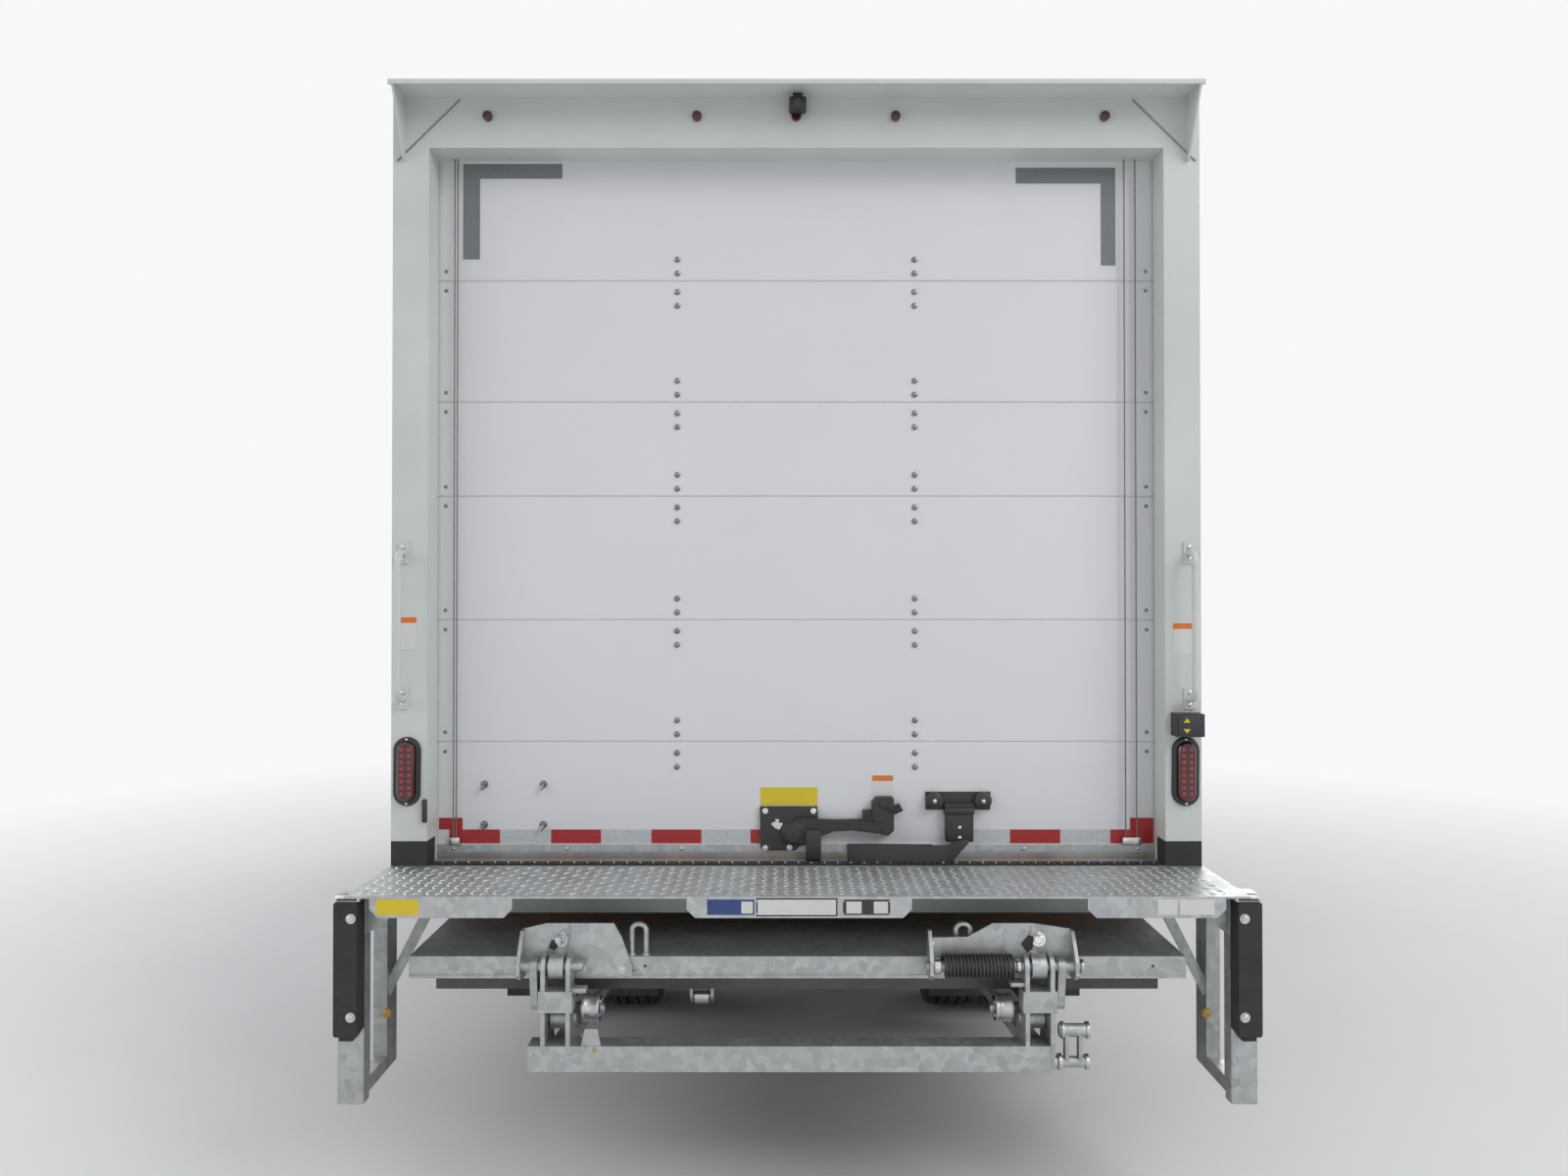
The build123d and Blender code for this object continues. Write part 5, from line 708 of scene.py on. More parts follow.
@dataclass
class RollupDoor:
    """The roll-up door's bolts, cables, tapes, labels and lock details."""

    seams: tuple[float, ...] = (0.359, 0.737, 1.121, 1.414, 1.792)
    hinge_x: float = 0.369
    hinge_rises: tuple[float, ...] = (0.067, 0.024, -0.034, -0.077)
    roller_x: float = 1.088
    cables: tuple[float, ...] = (-1.057, -1.048, 1.017, 1.051)
    band: Pair = (0.0455, 0.088)
    red: tuple[Pair, ...] = ((-1.074, -0.917), (-0.759, -0.604), (-0.448, -0.293), (-0.141, -0.112), (0.663, 0.819),
                             (0.974, 1.108))
    white: tuple[Pair, ...] = ((-0.917, -0.759), (-0.604, -0.448), (-0.293, -0.141), (0.542, 0.663), (0.819, 0.974))
    corners: tuple[tuple[float, float, float, float], ...] = (
        (-1.036, -0.728, 2.112, 2.158), (-1.036, -0.984, 1.860, 2.112),
        (0.685, 0.995, 2.097, 2.146), (0.950, 0.995, 1.841, 2.097),
    )
    mark: tuple[Pair, ...] = ((-0.077, 0.108), (-0.065, 0.096), (-0.051, 0.09), (-0.04, 0.11), (-0.055, 0.113),
                              (-0.051, 0.122), (-0.065, 0.124), (-0.061, 0.116), (-0.07, 0.114))
    lock_plate: tuple[Pair, ...] = (
        (-0.11, 0.146), (-0.106, 0.155), (-0.097, 0.159), (0.055, 0.159), (0.064, 0.155), (0.068, 0.146),
        (0.068, 0.093), (0.077, 0.075), (0.077, 0.056), (0.01, 0.038), (-0.005, 0.025), (-0.097, 0.025),
        (-0.106, 0.029), (-0.11, 0.038),
    )
    lever: tuple[Pair, ...] = (
        (-0.008, 0.122), (0.028, 0.129), (0.077, 0.126), (0.173, 0.122), (0.26, 0.116), (0.26, 0.081),
        (0.227, 0.085), (0.173, 0.091), (0.113, 0.088), (0.077, 0.073), (0.044, 0.055), (0.01, 0.05),
    )
    rib: tuple[Pair, ...] = ((0.036, 0.11), (0.149, 0.113), (0.256, 0.108), (0.256, 0.088), (0.173, 0.097),
                             (0.071, 0.085), (0.044, 0.075))
    catch: tuple[Pair, ...] = ((0.233, 0.176), (0.247, 0.192), (0.297, 0.192), (0.301, 0.186), (0.301, 0.09),
                               (0.283, 0.073), (0.262, 0.078), (0.259, 0.11), (0.236, 0.122))

    def bolts(self) -> None:
        """Add the hinge bolts and the plate's fixings."""
        form = Form(DOOR)
        rows = [seam + rise for seam in self.seams for rise in self.hinge_rises]
        form.domes(product((-self.hinge_x, self.hinge_x), (0.0,), rows), BACK, 0.0095, 0.0065, 14)
        rows = [seam + rise for seam in self.seams for rise in (0.03, -0.03)]
        form.domes(product((-self.roller_x, self.roller_x), (0.0,), rows), BACK, 0.006, 0.004)
        fixings = list(product((-0.966, -0.783), (0.0,), (0.228, 0.103)))
        form.bolts(fixings, BACK, 0.008)
        for x, _, z in fixings:
            form.bar((x + 0.004, -0.012, z), (x - 0.006, -0.014, z - 0.016), 0.005, 8)
        # The bolts' darker steel is partly painted shade.
        form.place("door_bolts", SHADED_BOLT_STEEL)

    def cable_runs(self) -> None:
        """Add the taut balance cables and their foot brackets."""
        form = Form(DOOR)
        for x in self.cables:
            form.bar((x, -0.018, 0.05), (x, -0.018, 2.166), 0.002, 8)
        form.place("door_cables", CABLE)
        feet = Form(DOOR).box((-1.068, -0.026, 0.044), (-1.036, 0.0, 0.068), 0.002)
        feet.box((1.006, -0.026, 0.044), (1.062, 0.0, 0.068), 0.002).place("cable_feet", BRIGHT)

    def tapes(self) -> None:
        """Add the corner tapes and the striped band along the foot."""
        form = Form(DOOR)
        for corner in self.corners:
            form.patch(*corner)
        form.place("corner_tapes", GREY_TAPE)
        red, white = Form(DOOR), Form(DOOR)
        for band, runs in ((red, self.red), (white, self.white)):
            for x0, x1 in runs:
                band.patch(x0, x1, *self.band)
        for x0, x1 in ((-1.106, -1.033), (1.035, 1.108)):
            red.patch(x0, x1, 0.088, 0.124)
        red.place("red_band", RED_TAPE)
        white.place("white_band", WHITE_TAPE)

    def foot(self) -> None:
        """Add the foot rail's face with its screws, the rubber seal and the worn sill."""
        Form(DOOR).box((-1.149, -0.008, 0.019), (1.149, -0.006, 0.0435)).place("foot_rail", ZINC)
        screws = product(steps(-1.06, 0.353, 7), (-0.008,), (0.03,))
        Form(DOOR).domes(screws, BACK, 0.006, 0.003).place("foot_screws", BRIGHT)
        Form(DOOR).box((-1.155, -0.012, 0.0), (1.155, -0.004, 0.019), 0.002).place("foot_seal", SILL)
        Form(REAR).box((-1.138, 0.002, 0.0), (1.138, 0.062, 0.0007)).place("sill_wear", RUBBER)
        Form(REAR).box((-1.138, 0.062, 0.0), (1.138, 0.098, 0.0007)).place("sill_dust", SILL)
        grip = Form(REAR)
        for x in steps(-1.09, 0.02, 110):
            grip.box((x, 0.008, 0.0), (x + 0.013, 0.030, 0.005))
        grip.place("sill_grip", RUBBER)
        studs = product(steps(-1.0735, 0.04, 55), (0.034,), (0.0,))
        Form(REAR).domes(studs, UP, 0.0040, 0.005, 6).place("sill_studs", BRIGHT)

    def lock(self) -> None:
        """Add the lock's bolts, lever, catch and blank labels, and the strap's holder."""
        heads = ((-0.095, -0.014, 0.148), (0.054, -0.014, 0.148), (-0.095, -0.014, 0.034), (-0.02, -0.014, 0.035))
        Form(DOOR).bolts(heads, BACK, 0.006).slab(self.mark, -0.0175, -0.014).place("lock_bolts", BRIGHT)
        holder = Form(DOOR)
        ears = product((0.427, 0.577), (-0.018,), (0.180,))
        holder.turned(ears, BACK, ((0.0, 0.027), (0.007, 0.026), (0.010, 0.022)), 20)
        holder.box((0.455, -0.034, 0.138), (0.549, -0.008, 0.160), 0.006)
        holder.box((0.459, -0.0285, 0.053), (0.547, -0.010, 0.145), 0.008, 3)
        holder.place("strap_holder", PLASTIC)
        screws = Form(DOOR).domes(product((0.427, 0.577), (-0.028,), (0.180,)), BACK, 0.0075, 0.004)
        screws.domes(product((0.503,), (-0.0285,), (0.068, 0.099)), BACK, 0.0065, 0.004)
        screws.place("holder_screws", BRIGHT)
        lock = Form(DOOR).slab(self.lock_plate, -0.014, -0.0005)
        lock.turned([(-0.008, -0.014, 0.082)], BACK, (
            (0.0, 0.041), (0.006, 0.039), (0.008, 0.034), (0.022, 0.033), (0.024, 0.024), (0.029, 0.023),
            (0.030, 0.012)), 28)
        lock.slab(self.lever, -0.036, -0.024)
        lock.slab(self.rib, -0.0385, -0.036)
        lock.slab(self.catch, -0.032, -0.0005)
        lock.turned([(0.268, -0.030, 0.17)], BACK, ((0.0, 0.014), (0.006, 0.013), (0.008, 0.007)), 18)
        lock.bar((0.282, -0.036, 0.155), (0.327, -0.040, 0.155), 0.004, 10)
        lock.box((0.030, -0.050, 0.0), (0.076, -0.044, 0.095), 0.002)
        lock.box((0.030, -0.050, 0.0), (0.076, 0.0, 0.006), 0.001)
        lock.place("lock_keeper", PLASTIC)
        Form(DOOR).patch(-0.110, 0.067, 0.163, 0.2185).place("lock_label", YELLOW)
        Form(DOOR).patch(0.237, 0.301, 0.191, 0.238).place("catch_label", PAPER)
        Form(DOOR).patch(0.237, 0.301, 0.238, 0.255).place("catch_label_head", ORANGE)

    def build(self) -> None:
        """Dress the door."""
        self.bolts()
        self.cable_runs()
        self.tapes()
        self.foot()
        self.lock()
        LOG.info("roll-up door")


@dataclass
class Portal:
    """The rear frame's welds, camera, lamps, labels and switch."""

    lamp_x: float = 1.170
    lamp_z: float = 0.284
    flange: tuple[tuple[float, float, float], ...] = (
        (0.207, 0.083, 0.0), (0.207, 0.083, 0.006), (0.200, 0.076, 0.0105), (0.182, 0.058, 0.0105),
        (0.180, 0.056, 0.006),
    )
    lens: tuple[tuple[float, float, float], ...] = (
        (0.178, 0.054, 0.004), (0.178, 0.054, 0.018), (0.170, 0.046, 0.0225), (0.140, 0.020, 0.0235),
    )
    labels: tuple[tuple[str, float, float, float, float], ...] = (
        ("post_label_left", -1.203, -1.144, 0.649, 0.730), ("post_label_right", 1.135, 1.191, 0.635, 0.712),
    )
    weld: tuple[Pair, Pair] = ((-1.0175, 2.312), (-0.0063, -0.0062))

    def oblong(self, x: float, length: float, width: float, depth: float) -> list[Vector]:
        """Make a ring of points with round ends, behind the lamp's place.

        Args:
            x: Its middle.
            length: Its height.
            width: Its width.
            depth: How far it stands out.

        Returns:
            The points.
        """
        radius = width / 2
        rise = length / 2 - radius
        return [Vector((x + a, -depth, self.lamp_z + b + (rise if index < 12 else -rise)))
                for index, (a, b) in enumerate(circle(radius, 24))]

    def lamps(self) -> None:
        """Replace the plain tail lamps with flanged ones with rows of emitters."""
        flanges, lenses, screws, dots = Form(REAR), Form(REAR), Form(REAR), Form(REAR)
        for x in (-self.lamp_x, self.lamp_x):
            flanges.loft([self.oblong(x, *row) for row in self.flange])
            lenses.loft([self.oblong(x, *row) for row in self.lens])
            rows = steps(self.lamp_z - 0.066, 0.019, 8)
            dots.domes(product((x - 0.0115, x + 0.0115), (-0.0222,), rows), BACK, 0.0072, 0.0028)
            ends = (self.lamp_z - 0.0965, self.lamp_z + 0.0965)
            screws.domes(product((x,), (-0.0085,), ends), BACK, 0.0045, 0.003, 8)
        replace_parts(flanges.place("lamp_flanges", PLASTIC), "tail_lamps")
        lenses.place("lamp_lenses", DARK_LENS)
        screws.place("lamp_screws", BRIGHT)
        dots.place("lamp_emitters", RED_LENS)

    def header(self) -> None:
        """Add the small camera under the hood and the header's corner welds."""
        form = Form(REAR).box((-0.022, -0.060, 2.262), (0.030, -0.012, 2.300), 0.006)
        form.box((-0.010, -0.040, 2.298), (0.018, -0.02, 2.317))
        form.turned([(0.004, -0.060, 2.278)], (0, -1, -0.35), ((0.0, 0.013), (0.007, 0.012)))
        form.place("rear_camera", PLASTIC)
        (x, z), (run, fall) = self.weld
        beads = [(x + run * step, 0.0005 * math.sin(step * 2.1), z + fall * step) for step in range(31)]
        Form(REAR).tube(beads, 0.0032, 6).mirrored().place("corner_welds", SILL)

    def fittings(self) -> None:
        """Add handle bolts, blank labels, the switch's face and the latch."""
        bolts = product((1.182,), (-0.005,), (0.485, 0.521, 0.923, 0.959))
        Form(REAR).domes(bolts, BACK, 0.0075, 0.004).mirrored().place("handle_bolts", BRIGHT)
        for name, x0, x1, z0, z1 in self.labels:
            Form(REAR).patch(x0, x1, z0, z1).place(name, PAPER)
            Form(REAR).patch(x0, x1, z1, z1 + 0.017).place(f"{name}_head", ORANGE)
        face = Form(REAR).box((1.131, -0.058, 0.397), (1.206, -0.055, 0.457), 0.001)
        face.domes(product((1.138, 1.199), (-0.058,), (0.404, 0.450)), BACK, 0.004, 0.002, 8)
        face.place("switch_face", PLASTIC)
        arrows = Form(REAR)
        for z, rise in ((0.436, 0.013), (0.417, -0.013)):
            arrows.slab(((1.146, z), (1.166, z), (1.156, z + rise)), -0.0595, -0.058)
        arrows.place("switch_arrows", YELLOW)
        Form(REAR).box((-1.1235, -0.012, 0.131), (-1.109, 0.0, 0.20), 0.003).place("post_latch", CHASSIS)

    def build(self) -> None:
        """Dress the rear frame."""
        self.lamps()
        self.header()
        self.fittings()
        LOG.info("rear frame")


@dataclass
class ExtensionPlate:
    """The plate's raised treads, its blank plates and the bumpers' bolts."""

    pitch: float = 0.0305
    width: float = 2.40
    reach: float = 0.350
    half_bar: Pair = (0.0125, 0.0035)
    ridge: float = 0.55
    rise: float = 0.0024
    lean: float = 0.9
    plates: tuple[tuple[str, Finish, float, float], ...] = (
        ("plate_label_left", YELLOW, -1.136, -1.022), ("plate_label_blue", BLUE, -0.244, -0.117),
        ("plate_label_wide", PAPER, -0.108, 0.103), ("plate_label_dark", PLASTIC, 0.122, 0.249),
        ("plate_label_small", PAPER, 0.970, 1.023), ("plate_label_right", PAPER, 1.029, 1.123),
    )

    def treads(self) -> None:
        """Lay the raised bars in two crossing directions."""
        form = Form(PLATE)
        length, half = self.half_bar
        for row, column in product(range(int(self.reach / self.pitch)), range(int(self.width / self.pitch))):
            turn = 1 if (row + column) % 2 else -1
            along = Vector((math.cos(self.lean), turn * math.sin(self.lean), 0.0)) * length
            across = Vector((-along.y, along.x, 0.0)) * half / length
            middle = Vector((-1.205 + (column + 0.5) * self.pitch, 0.012 + (row + 0.5) * self.pitch, 0.0))
            ends = (middle - along, middle - across, middle + along, middle + across)
            a, b, c, d = (form.mesh.verts.new(point) for point in ends)
            top = Vector((0.0, 0.0, self.rise))
            low, high = (form.mesh.verts.new(middle + along * share + top) for share in (-self.ridge, self.ridge))
            for corners in ((a, b, low), (b, c, high, low), (c, d, high), (d, a, low, high)):
                form.mesh.faces.new(corners)
        # The ridges' lighter zinc is partly a painted highlight.
        form.place("plate_treads", WORN_LIT_TREAD)

    def build(self) -> None:
        """Dress the plate and the dock bumpers."""
        self.treads()
        Form(PLATE).patch(-0.112, 0.107, -0.053, -0.004, 0.0008).place("plate_label_rim", PLASTIC)
        panels = Form(PLATE)
        for x0, x1 in ((-0.152, -0.121), (0.131, 0.172), (0.205, 0.243)):
            panels.box((x0, -0.0018, -0.045), (x1, -0.001, -0.013))
        panels.place("plate_label_panels", PAPER)
        rivets = product((-0.250, -0.112, 0.113, 0.122, 0.249), (-0.001,), (-0.012, -0.046))
        Form(PLATE).domes(rivets, BACK, 0.0035, 0.002, 8).place("plate_rivets", BRIGHT)
        for name, finish, x0, x1 in self.plates:
            Form(PLATE).patch(x0, x1, -0.049, -0.008, 0.0014).place(name, finish)
        bolts = Form(PLATE).bolts(((1.2045, 0.0, -0.06), (1.2045, 0.0, -0.325)), BACK, 0.009)
        bolts.mirrored().place("bumper_bolts", BRIGHT)
        # The rims' lighter zinc is partly a painted highlight.
        rims = Form(PLATE).box((1.181, 0.0005, -0.016), (1.250, 0.030, -0.002), 0.004)
        rims.mirrored().place("tube_ends", WORN_LIT_TREAD)
        # Black insets in the open tube ends: painted shade inside the hollow tubes.
        mouth_shades = Form(PLATE).box((1.187, 0.0, -0.0125), (1.244, 0.006, -0.0055), 0.002)
        mouth_shades.mirrored().place("tube_mouth_shades", RUBBER)
        Form(REAR).bolts([(1.190, -0.115, -0.400)], BACK, 0.010).mirrored().place("frame_bolts", BRASS)
        LOG.info("extension plate")


@dataclass
class LiftGate:
    """The gate's hinge hardware: bolts, spring, rollers, collars and small brackets."""

    plate: Point = (0.0, REAR_Y - 0.285, 0.0)
    pin: Point = (0.0, REAR_Y - 0.325, 0.80)
    roller: Point = (0.0, REAR_Y - 0.275, 0.671)
    bar: Point = (0.0, REAR_Y - 0.360, 0.0)
    spring: Pair = (0.394, 0.594)
    coils: int = 19
    wire: float = 0.0042
    coil_r: float = 0.0303
    bolt_places: tuple[tuple[float, tuple[Pair, ...]], ...] = (
        (0.0085, ((-0.5965, 0.7815), (-0.485, 0.7788))), (0.005, ((-0.618, 0.795), (0.372, 0.850), (0.380, 0.797))),
    )
    slots: tuple[tuple[Pair, ...], ...] = (
        ((-0.688, 0.838), (-0.672, 0.832), (-0.656, 0.846), (-0.658, 0.860), (-0.680, 0.860)),
        ((0.617, 0.850), (0.634, 0.826), (0.650, 0.836), (0.652, 0.868), (0.640, 0.876)),
    )
    beads: tuple[tuple[float, float, float], ...] = (
        (-0.630, 0.905, 0.80), (0.644, 0.90, 0.872), (-0.452, 0.774, 0.765), (0.366, 0.864, 0.770),
    )
    roller_profile: tuple[Pair, ...] = (
        (0.0, 0.034), (0.003, 0.0372), (0.010, 0.0372), (0.0115, 0.0362), (0.037, 0.0362), (0.0385, 0.0372),
        (0.0455, 0.0372), (0.0485, 0.034),
    )

    def hinge_line(self) -> None:
        """Wind the spring on the right hinge pin, with its end turns a little flatter, and set the pins' collars.
        """
        x0, x1 = self.spring
        total = self.coils * 20
        points = []
        for index in range(total + 1):
            turn = math.tau * index / 20
            open_share = min(1.0, index / 20, (total - index) / 20)
            x = x0 + self.wire + (x1 - x0 - 2 * self.wire) * index / total
            rise = self.coil_r * math.sin(turn) * (0.96 + 0.04 * open_share)
            points.append((x, self.coil_r * math.cos(turn), rise))
        made = Form(self.pin).tube(points, self.wire, 7).place("gate_coils", CHASSIS, Body.PLATFORM, 80.0)
        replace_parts(made, "gate_spring")
        collars = Form(self.pin)
        for x, width, radius in ((0.371, 0.020, 0.0215), (0.596, 0.013, 0.0185), (-0.628, 0.014, 0.024),
                                 (0.770, 0.010, 0.019)):
            collars.turned([(x, 0.0, 0.0)], RIGHT, (
                (0.0, radius - 0.002), (0.002, radius), (width - 0.002, radius), (width, radius - 0.002)), 28)
        collars.place("hinge_collars", BRIGHT, Body.PLATFORM)

    def plates(self) -> None:
        """Add the hinge plates' bolts, black patches of painted shade for their slots, and weld beads."""
        bolts, slots, welds = Form(self.plate), Form(self.plate), Form(self.plate)
        for radius, places in self.bolt_places:
            bolts.bolts([(x, 0.0, z) for x, z in places], BACK, radius)
        for x, z in ((-0.651, 0.862), (0.666, 0.863)):
            bolts.bolts([(x, 0.0, z)], (-0.25, -1, 0.12), 0.0135)
            bolts.bar((x, 0.0, z), (x - 0.006, -0.024, z + 0.003), 0.009, 14)
        bolts.place("gate_bolts", BRIGHT, Body.PLATFORM)
        # Thin black patches standing in for the slots' openings: painted shade.
        for outline in self.slots:
            slots.slab(outline, -0.0012, 0.0)
        slots.place("plate_slot_shades", PLASTIC, Body.PLATFORM)
        for x, z0, z1 in self.beads:
            count = max(3, int(abs(z1 - z0) / 0.004))
            welds.tube([(x + 0.0012 * math.sin(step * 1.9), -0.0005, z0 + (z1 - z0) * step / count)
                        for step in range(count + 1)], 0.0034, 6)
        feet = product((-0.461, -0.421, 0.442, 0.482), (0.030,), (0.811,))
        welds.turned(feet, UP, ((0.0, 0.0145), (0.004, 0.0125), (0.008, 0.009)), 14)
        welds.place("gate_welds", ZINC, Body.PLATFORM)
        # Black discs standing in for the platform's holes: painted shade.
        hole_shades = Form(self.plate).turned(product((-0.4215, 0.985), (0.0099,), (0.785,)), BACK,
                                        ((0.0, 0.004), (0.0006, 0.0038)), 12)
        hole_shades.place("platform_hole_shades", PLASTIC, Body.PLATFORM)
        lip = Form(self.plate).box((-1.0755, 0.0075, 0.7585), (1.0755, 0.010, 0.7625), 0.001)
        lip.place("platform_lip", ZINC, Body.PLATFORM)

    def rollers(self) -> None:
        """Add the rollers with their threads and bolts."""
        rings, threads, fittings = Form(self.roller), Form(self.roller), Form(self.roller)
        for side, _ in SIDES:
            inward = (-side, 0, 0)
            rings.turned([(side * 0.5935, 0.0, 0.0)], inward, self.roller_profile, 40)
            ridges = product([side * x for x in steps(0.599, 0.0036, 7)], (0.0,), (0.0,))
            threads.turned(ridges, (side, 0, 0), ((0.0, 0.0152), (0.0018, 0.0172), (0.0036, 0.0152)), 20)
            fittings.bolts([(side * 0.5445, y, z) for y, z in circle(0.024, 4, 0.6)], inward, 0.0055)
            fittings.domes([(side * 0.5365, 0.0, 0.0)], inward, 0.0165, 0.005, 18)
        rings.place("gate_rollers", ALUMINIUM, Body.SHACKLES)
        threads.place("roller_threads", RUST, Body.SHACKLES)
        fittings.place("roller_bolts", BRIGHT, Body.SHACKLES)

    def brackets(self) -> None:
        """Add the tabs, the grease nipple and the bracket's rings on the shackles."""
        tabs = Form(self.bar).box((-0.618, 0.007, 0.735), (-0.572, 0.039, 0.748), 0.002)
        tabs.box((0.577, 0.007, 0.752), (0.618, 0.039, 0.763), 0.002)
        tabs.slab(((-0.586, 0.594), (-0.532, 0.594), (-0.541, 0.640), (-0.575, 0.640)), 0.004, 0.010)
        tabs.place("gate_tabs", ZINC, Body.SHACKLES)
        nipple = Form(self.bar).bar((-0.549, 0.006, 0.585), (-0.549, -0.006, 0.585), 0.006, 6)
        nipple.domes([(-0.549, -0.006, 0.585)], BACK, 0.004, 0.005, 8).place("grease_nipple", BRASS, Body.SHACKLES)
        rings = Form(self.bar)
        for x, width, z, radius in ((0.684, 0.018, 0.541, 0.0185), (0.708, 0.010, 0.541, 0.022),
                                    (0.782, 0.010, 0.541, 0.021), (0.716, 0.008, 0.627, 0.023),
                                    (0.784, 0.009, 0.627, 0.023)):
            rings.turned([(x, 0.0345, z)], RIGHT, ((0.0, radius - 0.002), (0.002, radius), (width, radius)), 26)
        rings.place("bracket_rings", BRIGHT, Body.SHACKLES)

    def build(self) -> None:
        """Dress the lift gate."""
        self.hinge_line()
        self.plates()
        self.rollers()
        self.brackets()
        LOG.info("lift gate")


@dataclass
class PullStrap:
    """The door's webbing strap, hung from its holder, folded and laid on the sill."""

    width: float = 0.055
    thick: float = 0.0018
    hem: float = 0.002
    hung: tuple[tuple[Point, Point], ...] = (
        ((0.4755, -3.129, 1.095), (0.5305, -3.129, 1.095)), ((0.4755, -3.133, 1.060), (0.5305, -3.131, 1.080)),
        ((0.4755, -3.150, 1.030), (0.5305, -3.134, 1.068)), ((0.4755, -3.168, 1.0015), (0.5305, -3.141, 1.0545)),
    )
    laid: tuple[tuple[Point, Point], ...] = (
        ((0.4755, -3.170, 1.0012), (0.5305, -3.143, 1.0545)), ((0.452, -3.184, 1.0012), (0.480, -3.176, 1.0520)),
        ((0.425, -3.191, 1.0012), (0.428, -3.188, 1.0535)), ((0.350, -3.191, 1.0012), (0.350, -3.187, 1.0560)),
        ((0.260, -3.187, 1.0012), (0.260, -3.183, 1.0562)), ((0.190, -3.182, 1.0012), (0.190, -3.180, 1.0562)),
        ((0.161, -3.179, 1.0012), (0.159, -3.178, 1.0560)), ((0.155, -3.172, 1.0012), (0.153, -3.172, 1.0558)),
        ((0.168, -3.166, 1.0012), (0.168, -3.166, 1.0556)), ((0.240, -3.164, 1.0012), (0.240, -3.165, 1.0552)),
        ((0.330, -3.166, 1.0012), (0.330, -3.168, 1.0550)), ((0.415, -3.168, 1.0012), (0.415, -3.170, 1.0548)),
    )

    def line(self, route: Sequence[Point]) -> list[Vector]:
        """Read a route's smooth line.

        Args:
            route: The points that steer it.

        Returns:
            Points along the line.
        """
        curve = bpy.data.curves.new("strap_route", "CURVE")
        curve.dimensions = "3D"
        curve.resolution_u = 10
        spline = curve.splines.new("NURBS")
        spline.points.add(len(route) - 1)
        for point, place in zip(spline.points, route):
            point.co = (*place, 1.0)
        spline.order_u = 3
        spline.use_endpoint_u = True
        holder = bpy.data.objects.new("strap_route", curve)
        points = [vert.co.copy() for vert in bpy.data.meshes.new_from_object(holder).vertices]
        bpy.data.objects.remove(holder)
        return points

    def run(self, form: Form, edges: Sequence[tuple[Point, Point]]) -> float:
        """Weave a run of webbing between its two edges.

        Args:
            form: The form that takes it.
            edges: Pairs of points that steer both edges.

        Returns:
            The run's length.
        """
        first, second = (self.line(route) for route in zip(*edges))
        middle = [(a + b) / 2 for a, b in zip(first, second)]
        rings = []
        for low, high, before, after in zip(first, second, middle[:1] + middle, middle[1:] + middle[-1:]):
            face = (after - before).normalized().cross(high - low).normalized() * self.thick / 2
            inset = (high - low).normalized() * self.hem
            rings.append([low - face * 0.5, low + inset - face, high - inset - face, high - face * 0.5,
                          high + face * 0.5, high - inset + face, low + inset + face, low + face * 0.5])
        form.loft(rings)
        return sum((b - a).length for a, b in zip(middle, middle[1:]))

    def build(self) -> None:
        """Hang the webbing's flat end, fold it and lay the rest on its edge."""
        form = Form()
        length = self.run(form, self.hung) + self.run(form, self.laid)
        made = form.place("strap_webbing", WEBBING, Body.CHASSIS, 60.0)
        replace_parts(made, "pull_strap")
        LOG.info("pull strap, %.2f m", length)


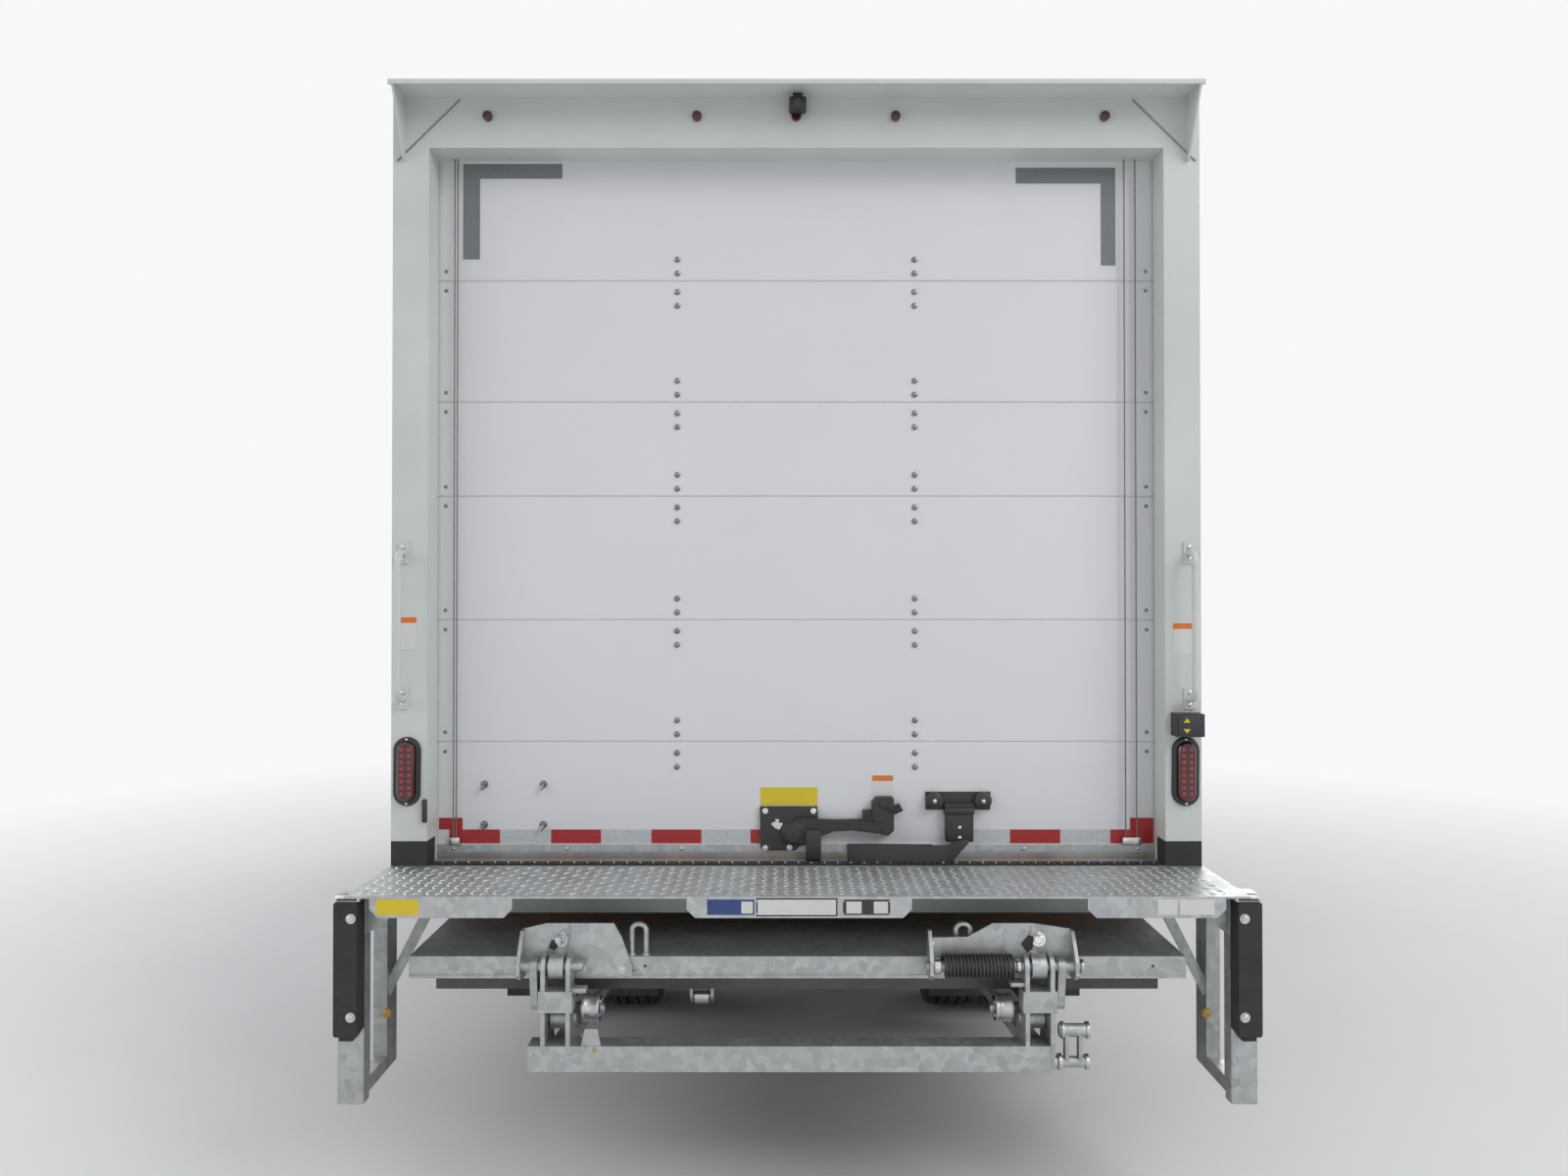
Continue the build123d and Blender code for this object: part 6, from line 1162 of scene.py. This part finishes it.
@dataclass
class Wheels:
    """Treaded tyres, and nuts, valves and caps on the wheels."""

    pitches: int = 44
    facets: int = 5
    depth: float = 0.0085
    sway: float = 0.0022
    nuts: int = 8
    nut_circle: float = 0.111
    cap_bolts: int = 6
    cap_circle: float = 0.030
    front_x: float = 0.835
    rear_x: Pair = (0.687, 0.963)
    inner: tuple[tuple[float, float, float, float], ...] = ((0.070, 0.262, 0.0, 0.0), (-0.070, 0.262, 0.0, 0.0))
    crown: tuple[tuple[float, float, float, float], ...] = (
        (0.0855, 0.2655, 0.0, 0.0), (0.0935, 0.272, 0.0, 0.0), (0.1030, 0.290, 0.0, 0.0), (0.1085, 0.306, 0.0, 0.0),
        (0.1098, 0.308, 0.0, 0.0), (0.1118, 0.322, 0.0, 0.0), (0.1128, 0.338, 0.0, 0.0), (0.1120, 0.352, 0.0, 0.0),
        (0.1098, 0.366, 0.0, 0.0), (0.1072, 0.376, 0.35, 0.0), (0.1035, 0.388, 1.0, 0.0),
        (0.0985, 0.3960, 1.0, 0.0), (0.0900, 0.4000, 1.0, 0.0),
        (0.0690, 0.4022, 0.75, 0.4), (0.0670, 0.3905, 0.0, 0.4),
        (0.0590, 0.3905, 0.0, 1.0), (0.0570, 0.4030, 0.0, 1.0), (0.0280, 0.4046, 0.0, -1.0),
        (0.0262, 0.3920, 0.0, -1.0), (0.0178, 0.3920, 0.0, 1.0), (0.0160, 0.4050, 0.0, 1.0),
    )

    def tyre(self, form: Form, middle: float) -> None:
        """Add a tyre with ribs, zigzag grooves and shoulder lugs.

        Args:
            form: The form that takes it, started from its axle.
            middle: Its middle.
        """
        profile = [(-a, r, cut, -shift) for a, r, cut, shift in self.crown]
        profile += [*reversed(self.crown), *self.inner]
        rings = []
        for index, (y, z) in enumerate(circle(1.0, self.pitches * self.facets)):
            phase = index % self.facets
            groove = self.depth if phase == 0 else 0.0
            sway = self.sway * (abs(phase / self.facets * 2 - 1) * 2 - 1)
            rings.append([Vector((middle + a + sway * shift, y * (r - groove * cut), z * (r - groove * cut)))
                          for a, r, cut, shift in profile])
        form.loft(rings, closed=True)

    def metal(self, axle: Point, side: int, disc: float, hub: float, valve: tuple[Point, Point]) -> Form:
        """Make a wheel's nuts, its hub cap's bolts and its valve.

        Args:
            axle: The axle's middle.
            side: Minus one for the left.
            disc: The disc's outer face.
            hub: The hub's outer end.
            valve: The valve's two ends on the right.

        Returns:
            The fittings.
        """
        out = (side, 0, 0)
        places = [(side * disc, y, z) for y, z in circle(self.nut_circle, self.nuts, math.pi / self.nuts)]
        form = Form(axle).turned(places, out, ((0.0, 0.0185), (0.003, 0.0185)), 18)
        form.turned(places, out, ((0.003, 0.0155), (0.016, 0.0155), (0.019, 0.012)), 6)
        form.turned(places, out, ((0.019, 0.0085), (0.025, 0.0080)), 10)
        form.bolts([(side * hub, y, z) for y, z in circle(self.cap_circle, self.cap_bolts)], out, 0.0045)
        ends = [(side * x, y, z) for x, y, z in valve]
        return form.bar(*ends, 0.004, 8)

    def build(self) -> None:
        """Make the tyres and dress the wheels."""
        front = (0.0, FRONT_AXLE_Y, AXLE_Z)
        rear = (0.0, REAR_AXLE_Y, AXLE_Z)
        valve = ((0.975, 0.17, 0.0), (0.955, 0.20, 0.0))
        for (side, name), body in zip(SIDES, (Body.FRONT_LEFT, Body.FRONT_RIGHT)):
            tread = Form(front)
            self.tyre(tread, side * self.front_x)
            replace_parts(tread.place(f"front_tread_{name}", RUBBER, body, 30.0), f"tyre_front_{name}")
            metal = self.metal(front, side, self.front_x + 0.138, self.front_x + 0.176, valve)
            metal.place(f"front_nuts_{name}", BRIGHT, body)
        valve = ((0.90, 0.19, 0.0), (0.985, 0.205, 0.0))
        for (side, name), body in zip(SIDES, (Body.REAR_LEFT, Body.REAR_RIGHT)):
            tread = Form(rear)
            for x in self.rear_x:
                self.tyre(tread, side * x)
            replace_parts(tread.place(f"rear_treads_{name}", RUBBER, body, 30.0), f"tyres_rear_{name}")
            metal = self.metal(rear, side, self.rear_x[1] - 0.126, 1.045, valve)
            metal.place(f"rear_nuts_{name}", BRIGHT, body)
        LOG.info("wheels")


@dataclass
class FreightBody:
    """Rivets, seams, tapes and lamps of the body's walls and roof."""

    first_y: float = -3.0
    last_y: float = 1.50
    bays: int = 9
    low: float = 0.995
    high: float = 3.10
    rivet: float = 0.0055
    head: float = 0.0022
    tape_z: Pair = (1.010, 1.060)
    tape: float = 0.15
    lens: tuple[Pair, ...] = ((0.0, 0.024), (0.003, 0.0235), (0.009, 0.018), (0.0115, 0.009))
    lamps: tuple[tuple[str, Finish, float, tuple[float, ...]], ...] = (
        ("side_lamp_rear", RED_LENS, -2.86, (1.125, 3.105)), ("side_lamp_front", AMBER_LENS, 1.34, (1.125, 3.105)),
        ("side_lamp_middle", AMBER_LENS, -0.75, (1.125,)),
    )

    def sides(self) -> None:
        """Rivet the side walls' posts, top rail and rub rails."""
        length = self.last_y - self.first_y
        posts = steps(self.first_y, length / self.bays, self.bays + 1)
        rows = steps(self.low, (self.high - self.low) / 29, 30)
        form = Form(WALL)
        form.domes(product((0.0,), [y + shift for y in posts for shift in (-0.019, 0.019)], rows), RIGHT,
                   self.rivet, self.head, 6)
        rail = steps(self.first_y, length / 69, 70)
        form.domes(product((0.0015,), rail, (3.125, 3.165)), RIGHT, self.rivet, self.head, 6)
        form.domes(product((0.004,), rail[::3], (0.930,)), RIGHT, 0.009, 0.003, 8)
        form.mirrored().place("wall_rivets", ALUMINIUM)
        seams = Form(WALL)
        for y in posts[1:-1]:
            seams.box((0.0, y - 0.0275, self.low - 0.01), (0.0009, y + 0.0275, self.high + 0.005))
        seams.mirrored().place("wall_laps", BODY_WHITE)
        Form(WALL).box((0.0, -3.035, 3.108), (0.0015, 1.505, 3.186)).mirrored().place("top_rails", ALUMINIUM)

    def tapes(self) -> None:
        """Add the striped tape and the side lamps."""
        z0, z1 = self.tape_z
        for finish, name, start in ((RED_TAPE, "side_tape_red", -2.92), (WHITE_TAPE, "side_tape_white", -2.77)):
            form = Form(WALL)
            for y in steps(start, 0.41, 11):
                form.box((0.0, y, z0), (0.0012, y + self.tape, z1))
            form.mirrored().place(name, finish)
        for name, finish, y, rises in self.lamps:
            Form(WALL).turned(product((0.0,), (y,), rises), RIGHT, self.lens, 24).mirrored().place(name, finish)

    def ends(self) -> None:
        """Add the front wall's rivets and clearance lamps, and the roof's bow seams."""
        rivets = product(steps(-0.88, 0.44, 5), (BODY_FRONT_Y,), steps(0.95, 0.086, 26))
        Form().domes(rivets, AHEAD, self.rivet, self.head, 6).place("front_rivets", ALUMINIUM)
        lamps = Form()
        for x in (-0.92, -0.15, 0.0, 0.15, 0.92):
            lamps.box((x - 0.045, BODY_FRONT_Y - 0.001, 3.125), (x + 0.045, BODY_FRONT_Y + 0.006, 3.155), 0.0055)
        lamps.place("front_lamps", AMBER_LENS)
        seams = Form()
        for y in steps(-2.43, 0.57, 7):
            seams.box((-1.16, y - 0.02, 3.2995), (1.16, y + 0.02, 3.301))
        seams.place("roof_seams", BODY_WHITE)

    def build(self) -> None:
        """Dress the freight body."""
        self.sides()
        self.tapes()
        self.ends()
        LOG.info("freight body")


@dataclass
class Cab:
    """The cab's trim: seals, wipers, handles, lamps, mirror glass and seams."""

    belt: float = 1.40
    brow: float = 2.15
    screen: tuple[Pair, ...] = ((-0.86, 1.42), (0.86, 1.42), (0.80, 2.11), (-0.80, 2.11))
    window: tuple[Pair, ...] = ((2.3585, 1.42), (3.1945, 1.42), (3.0495, 2.088), (2.3585, 2.088))
    wiper_z: float = 1.408
    wiper_lean: float = -0.27
    blade: tuple[Pair, ...] = ((-0.205, -0.030), (-0.10, -0.012), (0.0, 0.0), (0.12, 0.010), (0.23, 0.014))
    headlamp: Pair = (0.690, 0.905)
    cup: tuple[Pair, ...] = ((0.0, 0.080), (0.0018, 0.080), (0.0018, 0.073), (0.0004, 0.066), (0.0004, 0.026),
                             (0.0016, 0.022), (0.0016, 0.012))
    seam: float = 0.79

    def face_y(self, z: float) -> float:
        """Find the front face's place at a height.

        Args:
            z: The height.

        Returns:
            The face's Y.
        """
        if z < self.belt - 0.09:
            return FACE_Y
        if z < self.belt:
            return FACE_Y - 0.03 * (z - self.belt + 0.09) / 0.09
        if z < self.brow:
            return FACE_Y - 0.03 - 0.165 * (z - self.belt) / 0.75
        return FACE_Y - 0.195 - 0.135 * (z - self.brow) / 0.13

    def side_x(self, z: float) -> float:
        """Find the side's place at a height."""
        return 1.0 if z < self.belt else 1.0 - 0.07 * (z - self.belt) / 0.79

    def seal(self, form: Form, corners: Iterable[Point], radius: float, round_by: float = 0.045) -> None:
        """Run a rubber seal round an opening with round corners.

        Args:
            form: The form that takes it.
            corners: The opening's corners.
            radius: The seal's radius.
            round_by: The corners' reach.
        """
        path = []
        points = [Vector(corner) for corner in corners]
        for before, corner, after in zip(points[-1:] + points, points, points[1:] + points[:1]):
            start = corner + (before - corner).normalized() * round_by
            end = corner + (after - corner).normalized() * round_by
            path += [start.lerp(corner, t).lerp(corner.lerp(end, t), t) for t in (0.0, 0.25, 0.5, 0.75, 1.0)]
        form.tube([*path, path[0]], radius)

    def frame(self, form: Form, edges: tuple[float, float, float, float], y: float, radius: float,
              round_by: float) -> None:
        """Run a seal round an upright oblong.

        Args:
            form: The form that takes it.
            edges: Its two places across and its foot and top.
            y: Its plane.
            radius: The seal's radius.
            round_by: The corners' reach.
        """
        x0, x1, z0, z1 = edges
        self.seal(form, ((x0, y, z0), (x1, y, z0), (x1, y, z1), (x0, y, z1)), radius, round_by)

    def glazing(self) -> None:
        """Seal the screens and the door windows."""
        seals = Form()
        self.seal(seals, [(x, self.face_y(z) - 0.004, z) for x, z in self.screen], 0.011, 0.07)
        self.frame(seals, (-0.42, 0.42, 1.56, 1.96), 1.789, 0.008, 0.045)
        seals.place("screen_seals", RUBBER, Body.CAB)
        for (side, name), body in zip(SIDES, (Body.DOOR_LEFT, Body.DOOR_RIGHT)):
            form = Form()
            self.seal(form, [(side * (self.side_x(z) - 0.003), y, z) for y, z in self.window], 0.006, 0.05)
            form.place(f"window_seal_{name}", RUBBER, body)
            trim = Form((side, 0.0, 0.0))
            trim.box((side * -0.004, 2.33, 1.130), (side * 0.003, 2.50, 1.195), 0.003)
            trim.box((side * 0.001, 2.345, 1.150), (side * 0.016, 2.470, 1.172), 0.006)
            trim.turned([(side * 0.002, 2.487, 1.161)], (side, 0, 0), ((0.0, 0.009), (0.003, 0.008)))
            trim.box((side * -0.001, 2.32, 0.985), (side * 0.004, 2.88, 1.02), 0.0015)
            trim.place(f"door_handle_{name}", PLASTIC, body)

    def wipers(self) -> None:
        """Add two wipers at the windscreen's foot."""
        form = Form()
        z = self.wiper_z
        y = self.face_y(z)
        for pivot in (-0.34, 0.34):
            form.turned([(pivot, y - 0.008, z)], (0, 1, 0.2), ((0.0, 0.018), (0.020, 0.016), (0.026, 0.008)), 18)
            tip = (pivot + self.wiper_lean, self.face_y(1.50) + 0.012, 1.50)
            form.tube([(pivot, y + 0.012, z), (pivot + self.wiper_lean * 0.3, y + 0.016, z + 0.012), tip], 0.005)
            form.tube([(tip[0] + run, self.face_y(tip[2] + rise) + 0.006, tip[2] + rise)
                       for run, rise in self.blade], 0.0055)
        form.place("wipers", PLASTIC, Body.CAB)

    def headlamps(self) -> None:
        """Add the headlamps' cups and flutes and the indicators under them."""
        cups, flutes, amber = Form(CAB_FACE), Form(CAB_FACE), Form(CAB_FACE)
        x, z = self.headlamp
        for side, _ in SIDES:
            cups.turned([(side * x, 0.0205, z)], AHEAD, self.cup, 40)
            for step in range(9):
                reach = 0.068 * math.sqrt(max(0.05, 1.0 - ((step - 4) / 4.6) ** 2))
                start = x - 0.062 + step * 0.0155
                flutes.box((side * start, 0.0202, z - reach), (side * (start + 0.0015), 0.0222, z + reach))
            amber.box((side * 0.610, -0.001, 0.742), (side * 0.772, 0.012, 0.778), 0.005)
        cups.place("lamp_cups", BRIGHT, Body.CAB)
        flutes.place("lamp_flutes", CLEAR_LENS, Body.CAB)
        amber.place("indicators", AMBER_LENS, Body.CAB)

    def face(self) -> None:
        """Add the grille's bars, lamp details, indicators and panel seams."""
        bars = Form(CAB_FACE)
        for x, z in product(steps(-0.51, 0.0392, 27), steps(0.9225, 0.046, 4)):
            bars.box((x, 0.0045, z), (x + 0.003, 0.013, z + 0.0245))
        bars.box((-0.548, 0.015, 1.094), (0.548, 0.0185, 1.102), 0.0012)
        bars.place("grille_bars", CHASSIS, Body.CAB)
        self.headlamps()
        bezels = Form(CAB_FACE)
        for side, _ in SIDES:
            self.frame(bezels, (side * 0.584, side * 0.796, 0.784, 1.006), 0.003, 0.006, 0.03)
        self.frame(bezels, (-0.57, 0.57, 0.89, 1.12), 0.001, 0.005, 0.02)
        bezels.place("face_trim", PLASTIC, Body.CAB)
        seams = Form(CAB_FACE)
        for z in (1.300, 1.145, 0.735):
            seams.box((-self.seam, -0.001, z - 0.002), (self.seam, 0.0006, z + 0.002))
        for x in (-self.seam, self.seam - 0.004):
            seams.box((x, -0.001, 1.145), (x + 0.004, 0.0006, 1.300))
        seams.place("cab_seams", CHASSIS, Body.CAB)
        z = 2.205
        roof = product((-0.62, -0.16, 0.0, 0.16, 0.62), (self.face_y(z) - 0.004,), (z,))
        roof = Form().turned(roof, (0, 0.69, 0.72), ((0.0, 0.030), (0.008, 0.027), (0.016, 0.016)), 20)
        roof.place("cab_roof_lamps", AMBER_LENS, Body.CAB)
        corner = Form()
        for side, _ in SIDES:
            corner.box((side * 0.998, 3.300, 0.990), (side * 1.006, 3.345, 1.050), 0.003)
        corner.place("side_indicators", AMBER_LENS, Body.CAB)

    def mirrors(self) -> None:
        """Face the mirrors with glass."""
        form, rims = Form(), Form()
        for side, _ in SIDES:
            for z0, z1 in ((1.610, 1.836), (1.474, 1.596)):
                form.box((side * 1.106, 3.2705, z0), (side * 1.274, 3.2735, z1), 0.001)
            self.frame(rims, (side * 1.102, side * 1.278, 1.470, 1.840), 3.2725, 0.004, 0.02)
        form.place("mirror_glass", MIRROR, Body.CAB)
        rims.place("mirror_rims", PLASTIC, Body.CAB)

    def inside(self) -> None:
        """Add the instruments, vents, gear lever, pedals and steering column stalks."""
        form = Form().box((-0.80, 3.07, 1.375), (-0.32, 3.20, 1.425), 0.018)
        form.box((-0.30, 3.165, 1.20), (0.30, 3.182, 1.345), 0.006)
        form.tube([(-0.08, 2.97, 1.02), (-0.09, 2.95, 1.16), (-0.09, 2.90, 1.26)], 0.010, 10)
        form.turned([(-0.09, 2.90, 1.25)], (0, -0.45, 1), (
            (0.0, 0.014), (0.02, 0.026), (0.045, 0.026), (0.06, 0.012)), 18)
        for x in (-0.72, -0.60, -0.46):
            form.box((x, 3.13, 1.02), (x + 0.07, 3.145, 1.10), 0.004)
            form.tube([(x + 0.035, 3.14, 1.05), (x + 0.035, 3.30, 1.16)], 0.008)
        for end in (-0.73, -0.39):
            form.tube([(-0.56, 3.15, 1.34), (end, 3.08, 1.385)], 0.006)
        form.place("cab_controls", PLASTIC, Body.CAB)
        dials = Form().turned(product((-0.655, -0.465), (3.0698,), (1.397,)), (0, -1, 0.1),
                              ((0.0, 0.020), (0.002, 0.020), (0.002, 0.017)), 24)
        dials.turned(product((-0.23, -0.08, 0.08, 0.23), (3.1640,), (1.30,)), BACK,
                     ((0.0, 0.022), (0.006, 0.020), (0.006, 0.014)), 20)
        dials.place("dials", BRIGHT, Body.CAB)

    def build(self) -> None:
        """Dress the cab."""
        self.glazing()
        self.wipers()
        self.face()
        self.mirrors()
        self.inside()
        LOG.info("cab")


@dataclass
class Seats:
    """Two padded seats with sewn cushions, backs and headrests."""

    middle: float = 0.64
    floor: float = 0.975
    cushion: Point = (0.47, 0.51, 0.103)
    cushion_middle: Pair = (2.19, 1.1765)
    uprights: tuple[tuple[str, float, float, float, float, float, int], ...] = (
        ("back", 1.235, 1.650, 0.455, 0.088, 0.008, 3), ("headrest", 1.672, 1.822, 0.27, 0.080, 0.006, 1),
    )
    cuts: int = 21
    corner_power: int = 7
    groove: Pair = (0.006, 0.035)

    def pad(self, size: Point, crown: float, panels: int = 3) -> Form:
        """Make a crowned cushion about its own middle, with sewn panels.

        Args:
            size: Its width, depth and height.
            crown: How far its top swells.
            panels: Panels across it.

        Returns:
            The cushion, centred on the origin.
        """
        form = Form()
        bmesh.ops.create_cube(form.mesh, size=1.0)
        bmesh.ops.subdivide_edges(form.mesh, edges=form.mesh.edges[:], cuts=self.cuts, use_grid_fill=True)
        depth, reach = self.groove
        power = self.corner_power
        for vert in form.mesh.verts:
            cube = vert.co * 2
            pinch = 1.0 - 0.07 * (cube.x * cube.x) * (cube.y * cube.y)
            corner = max(abs(value) for value in cube)
            length = sum(abs(value) ** power for value in cube) ** (1 / power)
            u, v, w = (value / length * corner for value in cube)
            swell = crown * (1 - u * u) * (1 - v * v) * (1 if w > 0 else -0.15) * abs(w)
            seam = abs((u * panels / 2) % 1.0 - 0.5) if panels > 1 else 0.5
            sunk = depth * math.exp(-((0.5 - seam) / reach) ** 2) if w > 0.5 else 0.0
            vert.co = Vector((u * pinch * size[0] / 2, v * pinch * size[1] / 2, w * size[2] / 2 + swell - sunk))
        return form

    def cover(self, form: Form, name: str) -> bpy.types.Object:
        """Place a cushion in the cab, covered in seat cloth.

        Args:
            form: The cushion.
            name: Its name.

        Returns:
            The piece.
        """
        made = form.place(name, SEAT_CLOTH, Body.CAB, 180.0)
        return made

    def build(self) -> None:
        """Make both seats."""
        for side, name in SIDES:
            x = side * self.middle
            seat = self.pad(self.cushion, 0.016)
            seat.start = Vector((x, *self.cushion_middle))
            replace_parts(self.cover(seat, f"seat_cushion_{name}"), "cab_seats")
            for part, bottom, top, width, thick, crown, panels in self.uprights:
                pad = self.pad((width, top - bottom, thick), crown, panels)
                for vert in pad.mesh.verts:
                    across, up, out = vert.co
                    z = (bottom + top) / 2 + up
                    vert.co = Vector((x + across, 1.966 - 0.125 * (z - 1.235) + out, z))
                self.cover(pad, f"seat_{part}_{name}")
            base = Form((x, 0.0, 0.0)).box((-0.20, 1.955, self.floor), (0.20, 2.365, 1.105), 0.012)
            base.box((-0.225, 1.94, 1.103), (0.225, 2.43, 1.123), 0.006)
            for post in (-0.07, 0.07):
                base.bar((post, 1.92, 1.63), (post, 1.915, 1.69), 0.006, 10)
            base.place(f"seat_base_{name}", PLASTIC, Body.CAB)
        LOG.info("seats")


@dataclass
class Chassis:
    """Fasteners, shock absorbers, straps, lines and fittings under the truck."""

    rod: float = 0.008
    grip: Pair = (0.038, 0.052)
    springs: tuple[tuple[float, float, float, float], ...] = (
        (0.384, FRONT_AXLE_Y, 0.325, 0.470), (0.4595, REAR_AXLE_Y, 0.335, 0.545),
    )
    damper_ends: tuple[tuple[Point, Point], ...] = (
        ((0.50, FRONT_AXLE_Y + 0.10, 0.395), (0.452, FRONT_AXLE_Y + 0.22, 0.72)),
        ((0.53, REAR_AXLE_Y - 0.11, 0.42), (0.455, REAR_AXLE_Y - 0.30, 0.79)),
    )

    def clamps(self) -> None:
        """Add the springs' U-bolts and their plates."""
        form = Form()
        across, along = self.grip
        for x, y, low, high in self.springs:
            for a, b in product((x - across, x + across), (y - along, y + along)):
                form.bar((a, b, low), (a, b, high), self.rod, 10)
                form.turned([(a, b, low - 0.004)], (0, 0, -1), ((0.0, 0.014), (0.013, 0.014)), 6)
            form.box((x - 0.052, y - 0.068, low + 0.002), (x + 0.052, y + 0.068, low + 0.018), 0.003)
            for b in (y - along, y + along):
                form.bar((x - across, b, high), (x + across, b, high), self.rod, 10)
        form.mirrored().place("spring_clamps", CAST)

    def dampers(self) -> None:
        """Add the shock absorbers."""
        form = Form()
        for start, end in self.damper_ends:
            line = Vector(end) - Vector(start)
            length = line.length
            form.turned([start], line, (
                (0.0, 0.012), (0.02, 0.020), (0.03, 0.027), (length * 0.55, 0.027), (length * 0.56, 0.0335),
                (length - 0.03, 0.0335), (length - 0.02, 0.018), (length, 0.012)), 20)
            form.bar((start[0] - 0.05, *start[1:]), (start[0] + 0.028, *start[1:]), 0.011)
            form.bar((0.420, *end[1:]), (end[0] + 0.028, *end[1:]), 0.011)
        form.mirrored().place("dampers", CHASSIS)

    def units(self) -> None:
        """Add the tank's cap, the battery box's lid and catches, the brake lines and the mudflaps' bolts."""
        cap = Form().turned([(-0.70, 0.45, 0.758)], UP, (
            (0.0, 0.044), (0.018, 0.044), (0.020, 0.050), (0.034, 0.048), (0.036, 0.02)), 28)
        cap.place("tank_cap", PLASTIC)
        lid = Form().box((0.416, 0.776, 0.730), (0.784, 1.214, 0.764), 0.006)
        for y in (0.87, 1.12):
            lid.box((0.780, y - 0.015, 0.66), (0.788, y + 0.015, 0.745), 0.002)
            lid.turned([(0.786, y, 0.675)], RIGHT, ((0.0, 0.010), (0.006, 0.009)), 14)
        lid.place("battery_lid", PLASTIC)
        pipes = Form()
        for x, z in ((-0.348, 0.60), (-0.348, 0.612), (0.348, 0.60)):
            pipes.tube([(x, 2.05, z), (x, 1.2, z), (x, 0.0, z), (x, -1.10, z), (x * 0.9, -1.30, z - 0.06)], 0.004)
        pipes.place("brake_lines", BRIGHT)
        across = [side * x for side, _ in SIDES for x in steps(0.60, 0.12, 5)]
        Form().domes(product(across, (-2.156,), (0.872,)), BACK, 0.008, 0.004).place("mudflap_bolts", BRIGHT)

    def build(self) -> None:
        """Dress the chassis."""
        rails = product((0.4205,), steps(-2.75, 0.205, 30), (0.64, 0.86))
        Form().bolts(rails, RIGHT, 0.009).mirrored().place("rail_bolts", CHASSIS)
        self.clamps()
        self.dampers()
        self.units()
        LOG.info("chassis")


def main() -> None:
    """Build every part of the picture in order."""
    logging.basicConfig(level=logging.INFO, format="%(name)s: %(message)s")
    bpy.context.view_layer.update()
    Studio().build()
    PackedFinishes().apply()
    for part in (RollupDoor, Portal, ExtensionPlate, LiftGate, PullStrap, Wheels, FreightBody, Cab, Seats, Chassis):
        part().build()


if __name__ == "__main__":
    main()
